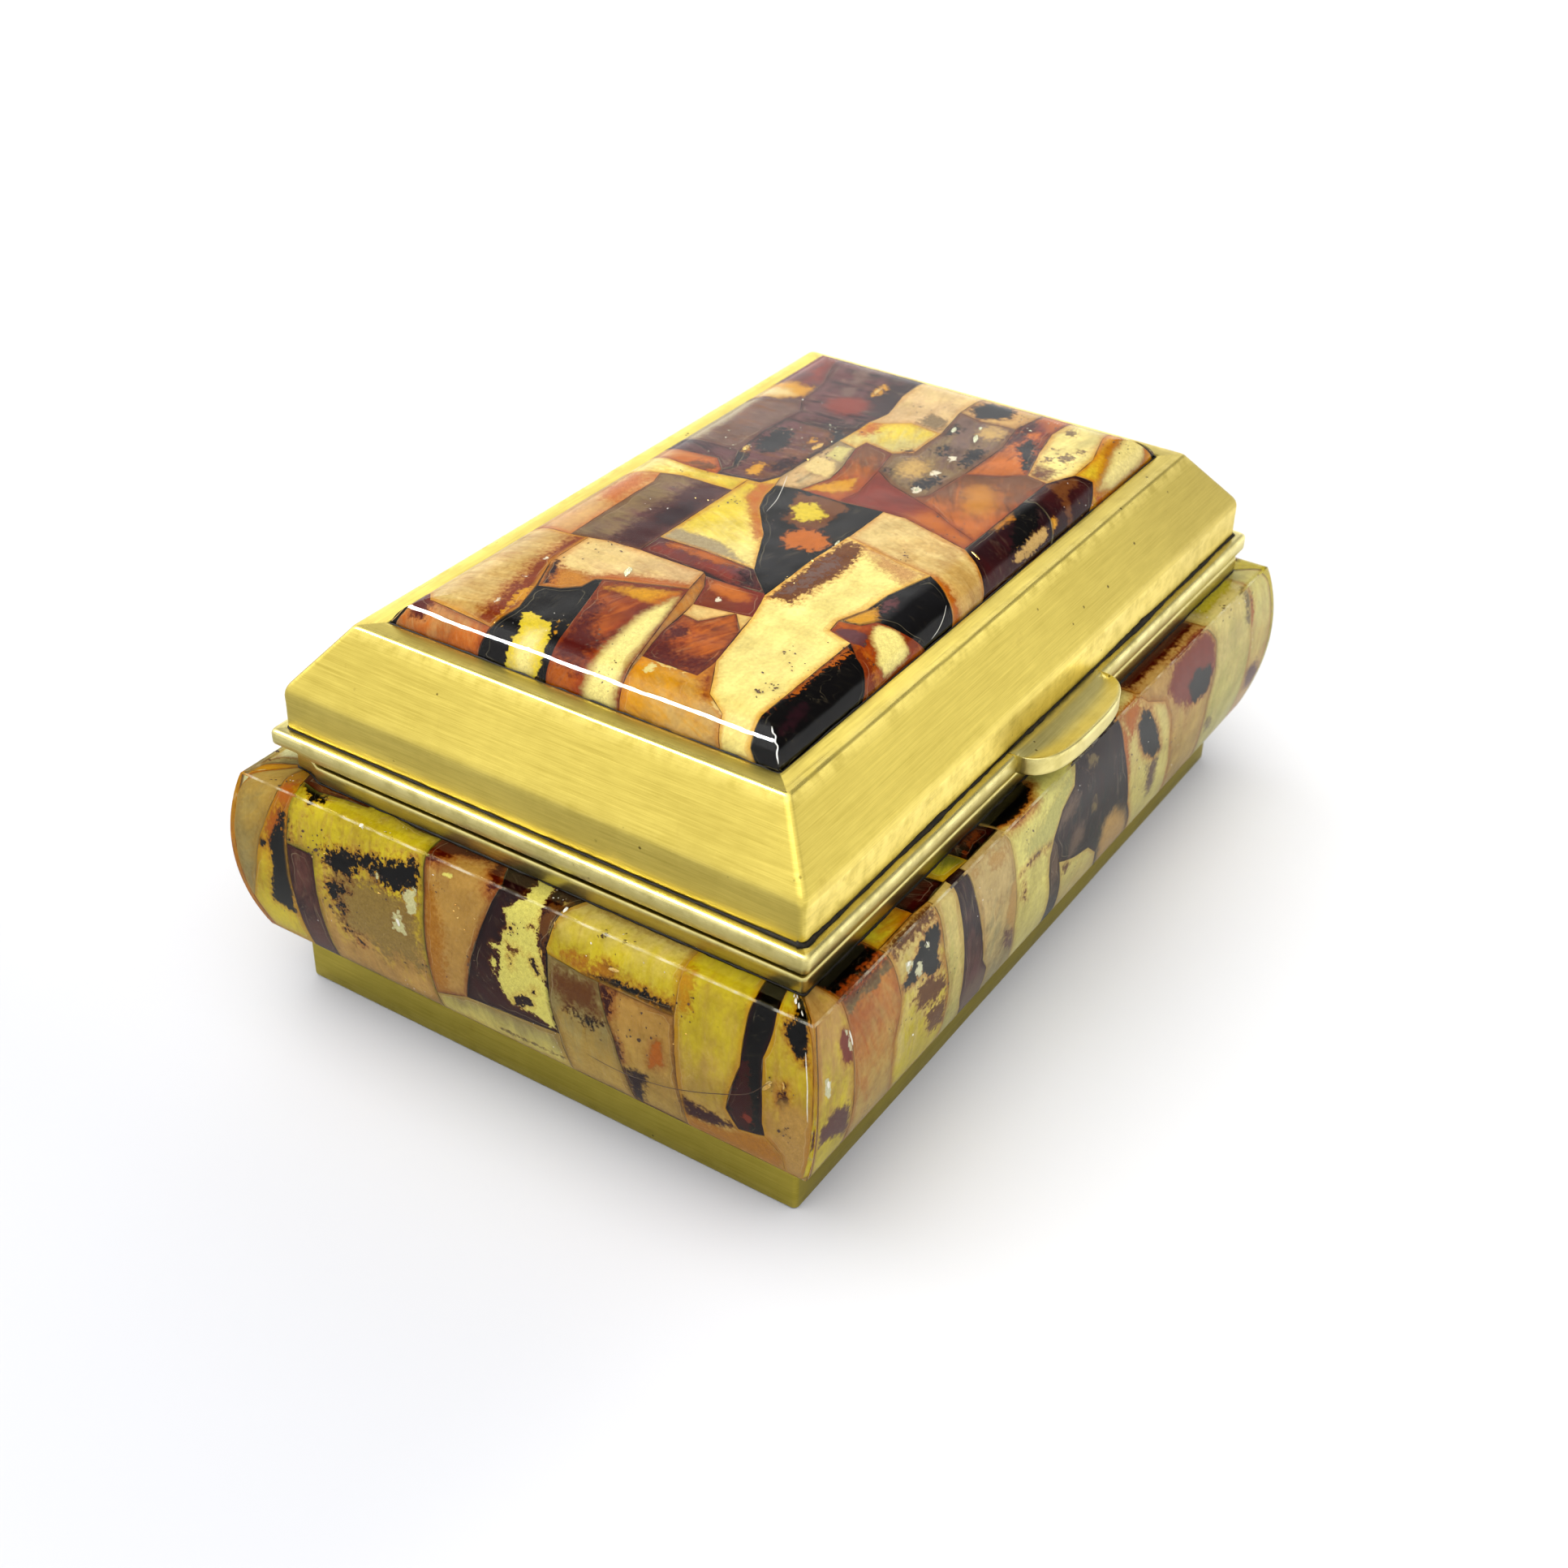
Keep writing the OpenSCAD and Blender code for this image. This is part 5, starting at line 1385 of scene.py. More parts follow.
    tile("honey", "YEL PEACH GOLD",
         "29.2,26 28.8,N E,N E,S 31,S 30.6,9.6 28.4,11.6 28.2,13.2 28.3,16 28.2,21 29,23.6",
         ("BLACK", .15, .45, .5,
          "30.6,25.7 30.4,24.2 31.6,22.9 33,22.2 33.2,24 E,26 E,28.5 32,28 31.6,26"),
         ("WINE", .15, .3, .4, "30.2,18.6 30.9,19.4 31.1,17.6 30.7,16.2 30,17"),
         ("PEACH", 1.0, .4, 0, "30.4,17 E,17.5 E,S 31.4,S 30.2,11 30,14"),
         angle=-90, cloud=.35)


def lay_front_left(tile):
    """Front wall, from the left corner to the middle."""
    tile("honey", "PEACH YEL HONEY", "W,S -41.4,S -42.2,11.5 -42.9,17 -43.2,22 -43.6,26 -44,N W,N",
         ("BRICK", .12, .12, .2,
          "-45.3,21.8 -44.7,23.3 -43.6,22.8 -42.9,20.2 -43.2,19.1 -44.7,19.8"),
         ("WHITE", .08, .15, 0, "-44.1,23 -43.7,22.8 -43,20.2 -43.3,19.9 -43.9,21.4",
          oval(-47.6, 19, .6, 1.2, 10)),
         ("MAUVE", .5, .4, 0,
          "-48.8,14.8 -46,15.5 -43.8,14.6 -42.4,12.2 -41.9,9 -44,10.6 -46.8,11.8 -48.4,12.4"),
         angle=-90, cloud=.35)
    tile("honey", "ORANGE TAN HONEY",
         "-41.4,S -33.5,S -35.6,12.4 -36.2,16 -35,20 -35.6,24 -36,26 -36,N -44,N -43.6,26 "
         "-43.2,22 -42.9,17 -42.2,11.5",
         ("SMOKE", .4, .5, 0, "-43.4,25.7 -35.8,25.7 -35.4,24 -43.2,24"),
         ("BLACK", .3, .6, .9, "-43.9,N -43.6,26.2 -40,25.8 -36,26.4 -36,N"),
         angle=-70, cloud=.35)
    tile("honey", "GOLD YEL AMBER", "-36,N -36,26.2 -30,26.4 -30.2,N", cloud=.5, ragged=.3)
    tile("dark", "RED WINE BLACK", "-30.2,N -30,26.4 -27.8,26.2 -24.6,26.5 -25.2,N",
         cloud=.6, ragged=.4)
    tile("pale", "YEL OLIVE GOLD", "-25.2,N -24.6,26.5 -20.4,26.2 -20.8,N", cloud=.5, ragged=.2)
    tile("dark", "BLACK RED BLACK", "-20.8,N -20.4,26.2 -14.6,26.3 -15.4,N",
         ("COGNAC", .3, .6, .1, oval(-17.4, 27.6, 1.4, .3, 10), oval(-19.4, 26.9, .6, .2, 0)),
         cloud=.7, ragged=.5)
    tile("pale", "CREAM YEL HONEY",
         "-36,26.2 -35.6,24 -35,20 -36.2,16 -35.6,12.4 -33.5,S -24.5,S -25.8,12 -26.4,16 "
         "-27.4,20 -27.6,24 -27.8,26.2 -30,26.4",
         ("BROWN", .35, .6, .2, "-33.2,18.8 -31,19.5 -28.4,18.4 -26.7,16.1 -29,15.8 -32,17",
          "-30.4,15 -26.6,14.6 -25.2,10.4 -28.6,11 -29.4,13", "-35.5,26 -28,26 -28.2,25 -35.4,24.6"),
         ("SLATE", .15, .35, .4,
          "-35.3,21.2 -33.4,22 -31.8,23.5 -30,24.2 -28.2,24 -27.7,22.8 -28.6,21.2 -28.2,18.9 "
          "-30,19.7 -31.4,21 -33.6,20.8"),
         ("WHITE", .1, .2, 0, oval(-31.9, 21.5, .55, .7, 20), oval(-33.5, 22.8, .6, .5, 0),
          oval(-30.2, 22.9, .12, .6, 25)), angle=-80, cloud=.5, ragged=.3)
    tile("pale", "GREEN CREAM TAN",
         "-27.8,26.2 -27.6,24 -27.4,20 -26.4,16 -25.8,12 -24.5,S -20.5,S -22.8,11.5 -23.6,16 "
         "-24,20 -24.4,26.4", angle=90)
    tile("dark", "MAUVE PLUM WINE",
         "-24.5,26.4 -24,20 -23.6,16 -22.8,11.5 -20.5,S -16.5,S -17.8,11.8 -19.4,14 -20.6,19 "
         "-21.4,23 -21.8,26.2",
         ("DUSK", 1.2, .5, 0, "-22.4,8 -17,8 -17.8,11.6 -21.6,12"),
         angle=90, cloud=.6, speck=.3)
    tile("pale", "GREY PINK TAN",
         "-21.8,26.2 -21.4,23 -20.6,19 -19.4,14 -17.8,11.8 -16.5,S -10.5,S -11.6,10 -13.2,14 "
         "-13.8,20 -14.2,24.4 -14.6,26.2",
         ("PEACH", .6, .6, 0, oval(-16.6, 24, 1.4, .9, -20),
          "-14.4,20 -13.6,20 -12.8,13 -14.4,14.6 -15.6,17", oval(-21, 25, .9, .5, 30)),
         ("MAUVE", .5, .4, 0, "-15.4,14.8 -13.2,13.6 -12,10.4 -14.6,12.6"),
         angle=80, cloud=.6)
    tile("pale", "PALE BRIGHT TAN",
         "-15.4,N -14.6,26 -14.2,24.4 -13.8,20 -13.2,14 -11.6,10 -10.5,S -3.5,S -5,12 -6.6,16 "
         "-6.8,18.4 -6,20.2 -4,22.4 -1.2,23.6 0,26 1.5,N",
         ("BLACK", .12, .25, .8, "-15.4,N -14.6,26.6 -12,25.8 -8.6,26 -6.6,27.4 -6.4,N"),
         ("BROWN", .15, .3, .3, strip("-12.9,20.2 -10,20.5 -7.8,20.2 -6,20.2", .35),
          strip("-12.4,18.6 -12,17.4 -11.6,16.2", .3)),
         ("GREEN", .7, .3, 0,
          "-6,20.2 -4,22.4 -1.4,23.6 -.4,25.4 -3,24.8 -8,23.4 -12,22.4 -12,21.4"),
         angle=90, cloud=.4)


def lay_front_right(tile):
    """Front wall, from the middle to the right corner."""
    tile("dark", "SLATE DUSK PLUM",
         "-6,20.2 -6.8,18.4 -6.6,16 -5,12 -3.5,S -.5,S -2.6,12 -4.4,16.4 -5.2,19",
         angle=90, cloud=.5)
    tile("dark", "SLATE PLUM WINE",
         "-6,20.2 -4,22.4 -1.2,23.6 0,26 1.5,N 9.2,N 9.6,26 9.8,22 10.8,18 12,14 14.5,10.5 "
         "16.5,S 8.5,S 6,11 3,13.6 -1,14.8 -4.4,16.4 -5.2,19",
         ("SMOKE", .4, .6, .1, oval(2.9, 24.4, .9, 1, 30), oval(3.2, 19.2, .5, .9, 10)),
         ("PEACH", .9, .4, 0, "6,15 8,15.6 12,12.8 14.2,10.2 16,S 9,S 6.6,11.4"),
         ("DUSK", .8, .5, 0, "-4.4,22 -1.2,23.4 0,22 -2,20.6 -4.8,20.8",
          "-2,19 .6,18.6 1,16 -2.2,15.4"), angle=90, cloud=.5, speck=.3)
    tile("pale", "CREAM PALE TAN", "-4.4,16.4 -2.6,12 -.5,S 8.5,S 6,11 3,13.6 -1,14.8",
         ("BROWN", .5, .5, 0, oval(-2.6, 14.6, 1.1, .8, -40)), angle=90, cloud=.4)
    tile("pale", "PALE CREAM ORANGE",
         "9.2,N 9.6,26 9.8,22 10.8,18 12,14 14.5,10.5 16.5,S 25.5,S 23,12 21.4,17 21,20 "
         "19.8,22.6 16,24.4 14.6,26 14.4,N",
         ("SLATE", .2, .2, .5,
          "13.1,22.8 14.6,24.2 16.2,23.2 17.4,20.8 18.8,17.2 17.2,17 14.8,18.8 13.4,20.8"),
         ("DUSK", .7, .5, 0, "15.6,16.6 18.4,16.4 19.4,12 18.6,11 16.6,13"),
         ("ORANGE", .4, .3, .3, "9.7,25 10.6,22 10.9,18 10.4,18 9.7,22",
          "10,25.8 14.4,25.8 13,23.6 11.6,22.6"), angle=90, cloud=.4)
    tile("honey", "PEACH TAN HONEY",
         "14.4,N 14.6,26 16,24.4 19.8,22.6 21,20 21.4,17 23,12 25.5,S 34,S 32,12 31.4,16.4 "
         "32.8,20 33.2,23.4 31.6,26 31,N",
         ("BRICK", .5, .4, .3,
          "20.6,23.4 23.4,25.6 30.8,25.8 32.8,23.4 32.5,20.4 30.6,18.4 26,18.8 22.2,21.4"),
         ("SLATE", .35, .4, .2, "25.6,21.4 27.8,22.4 31.4,21.6 32,19.8 30.4,18.2 27,18.6"),
         ("RED", .5, .5, .3, "14.8,27 22,26.6 31,27 31,N 14.6,N"), angle=-80, cloud=.4)
    tile("pale", "GREEN CREAM TAN",
         "31,N 31.6,26 33.2,23.4 32.8,20 31.4,16.4 32,12 34,S 43.5,S 43,14 42.6,20 42.8,26 "
         "43,N",
         ("SMOKE", .6, .5, 0, oval(34, 12, 1.8, .7, -40), oval(42, 23.6, .8, 2, 0)),
         ("YEL", .6, .3, 0, "34,27 42.6,27 42.8,N 33,N"), angle=80, cloud=.35)
    tile("honey", "PALE PEACH ORANGE", "43,N 42.8,26 42.6,20 43,14 43.5,S E,S E,N",
         ("MAUVE", .8, .5, 0, "43.4,14.4 46,15 E,12.4 E,10 45,11.4"),
         ("ORANGE", .3, .4, .4, "43,26 43.6,23 43,21 42.7,21"), angle=-90, cloud=.3)


def lay_front(tile):
    lay_front_left(tile)
    lay_front_right(tile)


# tone and colours of the tiles on the back and right walls
SCHEMES = [("pale", "BRIGHT PALE GOLD"), ("honey", "AMBER HONEY COGNAC"),
           ("pale", "CREAM PINK TAN"), ("dark", "BLACK PLUM BLACK"),
           ("honey", "PEACH TAN BROWN"), ("pale", "GREEN YEL OLIVE"),
           ("honey", "COGNAC RED WINE"), ("pale", "GREY CREAM SMOKE"),
           ("dark", "WINE MAUVE PLUM"), ("honey", "GOLD YEL AMBER"),
           ("pale", "PALE TAN HONEY"), ("dark", "SLATE DUSK BLACK")]
SPOT_COLOURS = "SLATE BLACK BRICK BRIGHT ORANGE BROWN WHITE WINE GOLD".split()


def random_spot(rng, centre_x, centre_y, width, avoid):
    """A spot of one or two uneven blobs near the centre of a tile."""
    colour = rng.choice([name for name in SPOT_COLOURS if name not in avoid])
    shapes = []
    for _ in range(rng.choice((1, 1, 2))):
        radius = rng.uniform(.5, min(2.6, width * .3))
        x, y = centre_x + rng.uniform(-.3, .3) * width, centre_y + rng.uniform(-3.5, 3.5)
        shapes.append([(x + radius * rng.uniform(.6, 1.25) * math.cos(2 * math.pi * i / 11),
                        y + radius * rng.uniform(.7, 1.7) * math.sin(2 * math.pi * i / 11))
                       for i in range(11)])
    return (colour, rng.uniform(.1, .6), rng.uniform(.2, .7), rng.uniform(0, .6), *shapes)


def lay_wall(tile, seed, half, warm_end):
    """An irregular course of tiles; warm_end gives the last one a plain warm tone."""
    rng = random.Random(seed)
    foot, end = SidePanel.FOOT, SidePanel.END
    x = -half
    cuts = [(-half, -half)]     # each joint's place at the foot and at the top
    while x < half - 9.0:
        x += rng.uniform(4.2, 10.5)
        cuts.append((min(x + rng.uniform(-1.6, 1.6), half - 3),
                     min(x + rng.uniform(-1.6, 1.6), half - 3)))
    cuts.append((half, half))
    used = []
    for (left_foot, left_top), (right_foot, right_top) in zip(cuts[:-1], cuts[1:]):
        width = (right_foot + right_top - left_foot - left_top) / 2
        low_corners = [(left_foot, foot), (right_foot, foot)]
        high_corners = [(right_top, end), (left_top, end)]
        if width > 5.5 and rng.random() < 0.6:
            left_z, right_z = rng.uniform(12, 21), rng.uniform(12, 21)
            left_part, right_part = (left_z - foot) / (end - foot), (right_z - foot) / (end - foot)
            left = (left_foot + (left_top - left_foot) * left_part, left_z)
            right = (right_foot + (right_top - right_foot) * right_part, right_z)
            outlines = [[*low_corners, right, left], [left, right, *high_corners]]
        else:
            rng.random()    # keeps the random sequence in step
            outlines = [[*low_corners, *high_corners]]
        for outline in outlines:
            k = rng.choice([i for i in range(len(SCHEMES)) if i not in used[-3:]])
            used.append(k)
            tone, colours = SCHEMES[k]
            if warm_end and right_top == half:
                tile("honey", "HONEY GOLD AMBER", outline, cloud=.4, ragged=.2, angle=90)
                continue
            centre_x = sum(point[0] for point in outline) / 4
            centre_y = sum(point[1] for point in outline) / 4
            spots = [random_spot(rng, centre_x, centre_y, width, colours.split()[:2])
                     for _ in range(rng.choice((1, 1, 2, 3)))]
            tile(tone, colours, outline, *spots, cloud=rng.uniform(.25, .7),
                 speck=rng.choice((0, .2, .6)), ragged=rng.uniform(.1, .45))


# ---------------------------------------------------------------- clear skins and bedding
def ripple(x, y, z, amount):
    broad = mnoise.noise(Vector((x * 0.16, y * 0.16, z * 0.16 + 5)))
    narrow = mnoise.noise(Vector((x * 0.5, y * 0.5, z * 0.5 + 11)))
    return amount * (broad + 0.35 * narrow)


def skin_panel(surface, body):
    """Closed clear solid with the whole form of a side panel."""
    foot, top = PLINTH_TOP + 0.02, RIM_BOTTOM
    face_steps = 26
    # profile: (out, z, whether it is rippled)
    profile = [(WALL_OUT + 0.01, foot, False), (WALL_OUT + 2.0, foot, False),
               (float(surface.out_at(np.array(PLINTH_TOP), 0.0)) - 0.16, foot, False)]
    z0, z1 = PLINTH_TOP + 0.14, top - 0.13
    for i in range(face_steps + 1):
        z = z0 + (z1 - z0) * i / face_steps
        at_end = i in (0, face_steps)
        out = float(surface.out_at(np.array(z), 0.0)) - (0.03 if at_end else 0.0)
        profile.append((out, z, not at_end))
    arris_start = len(profile) - 1
    profile.append((WALL_TOP_OUT - 0.09, top - 0.045, False))
    profile.append((WALL_TOP_OUT - 0.20, top - 0.004, False))
    arris_end = len(profile) - 1
    for inwards in (0.6, 1.4, 2.4, 3.3):
        profile.append((WALL_TOP_OUT - inwards, top - 0.004, False))
    profile.append((WALL_OUT + 0.01, top - 0.004, False))

    count = len(profile)
    length_steps = round(2 * surface.half_length / 1.5)
    verts, loc = [], []
    for j in range(length_steps + 1):
        for out, z, rippled in profile:
            along = (-1 + 2 * j / length_steps) * (surface.half_length + out - 0.045)
            swell = ripple(along, out * 3, z + surface.half_length, 0.018) if rippled else 0.0
            point = surface.place(np.array(along), np.array(out + swell), np.array(z))
            verts.append(tuple(float(c) for c in point))
            loc.append((z, along, 3.0))
    # materials: 0 polished, 1 glued, 2 ground arris
    faces, material_index = [], []
    for j in range(length_steps):
        for i in range(count):
            i2 = (i + 1) % count
            faces.append([j * count + i, (j + 1) * count + i,
                          (j + 1) * count + i2, j * count + i2])
            on_arris = arris_start <= i < arris_end
            material_index.append(1 if i == count - 1 else (2 if on_arris else 0))
    faces.append(list(range(count)))
    faces.append([length_steps * count + i for i in range(count)][::-1])
    material_index += [1, 1]
    mesh_object(f"{surface.name}_clear_skin", verts, faces, [SKIN, GLUED, ARRIS], body,
                sharp=24, material_index=material_index, vectors={"loc": loc})


def skin_cushion(surface, body):
    """Closed clear solid of the cushion, with a mitre crease at each corner."""
    round_steps, steps_x, steps_y = 14, 58, 32

    def stations(flat, steps):
        arc = [flat + surface.UNROLLED * i / round_steps for i in range(1, round_steps + 1)]
        return [-a for a in arc[::-1]] + [-flat + 2 * flat * i / steps
                                          for i in range(steps + 1)] + arc

    xs, ys = stations(surface.flat_x, steps_x), stations(surface.flat_y, steps_y)
    nx, ny = len(xs), len(ys)
    grid = np.array([[x, y] for y in ys for x in xs])
    points = surface.point(grid[:, 0], grid[:, 1], np.zeros(len(grid)))
    for k in range(len(points)):
        if k % nx not in (0, nx - 1) and k // nx not in (0, ny - 1):
            points[k, 2] += ripple(*points[k], 0.022)
    verts = points.tolist()
    loc = [(x, y, 1.0) if abs(x) > surface.flat_x else (y, x, 1.0) for x, y in grid]
    faces, creases = [], set()
    for j in range(ny - 1):
        for i in range(nx - 1):
            a = j * nx + i
            b, c, d = a + 1, a + nx + 1, a + nx
            left, right = i < round_steps, i >= nx - 1 - round_steps
            near, far = j < round_steps, j >= ny - 1 - round_steps
            from_x = i if left else nx - 2 - i
            from_y = j if near else ny - 2 - j
            if not ((left or right) and (near or far) and from_x == from_y):
                faces.append([a, b, c, d])
            elif left == near:
                faces += [[a, b, c], [a, c, d]]
                creases.add(frozenset((a, c)))
            else:
                faces += [[a, b, d], [b, c, d]]
                creases.add(frozenset((b, d)))
    rim = grid_rim(nx, ny)
    base, count = len(verts), len(rim)
    for k in rim:
        x, y, _ = verts[k]
        verts.append([x, y, CUSHION_BOTTOM + 0.05])
        loc.append((x, y, 2.0))
    for k in range(count):
        faces.append([rim[(k + 1) % count], rim[k], base + k, base + (k + 1) % count])
    faces.append([base + k for k in range(count)])
    ob = mesh_object("top_clear_skin", verts, faces, [SKIN], body, sharp=28,
                     vectors={"loc": loc})
    for edge in ob.data.edges:
        if frozenset(edge.vertices) in creases:
            edge.use_edge_sharp = True


def bedding(surface, body):
    """Cement sheet the tiles are bedded in."""
    columns, rows = 40, 18
    x0, x1, y0, y1 = surface.limits()
    grid = np.array([[x, y] for y in np.linspace(y0 + 0.15, y1 - 0.2, rows)
                     for x in np.linspace(x0 + 0.2, x1 - 0.2, columns)])
    count = len(grid)
    sheets = [surface.point(grid[:, 0], grid[:, 1], np.full(count, depth))
              for depth in (2.45, 2.70)]
    faces = []
    for j in range(rows - 1):
        for i in range(columns - 1):
            a = j * columns + i
            quad = [a, a + 1, a + columns + 1, a + columns]
            faces.append(quad)
            faces.append([count + k for k in quad[::-1]])
    rim = grid_rim(columns, rows)
    for p, q in zip(rim, rim[1:] + rim[:1]):
        faces.append([q, p, count + p, count + q])
    mesh_object(f"{surface.name}_bedding", np.vstack(sheets), faces, [BED], body,
                sharp=50)


# ---------------------------------------------------------------- inclusions
def inclusion(name, surface, material, body, flakes, seed):
    """Small crumpled flakes inside the clear skin, each
    (along, up, length, width, degrees, depth)."""
    rng = random.Random(seed)
    verts, faces = [], []
    n = 9
    for along, up, length, width, tilt, depth in flakes:
        cos, sin = math.cos(math.radians(tilt)), math.sin(math.radians(tilt))
        ring = []
        for i in range(n):
            t = 2 * math.pi * i / n
            x = length / 2 * math.cos(t) * rng.uniform(.7, 1.1)
            y = width / 2 * math.sin(t) * rng.uniform(.65, 1.2)
            ring.append((along + x * cos - y * sin, up + x * sin + y * cos))
        start = len(verts)
        # an upper and a lower layer; the upper one is raised at its centre
        for below, raised in ((0.0, 0.03), (0.035, 0.0)):
            for x, y in ring:
                verts.append(surface.point(x, y, depth + below
                                           + rng.uniform(-.02, .02)).tolist())
            verts.append(surface.point(along, up, depth + below - raised
                                       + rng.uniform(-.015, .015)).tolist())
        lower = start + n + 1
        for i in range(n):
            j = (i + 1) % n
            faces.append([start + i, start + j, start + n])
            faces.append([lower + j, lower + i, lower + n])
            faces.append([start + j, start + i, lower + i, lower + j])
    mesh_object(name, verts, faces, [material], body, sharp=20)


def thread(name, surface, material, body, line, radius, depth):
    """A thin tube following the panel's surface, tapering at its ends."""
    points = np.asarray(path(line), float)
    t = np.linspace(0, len(points) - 1, 8 * (len(points) - 1) + 1)
    along, up = (np.interp(t, range(len(points)), points[:, k]) for k in (0, 1))
    for _ in range(6):
        for values in (along, up):
            values[1:-1] = (values[:-2] + values[1:-1] * 2 + values[2:]) / 4
    centres = surface.point(along, up, np.full(len(along), depth))
    tangents = np.gradient(centres, axis=0)
    tangents /= np.linalg.norm(tangents, axis=1, keepdims=True)
    verts, count, n = [], len(centres), 6
    for k, (centre, tangent) in enumerate(zip(centres, tangents)):
        reference = np.array([0.0, 0.0, 1.0] if abs(tangent[2]) < 0.9 else [1.0, 0.0, 0.0])
        side = np.cross(tangent, reference)
        side /= np.linalg.norm(side)
        other = np.cross(tangent, side)
        here = radius * (0.35 + 0.65 * min(1.0, k / 5, (count - 1 - k) / 5))
        for i in range(n):
            turn = 2 * math.pi * i / n
            verts.append(centre + (side * math.cos(turn) + other * math.sin(turn)) * here)
    faces = band_faces(count, n)
    faces.append(list(range(n)))
    faces.append([(count - 1) * n + i for i in range(n)][::-1])
    mesh_object(name, verts, faces, [material], body, sharp=60)


def sprinkle(name, surface, body, material, groups, size, seed):
    """Flakes scattered in small clouds: groups are (along, up, spread, count)."""
    rng = random.Random(seed)
    x0, x1, y0, y1 = surface.limits()
    flakes = []
    for along, up, spread, count in groups:
        for _ in range(count):
            x, y = rng.gauss(along, spread), rng.gauss(up, spread * 0.8)
            if x0 + 1.5 < x < x1 - 1.5 and y0 + 0.6 < y < y1 - 1.2:
                width = rng.uniform(*size) * (1.8 if rng.random() < .12 else 1.0)
                flakes.append((x, y, width * rng.uniform(1, 1.9), width,
                               rng.uniform(0, 180), rng.uniform(.11, .15)))
    inclusion(name, surface, material, body, flakes, seed)


def random_groups(surface, number, seed, count=(5, 12)):
    rng = random.Random(seed)
    x0, x1, y0, y1 = surface.limits()
    return [(rng.uniform(x0 + 3, x1 - 3), rng.uniform(y0 + 1.5, y1 - 2), rng.uniform(.5, 1.6),
             rng.randint(*count)) for _ in range(number)]


# ---------------------------------------------------------------- amber pieces
FRONT, BACK = SidePanel("front", HALF_X, HALF_Y), SidePanel("back", HALF_X, HALF_Y)
LEFT, RIGHT = SidePanel("left", HALF_Y, HALF_X), SidePanel("right", HALF_Y, HALF_X)
TOP = Cushion()

# painted shade: the tile colours scaled per panel, the walls much darker than the cushion
FRONT_SHADE_GAIN, WALL_SHADE_GAIN, TOP_SHADE_GAIN = (0.76, 0.83, 0.70), (0.74, 0.78, 0.53), (0.98, 0.98, 0.96)

# surface, body, seed, shade gain, borders, layout
for surface, body, seed, gain, edges, lay in (
        (FRONT, "casket", 11, FRONT_SHADE_GAIN, FRONT_EDGES, lay_front),
        (LEFT, "casket", 12, WALL_SHADE_GAIN, LEFT_EDGES, lay_left),
        (BACK, "casket", 13, WALL_SHADE_GAIN, {}, None),
        (RIGHT, "casket", 14, WALL_SHADE_GAIN, {}, None),
        (TOP, "lid", 15, TOP_SHADE_GAIN, TOP_EDGES, lay_top)):
    mosaic = Mosaic(surface, body, seed, gain, edges)
    if lay:
        lay(mosaic.tile)
    else:
        lay_wall(mosaic.tile, seed, surface.reach, warm_end=surface is BACK)
    mosaic.build()
    bedding(surface, body)
    (skin_cushion if surface is TOP else skin_panel)(surface, body)

inclusion("left_gold_flakes", LEFT, LEAF, "casket", [
    (28.9, 18.2, 1.7, .55, 55, .16), (30.5, 19.0, .35, 1.0, 10, .16),
    (-14.5, 19.6, .5, .18, 10, .18), (4.6, 21.2, .2, .8, 10, .16),
    (12.4, 22.8, 1.5, .35, 8, .16), (5.7, 24.4, .3, .9, 5, .16)], seed=5)
inclusion("left_pale_chips", LEFT, CHIP, "casket", [
    (-17.2, 25.7, .5, .5, 0, .1), (-12.4, 17.2, .5, .9, 20, .18), (-8.2, 24.1, .3, .14, 0, .16),
    (6.1, 26.4, .35, 1.0, 10, .12), (31.6, 27.6, .9, .5, 75, .10), (32.0, 28.2, .6, .35, 95, .12),
    (31.2, 28.1, .5, .3, 60, .10), (32.2, 27.2, .7, .4, 85, .11), (32.6, 26.5, .6, .28, 90, .12),
    (31.7, 28.7, .4, .3, 10, .14)], seed=8)
thread("left_hairline", LEFT, HAIR, "casket",
       "9,11.2 11,10.9 13.5,10.9 18,11.9 21.6,13.4 24.4,14.8 27,16.2 29.2,18.8",
       radius=0.045, depth=0.09)
thread("left_corner_glue_line", LEFT, CHIP, "casket",
       "32.8,23.2 32.9,21.4 33.0,20 33.0,18 33.1,16.2", radius=0.05, depth=0.12)
inclusion("front_glints", FRONT, CHIP, "casket", [
    (-43.4, 21.6, .28, 2.2, 12, .16), (-47.5, 19.4, .45, 1.1, 8, .16),
    (-33.5, 22.9, .7, .5, 0, .16), (-30.2, 22.9, .12, .8, 25, .16),
    (-32.6, 14.2, .5, .22, -50, .16)], seed=9)
inclusion("top_gold_flakes", TOP, LEAF, "lid", [
    (13.6, 6.9, 2.3, .8, 4, .18), (8.9, 12.9, 1.5, .7, 15, .2), (29.6, 9.0, 2.2, .5, 6, .2),
    (2.2, -18.4, .35, 1.6, -25, .16), (.8, 20.6, .6, .3, 0, .2)], seed=4)
inclusion("top_pale_flakes", TOP, GLINT, "lid", [
    (25.6, -2.9, 1.6, .5, 15, .2), (25.0, -5.9, 2.1, .5, 20, .2), (27.6, -5.1, .8, .4, 20, .2),
    (-3.6, -6.3, 1.2, .35, 10, .2), (-19.9, 6.9, 2.2, .6, 18, .2),
    (10.9, -6.8, .8, .5, 25, .2)], seed=6)
thread("top_hairline_a", TOP, CHIP, "lid", "-11.2,-22.2 -9.8,-21.9 -8.2,-21.2 -6.8,-20.4",
       radius=0.03, depth=0.12)
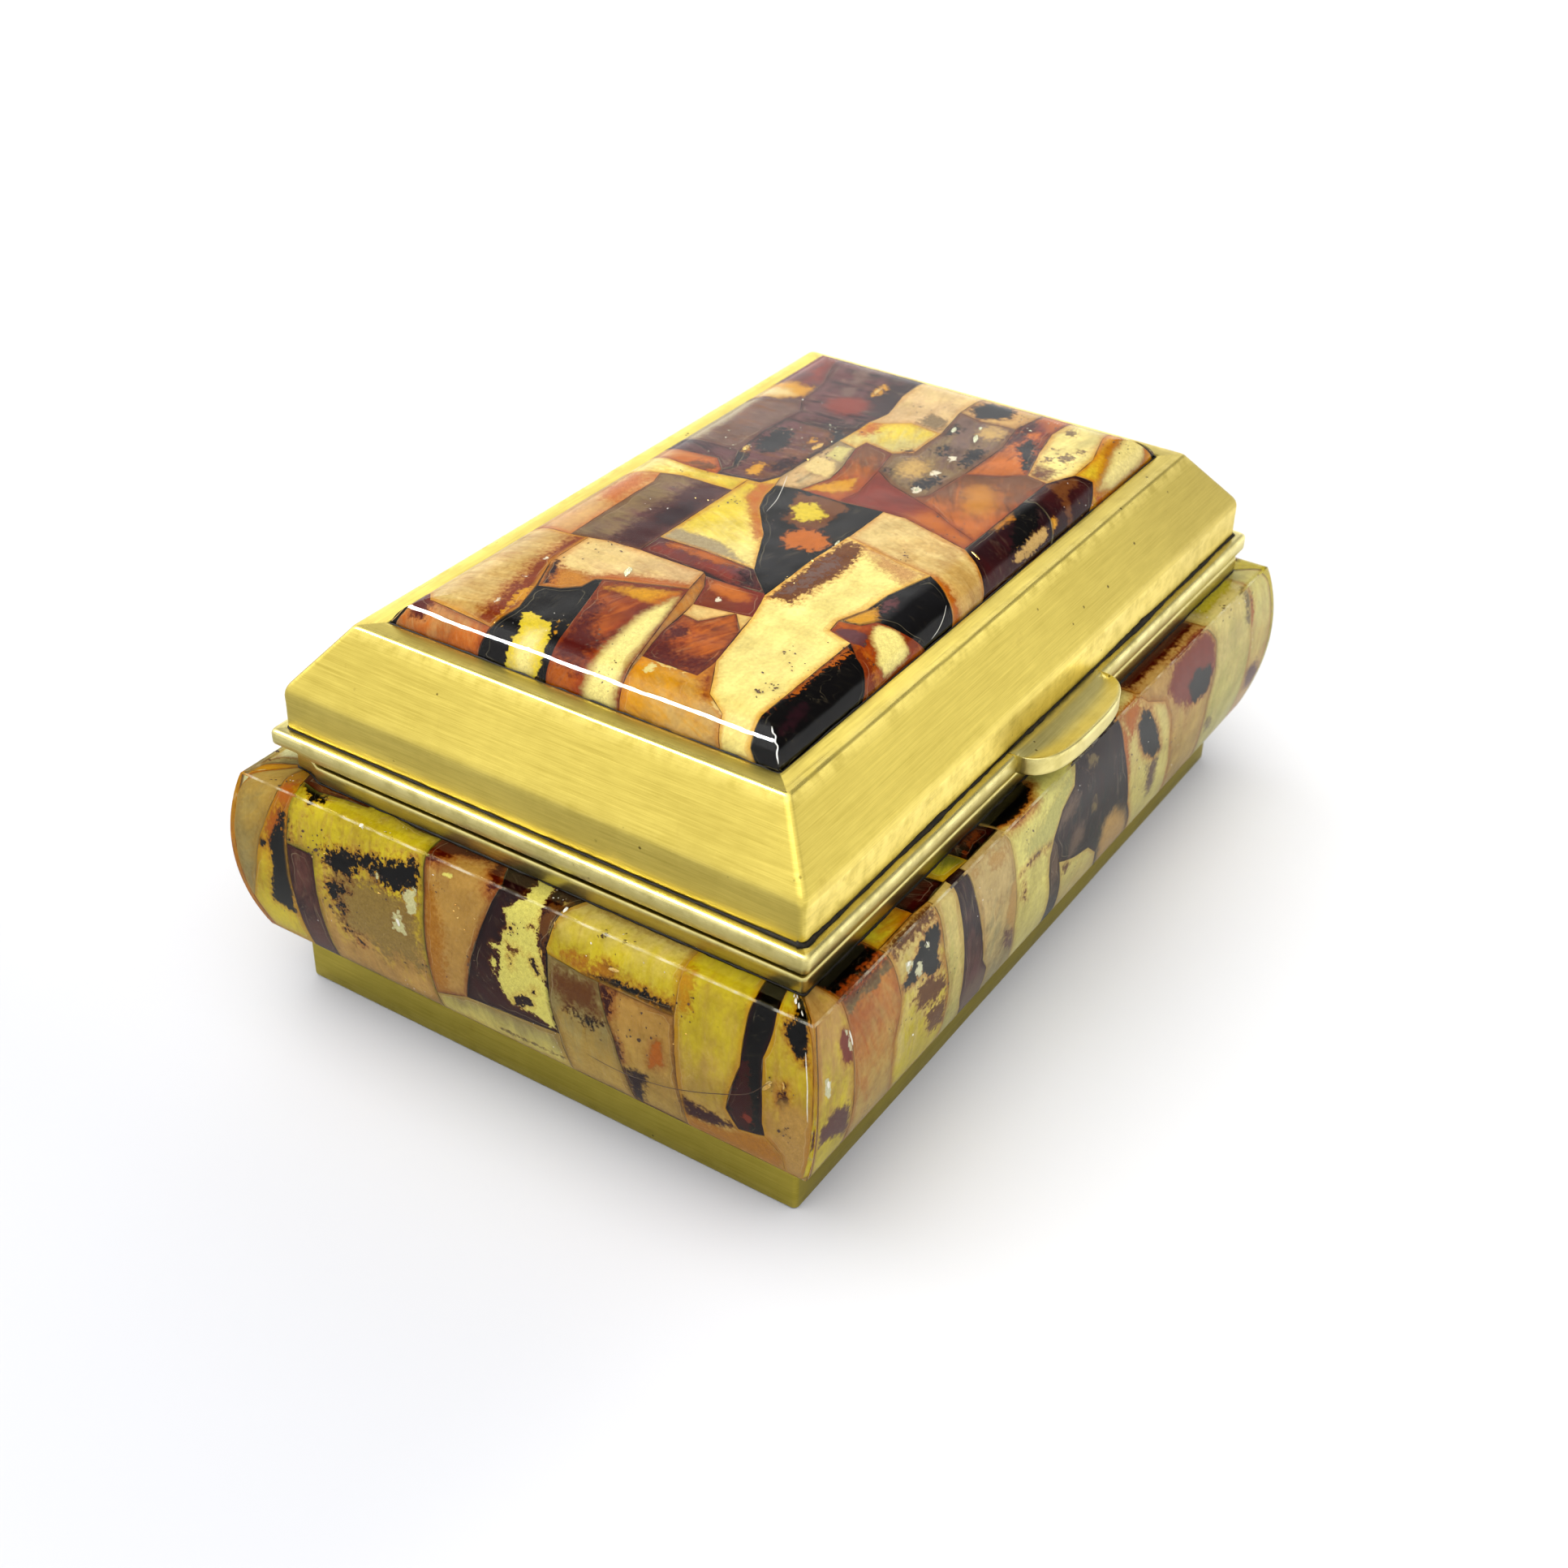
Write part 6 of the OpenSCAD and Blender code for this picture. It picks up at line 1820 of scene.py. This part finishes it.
# painted highlight: a thin white thread along the cushion's corner crease, for the light it catches
thread("top_corner_crease", TOP, CHIP, "lid",
       "-34.3,-18.9 -34.9,-19.4 -34.9,-19.75 -35.6,-20.1 -35.7,-20.6 -36.6,-21.0 -37.4,-21.9",
       radius=0.075, depth=0.03)
thread("top_hairline_b", TOP, CHIP, "lid", "-2,3.0 0.6,3.5 3.4,4.6 5.9,5.7",
       radius=0.035, depth=0.15)

for k, surface in enumerate((TOP, FRONT, LEFT, BACK, RIGHT), start=1):
    body = "lid" if surface is TOP else "casket"
    grit_clouds = 15 if surface in (LEFT, RIGHT) else 22
    sprinkle(f"{surface.name}_grit", surface, body, HAIR,
             random_groups(surface, grit_clouds, seed=100 + k), size=(.06, .17), seed=200 + k)
    # painted highlights: small white flakes for the glints of tiny bubbles
    sprinkle(f"{surface.name}_bubbles", surface, body, CHIP,
             random_groups(surface, 9, seed=300 + k, count=(2, 5)),
             size=(.05, .12), seed=400 + k)
    sprinkle(f"{surface.name}_glints", surface, body, LEAF,
             random_groups(surface, 8, seed=500 + k, count=(1, 4)),
             size=(.07, .20), seed=600 + k)
sprinkle("top_granite_grit", TOP, "lid", HAIR, [
    (14, 8, 2.2, 26), (19, 6.5, 1.8, 18), (12, 4.8, 1.2, 9), (31.5, -9, 1.6, 20),
    (-1, 13, 1.8, 14), (-29.5, -15.4, .5, 8), (-24, -14.8, 1.6, 12)], size=(.09, .24), seed=71)
sprinkle("top_granite_glints", TOP, "lid", GLINT,
         [(16, 7.5, 2.4, 10), (9, 14, 2, 6), (31, -9, 1.4, 5)],
         size=(.10, .22), seed=72)
sprinkle("left_grit_band", LEFT, "casket", HAIR, [
    (-22, 21.5, 1.4, 20), (-15, 20.5, 1.0, 12), (-4, 17, 1.0, 8), (15, 17.8, 1.6, 14),
    (-10, 12.5, 1.2, 8), (30.5, 13.5, .8, 9), (-21, 15.5, 1.0, 9)], size=(.08, .24), seed=73)


# ---------------------------------------------------------------- brass pieces
def fuller(swell, sink):
    """Per row, pushes the front and the two ends outwards by swell and down by sink; the
    hinge side stays as it is."""
    def bend(point, row):
        x, y, z = point
        share = 1 - min(1.0, max(0.0, (y - (HALF_Y - 4.5)) / 2.0))
        if abs(x) > HALF_X - 3.2:
            x += math.copysign(swell[row] * share, x)
        if y < -(HALF_Y - 3.2):
            y -= swell[row]
        return x, y, z - sink[row] * share
    return bend


def plinth_band():
    # grime values carry painted shade too, along the floor and under the bulging walls; wear values
    # carry a painted highlight on the lower rounded edge
    rows = [(-1.46, 0.02, .1), (-.45, .0, .3, .3),
            *arc_rows(-.35, .35, radius=.35, start=270, end=360, steps=4, corner=.55,
                      grime_and_shade=.35, wear=.35),
            (.0, 1.6, .55, .12), (.0, 3.4, .55, .0), (.0, 5.2, .55, .1), (.0, 6.4, .55, .5),
            *arc_rows(-.3, 6.7, radius=.3, start=0, end=90, steps=3, corner=.5, grime_and_shade=.75),
            (-1.46, 6.99, .1, .6)]
    ring_loft("plinth_band", rows, BRASS_PLINTH_AGED_SHADED, "casket", "plinth_frame",
              seed=1.0, unevenness=0.035)


def rim_band():
    out, low, high = RIM_OUT, RIM_BOTTOM, RIM_TOP
    # grime values carry painted shade too, darkest under the lid's plate and at the foot; wear
    # values carry a painted highlight on the rounded part
    rows = [(WALL_OUT - 1.16, low + .02, .1), (out - .22, low + .02, .35, .9),
            (out - .06, low + .16, .5, .7), (out - .01, low + .45, .6, .25),
            (out, low + .85, .6, .02), (out - .02, low + 1.25, .6, .0, .1),
            *arc_rows(out - .32, low + 1.50, radius=.30, start=8, end=90, steps=4, corner=.6,
                      wear=.45),
            (out - .62, low + 1.80, .5, .5, .0), (out - .80, low + 1.86, .4, 1.0),
            (out - .84, high - .25, .3, 1.0), (out - .95, high - .10, .3, .5, .2),
            (WALL_OUT - .9, high - .06, .2, .1, .3), (WALL_OUT - 1.13, high - .12, .15, .0, .4),
            (WALL_OUT - 1.17, high - .4, .1)]
    swell = [0.0, .7] + [.95] * 10 + [.80, .62, .35, .0, .0, .0]
    ring_loft("rim_band", rows, BRASS_RIM, "casket", "body_rim", seed=2.0,
              unevenness=0.03, bend=fuller(swell, [0.0] * len(rows)))


def lid_base_plate():
    out, low, high = PLATE_OUT, PLATE_BOTTOM, PLATE_TOP
    # grime values carry painted shade too, under the skirt and beneath the plate; wear values carry
    # a painted highlight, brightest on the rounded top edge
    rows = [(-4.9, low + .02, .1), (-1.6, low, .2, .6), (out - .36, low, .5, .5),
            *arc_rows(out - .14, low + .16, radius=.14, start=272, end=360, steps=2, corner=.7,
                      grime_and_shade=.15, wear=.3),
            (out, low + .70, .65, .0, .15),
            *arc_rows(out - .46, high - .48, radius=.46, start=0, end=90, steps=7, corner=.7,
                      wear=.85),
            (out - .66, high - .015, .7, .0, .5), (SHELL_OUT + .22, high - .02, .75, .10, .3),
            (SHELL_OUT + .05, high - .03, .75, .7), (SHELL_OUT - .3, high - .02, .7, 1.0),
            (-4.9, high - .02, .1)]
    sink = [0.0, .26] + [.30] * 4 + [.14] + [0.0] * (len(rows) - 7)
    ring_loft("lid_base_plate", rows, BRASS_RIM, "lid", "lid_flange", seed=3.0,
              unevenness=0.03, step=1.2, bend=fuller([0.0] * len(rows), sink))


def thumb_lip():
    """Lip on the front of the base plate, hollowed on top, with a crisp outer edge."""
    half_width = TAB_HALF - 0.10
    y_inner = -(HALF_Y + SHELL_OUT + 0.12)
    y_plate = -(HALF_Y + PLATE_OUT)
    reach = TAB_REACH - (HALF_Y + PLATE_OUT) + 0.35
    top, bottom = PLATE_TOP + 0.04, PLATE_BOTTOM - 0.30
    rim_radius, foot_radius = 0.17, 0.12
    steps = 64
    # profile: fraction or angle, part of the section
    profile = ([(f, "top") for f in (0.0, .12, .25, .4, .55, .7, .82, .92)]
               + [(a, "rim") for a in (90, 65, 40, 15)] + [(f, "side") for f in (.3, .6, .85)]
               + [(a, "foot") for a in (0, -45, -90)] + [(f, "bottom") for f in (.8, .4, 0.0)])
    # painted shade: the top darkened next to the skirt, with grime
    top_grime_and_shade = {0.0: 1.0, .12: .55, .25: .2}
    verts, grime_and_shade, wear, flat = [], [], [], []
    for i in range(steps + 1):
        x = -half_width * math.cos(math.pi * i / steps)
        bulge = reach * max(0.0, 1 - (abs(x) / half_width) ** 3.0) ** 0.42
        y_outer = y_plate - bulge
        span = y_inner - y_outer
        for value, part in profile:
            if part == "top":
                y = y_inner - (span - rim_radius) * value
                t = max(0.0, (value - 0.22) / 0.78)
                z = top - 0.40 * math.sin(math.pi * min(1.0, t) ** 0.8) * min(1.0, bulge / 1.6)
            elif part == "rim":
                a = math.radians(value)
                y = y_outer + rim_radius - rim_radius * math.cos(a)
                z = top - rim_radius + rim_radius * math.sin(a)
            elif part == "side":
                y = y_outer
                z = top - rim_radius - (top - bottom - rim_radius - foot_radius) * value
            elif part == "foot":
                a = math.radians(value)
                y = y_outer + foot_radius - foot_radius * math.cos(a)
                z = bottom + foot_radius + foot_radius * math.sin(a)
            else:
                y, z = y_inner - (span - foot_radius) * value, bottom
            verts.append(wobble((x, y, z), 0.02, seed=4.0))
            if part == "top":
                grime_and_shade.append(top_grime_and_shade.get(value, 0.0))
            else:
                grime_and_shade.append(0.3 if part in ("foot", "bottom") else 0.0)
            # wear with painted highlight: brightest on the rounded outer edge, lighter on the side
            # and the outer top
            if part == "rim":
                wear.append(0.9)
            else:
                wear.append(0.35 if part == "side" or (part == "top" and value > .6) else 0.05)
            flat.append((x / 100, (y_inner - y) / 100 + 7 + (top - z) / 100))
    count = len(profile)
    faces = band_faces(steps + 1, count)
    faces.append(list(range(count)))
    faces.append([steps * count + i for i in range(count)][::-1])
    corners = [k for face in faces for k in face]
    mesh_object("thumb_lip", verts, faces, [BRASS_RIM], "lid", "thumb_tab",
                sharp=40, floats={"crev": grime_and_shade, "wear": wear}, uv=[flat[k] for k in corners],
                brush=[(1, 0, 0)] * len(corners))


def lid_shell():
    """The pressed shell: skirt, slope and flat strip outside, then back along the inside."""
    out, foot = SHELL_OUT, PLATE_TOP
    rise = SHELL_TOP - SKIRT_TOP
    slope = math.degrees(math.atan2(rise, -SLOPE_IN))
    # grime values carry painted shade too, at the skirt's foot and inside by the cushion; wear
    # values carry a painted highlight on the strip's rounded edge
    rows = [(out - .12, foot + .0, .65, 1.0), (out - .02, foot + .16, .75, .85),
            (out, foot + .45, .8, .35), (out, foot + 1.2, .8, .12),
            (out - .01, foot + 2.4, .8, .06),
            *fillet_rows(out, SKIRT_TOP, before=90, after=slope, radius=2.0, steps=7,
                         corner=.8, grime_and_shade=0, wear=.10)]
    for part in (.22, .42, .62, .80):
        rows.append((out - SLOPE_IN * part, SKIRT_TOP + rise * part, .8 - .15 * part, .02))
    rows += fillet_rows(STRIP_OUT, SHELL_TOP, before=slope, after=180, radius=.55, steps=6,
                        corner=.6, grime_and_shade=.0, wear=.9)
    floor_z = CUSHION_BOTTOM + .02
    rows += [(STRIP_OUT - 1.0, SHELL_TOP, .5, .0, .1), (STRIP_OUT - 1.9, SHELL_TOP, .4, .12, .0),
             (STRIP_OUT - 2.22, SHELL_TOP - .01, .3, .75),
             (STRIP_OUT - 2.34, SHELL_TOP - .10, .25, 1.0),
             (STRIP_OUT - 2.34, CUSHION_BOTTOM + .03, .25, 1.0),
             (-16, floor_z, 1, .4), (-28, floor_z, 1, .4)]
    hollow = SHELL_TOP - 1.2 - 1.1
    rows += [(-28, hollow, 1), (-16, hollow, 1), (STRIP_OUT - .7, hollow, .5),
             (out - 1.35, SKIRT_TOP - .35, .6), (out - 1.15, foot + .4, .6),
             (out - 1.1, foot + .02, .6)]
    # painted light: rows 2 to 6 of the front skirt are painted brighter
    ring_loft("lid_shell_brass", rows, BRASS, "lid", "lid_shell", seed=5.0,
              unevenness=0.045, step=1.4, front_painted_light=(2, 6, 0.55), sharp=48)


plinth_band()
rim_band()
lid_base_plate()
thumb_lip()
lid_shell()


# ---------------------------------------------------------------- seams
def seam(name, out, z, width, height, material, body, seed, corner=0.8, front=1.0,
         back=0.0):
    """A thin dark bead along a joint, uneven in width. front scales it on the front, back
    draws it inwards towards the hinge side."""
    verts = []
    # section: outwards, upwards
    section = ((-.05, -.02), (width, -.02), (width * .55, height * .5), (-.05, height))
    for k, (outwards, upwards) in enumerate(section):
        base = max(outwards, 0)
        for x, y, _ in (p for side in loop_sides(out + base, corner, 0.7) for p in side[:-1]):
            fine = mnoise.noise(Vector((x * 0.9 + seed, y * 0.9, k * 0.2)))
            slow = mnoise.noise(Vector((x * 0.13 + seed, y * 0.13, 4.0)))
            size = (1 + (fine * .9 + slow * 1.1)) * (front if y < -(HALF_Y - 1) else 1.0)
            direction = Vector((x, y, 0)).normalized()
            reach = outwards * max(.15, size) if outwards > 0 else outwards
            if back and y > HALF_Y - 4.5:
                share = min(1.0, (y - (HALF_Y - 4.5)) / 2.0)
                if abs(x) > HALF_X - 3.2:
                    x -= math.copysign(back * share, x)
                if y > HALF_Y - 1:
                    y -= back
            verts.append((x + direction.x * (reach - base) * .9,
                          y + direction.y * (reach - base) * .9,
                          z + upwards * (max(.2, size) if upwards > 0 else 1)))
    faces = band_faces(len(section), len(verts) // len(section), closed=True)
    mesh_object(name, verts, faces, [material], body, sharp=None)


seam("lid_solder_seam", SHELL_OUT, PLATE_TOP - .03, .15, .17, SEAM, "lid",
     seed=1.0, front=1.9)
seam("rim_glue_line", RIM_OUT + .80, RIM_BOTTOM - .02, .20, .16, GLUE, "casket",
     seed=2.0, corner=.5, back=.95)
seam("cushion_glue_line", STRIP_OUT - 2.36, SHELL_TOP - .14, .06, .15, GLUE, "lid",
     seed=3.0, corner=.25)
seam("plinth_glue_line", .0, PLINTH_TOP + .01, .10, .12, GLUE, "casket",
     seed=4.0, corner=.5)


# ---------------------------------------------------------------- soft pieces
def velvet(name, deep, lit, sheen):
    net = new_material(name)
    point = net.object_mm()
    nap = net.noise(point, scale=0.12, detail=4.0, rough=0.6, distort=0.5)
    fibre = net.noise(point, scale=9.0, detail=3.0, rough=0.6)
    middle = net.noise(point, scale=1.6, detail=4.0, rough=0.65)
    colour = net.mix(net.step(nap + (middle - 0.5) * 0.7, low=0.32, high=0.68), deep, lit)
    colour = net.tint(colour, net.mix(fibre, (0.7, 0.7, 0.7), (1.3, 1.3, 1.3)))
    return net.finish(net.principled({
        "Base Color": colour,
        "Roughness": 0.95,
        "Specular IOR Level": 0.15,
        "Sheen Weight": sheen,
        "Sheen Roughness": 0.4,
        "Sheen Tint": tuple(min(1, c * 3 + .15) for c in lit),
        "Normal": net.bump(fibre * 0.7 + middle * 1.2, strength=0.6, distance=0.00012)}))


VELVET = velvet("velvet_wine", (0.060, 0.006, 0.010), (0.21, 0.022, 0.034), sheen=0.8)
FELT = velvet("felt_dark", (0.010, 0.008, 0.007), (0.040, 0.030, 0.024), sheen=0.25)


def box_grid(low, high, cell):
    """Surface grid of a box, finer towards its edges."""
    counts = [max(2, int(math.ceil((high[k] - low[k]) / cell))) for k in range(3)]
    verts, faces, known = [], [], {}

    def vertex(place):
        if place not in known:
            known[place] = len(verts)
            parts = [i / n for i, n in zip(place, counts)]
            eased = [0.5 - 0.5 * math.cos(math.pi * t) if n > 2 else t
                     for t, n in zip(parts, counts)]
            blend = [0.6 * t + 0.4 * q for t, q in zip(parts, eased)]
            verts.append(low + (high - low) * np.array(blend))
        return known[place]

    for axis in range(3):
        first, second = [a for a in range(3) if a != axis]
        for side in (0, counts[axis]):
            for p in range(counts[first]):
                for q in range(counts[second]):
                    face = []
                    for dp, dq in ((0, 0), (1, 0), (1, 1), (0, 1)):
                        place = [0, 0, 0]
                        place[axis], place[first], place[second] = side, p + dp, q + dq
                        face.append(vertex(tuple(place)))
                    faces.append(face)
    return np.array(verts), faces


def pad(name, node, material, body, crown=None, radius=0.45, cell=0.8, pucker=0.0,
        seed=0.0):
    """A padded panel in place of a CAD piece: a rounded box, crowned on one side by
    (axis, sign, rise), its edges slightly gathered."""
    low, high = (np.array(corner) for corner in box_mm(node))
    verts, faces = box_grid(low, high, cell)
    radius = min(radius, float((high - low).min()) * 0.49)
    core = np.clip(verts, low + radius, high - radius)
    away = verts - core
    length = np.linalg.norm(away, axis=1, keepdims=True)
    verts = np.where(length > 1e-6, core + away / np.maximum(length, 1e-9) * radius, verts)
    if crown:
        axis, sign, rise = crown
        from_middle = [np.abs(verts[:, a] - (low + high)[a] / 2) / ((high - low)[a] / 2)
                       for a in range(3) if a != axis]
        side = (verts[:, axis] - low[axis]) / (high - low)[axis]
        side = side if sign > 0 else 1 - side
        dome = (1 - np.clip(from_middle[0], 0, 1) ** 5) * (1 - np.clip(from_middle[1], 0, 1) ** 5)
        lump = np.array([mnoise.noise(Vector((x * .11 + seed, y * .11, z * .11)))
                         for x, y, z in verts])
        fold = np.array([mnoise.noise(Vector((x * .5 + seed, y * .5, z * .5 + 9)))
                         for x, y, z in verts])
        furthest = np.maximum(*from_middle)
        near_edge = np.clip(furthest, 0, 1) ** 6 * (furthest < .995)
        verts[:, axis] += sign * side * (rise * dome * (1 + .35 * lump)
                                         + pucker * near_edge * fold)
    mesh_object(name, verts, faces, [material], body, node, sharp=60)


for side, crown in (("floor", (2, 1, .55)), ("front", (1, 1, .35)), ("back", (1, -1, .35)),
                    ("left", (0, 1, .35)), ("right", (0, -1, .35))):
    node = "lining_" + side
    pad("velvet_" + side, node, VELVET, "casket", crown, pucker=.18,
        seed=len(node) * 1.7)
pad("velvet_lid", "lid_lining", VELVET, "lid", (2, -1, 1.4), pucker=.22, seed=4.4)
pad("felt_sole", "base_felt", FELT, "casket", radius=.3, cell=1.6)

# CAD pieces that stay
for node, material in (("body_tray", BRASS_SHEET), ("hinge_leaf_body", BRASS_SHEET),
                       ("hinge_leaf_lid", BRASS_SHEET), ("hinge_pin", BRASS_PIN)):
    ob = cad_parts[node]
    if not ob.material_slots:
        ob.data.materials.append(material)
    for material_slot in ob.material_slots:
        material_slot.material = material


# ---------------------------------------------------------------- stage
def floor_material():
    net = new_material("studio_floor")
    point = net.object_mm()
    ray = net.make("ShaderNodeLightPath", output="Is Camera Ray")
    seen = net.mix(net.noise(point, scale=0.02, detail=3.0),
                   (0.84, 0.845, 0.865), (0.86, 0.865, 0.88))
    tone = net.mix(ray, (0.66, 0.66, 0.66), seen)
    x, y, _ = net.split_xyz(point)
    # painted shade: the floor darkened a little towards the left
    away = net.step(x * -1.0, low=15.0, high=75.0)
    away = away * (1.0 - net.step(y * -1.0, low=15.0, high=60.0))
    # painted light: in front the floor glows for glossy rays only, so that the polished faces mirror
    # it brighter
    painted_glow_ahead = (net.step(y * -1.0, low=37.0, high=60.0) * net.step(x, low=-70.0, high=0.0))
    return net.finish(net.principled({
        "Base Color": net.tint(tone, net.mix(away, (1.0, 1.0, 1.0), (0.84, 0.845, 0.865))),
        "Roughness": 0.7,
        "Specular IOR Level": 0.15,
        "Emission Color": (1.0, 0.99, 0.97),
        "Emission Strength": painted_glow_ahead * (ray.sibling("Is Glossy Ray") * 0.45)}))


def build_floor():
    size = 4    # half side, in metres
    mesh = bpy.data.meshes.new("studio_floor")
    mesh.from_pydata([(-size, -size, 0), (size, -size, 0), (size, size, 0), (-size, size, 0)],
                     [], [(0, 1, 2, 3)])
    mesh.materials.append(floor_material())
    floor = bpy.data.objects.new("studio_floor", mesh)
    bpy.context.scene.collection.objects.link(floor)


def build_world():
    """Bright low down all round, a paler room on the left, a dim one high on the right."""
    world = bpy.data.worlds.new("studio")
    bpy.context.scene.world = world
    net = Graph(world)
    direction = net.make("ShaderNodeTexCoord", output="Generated")

    def lobe(towards, low, high):
        facing = net.make("ShaderNodeVectorMath",
                          {0: direction, 1: Vector(towards).normalized()}, "Value",
                          operation="DOT_PRODUCT")
        return net.step(facing, low, high)

    height = net.split_xyz(direction)[2]
    below = 1.0 - net.step(height, low=0.40, high=0.53)
    room = 0.92 + net.step(height, low=0.62, high=0.95) * 0.55
    dim = below * 0.98 + (1.0 - below) * 0.20
    right_side = lobe((0.985, 0.02, 0.17), low=0.30, high=0.72)
    strength = right_side * dim + (1.0 - right_side) * room
    # a bright patch at the back right, mirrored flat in the far end of the cushion
    strength = strength + lobe((0.82, 0.52, 0.27), low=0.905, high=0.975) * 0.48
    # the camera itself sees an even backdrop
    camera_ray = net.make("ShaderNodeLightPath", output="Is Camera Ray")
    strength = strength * (1.0 - camera_ray) + camera_ray * 1.05
    background = net.make("ShaderNodeBackground", {0: (1.0, 0.995, 0.985), 1: strength})
    net.finish(background, "ShaderNodeOutputWorld")


def softbox(name, direction, distance, width, height, radiance):
    """An area lamp, sizes in metres, aimed at the middle of the casket."""
    towards = Vector(direction).normalized()
    light = bpy.data.lights.new(name, "AREA")
    light.shape = "RECTANGLE"
    light.size, light.size_y = width, height
    light.energy = radiance * math.pi * width * height
    ob = bpy.data.objects.new(name, light)
    ob.location = Vector((0, 0, 0.035)) + towards * distance
    ob.rotation_euler = (-towards).to_track_quat("-Z", "Y").to_euler()
    bpy.context.scene.collection.objects.link(ob)
    return ob


build_floor()
build_world()
strip_lamp = softbox("strip_lamp", (-0.20, 0.47, 0.86), distance=1.3, width=0.15, height=0.66,
                     radiance=60.0)
strip_lamp.visible_diffuse = False
softbox("overhead_softbox", (-0.10, 0.30, 0.95), distance=1.6, width=1.3, height=1.3,
        radiance=0.45)


# ---------------------------------------------------------------- camera
def build_camera():
    """Looks down at the casket from the front left. Place in metres, angles in radians."""
    place = (-0.1593, -0.0995694, 0.1390556)
    yaw, pitch, roll = 0.5651109, -0.6025967, 0.0245946
    forward = Vector((math.cos(pitch) * math.cos(yaw), math.cos(pitch) * math.sin(yaw),
                      math.sin(pitch)))
    level = Vector((math.sin(yaw), -math.cos(yaw), 0.0))
    upright = level.cross(forward)
    right = level * math.cos(roll) + upright * math.sin(roll)
    up = -level * math.sin(roll) + upright * math.cos(roll)
    data = bpy.data.cameras.new("camera")
    data.sensor_width = 36.0
    data.lens = 48.10612733
    data.clip_start, data.clip_end = 0.005, 50.0
    data.dof.use_dof = True
    data.dof.focus_distance = 0.192
    data.dof.aperture_fstop = 60.0
    camera = bpy.data.objects.new("camera", data)
    matrix = Matrix.Identity(4)
    for i in range(3):
        matrix[i] = (right[i], up[i], -forward[i], place[i])
    camera.matrix_world = matrix
    bpy.context.scene.collection.objects.link(camera)
    bpy.context.scene.camera = camera


build_camera()

scene = bpy.context.scene
scene.view_settings.view_transform = "Standard"
scene.view_settings.look = "Medium High Contrast"
scene.view_settings.exposure = 0.14
scene.cycles.use_denoising = True
scene.cycles.transparent_max_bounces = 24
scene.cycles.transmission_bounces = 12
scene.cycles.max_bounces = 14
scene.cycles.caustics_reflective = False
scene.cycles.caustics_refractive = False
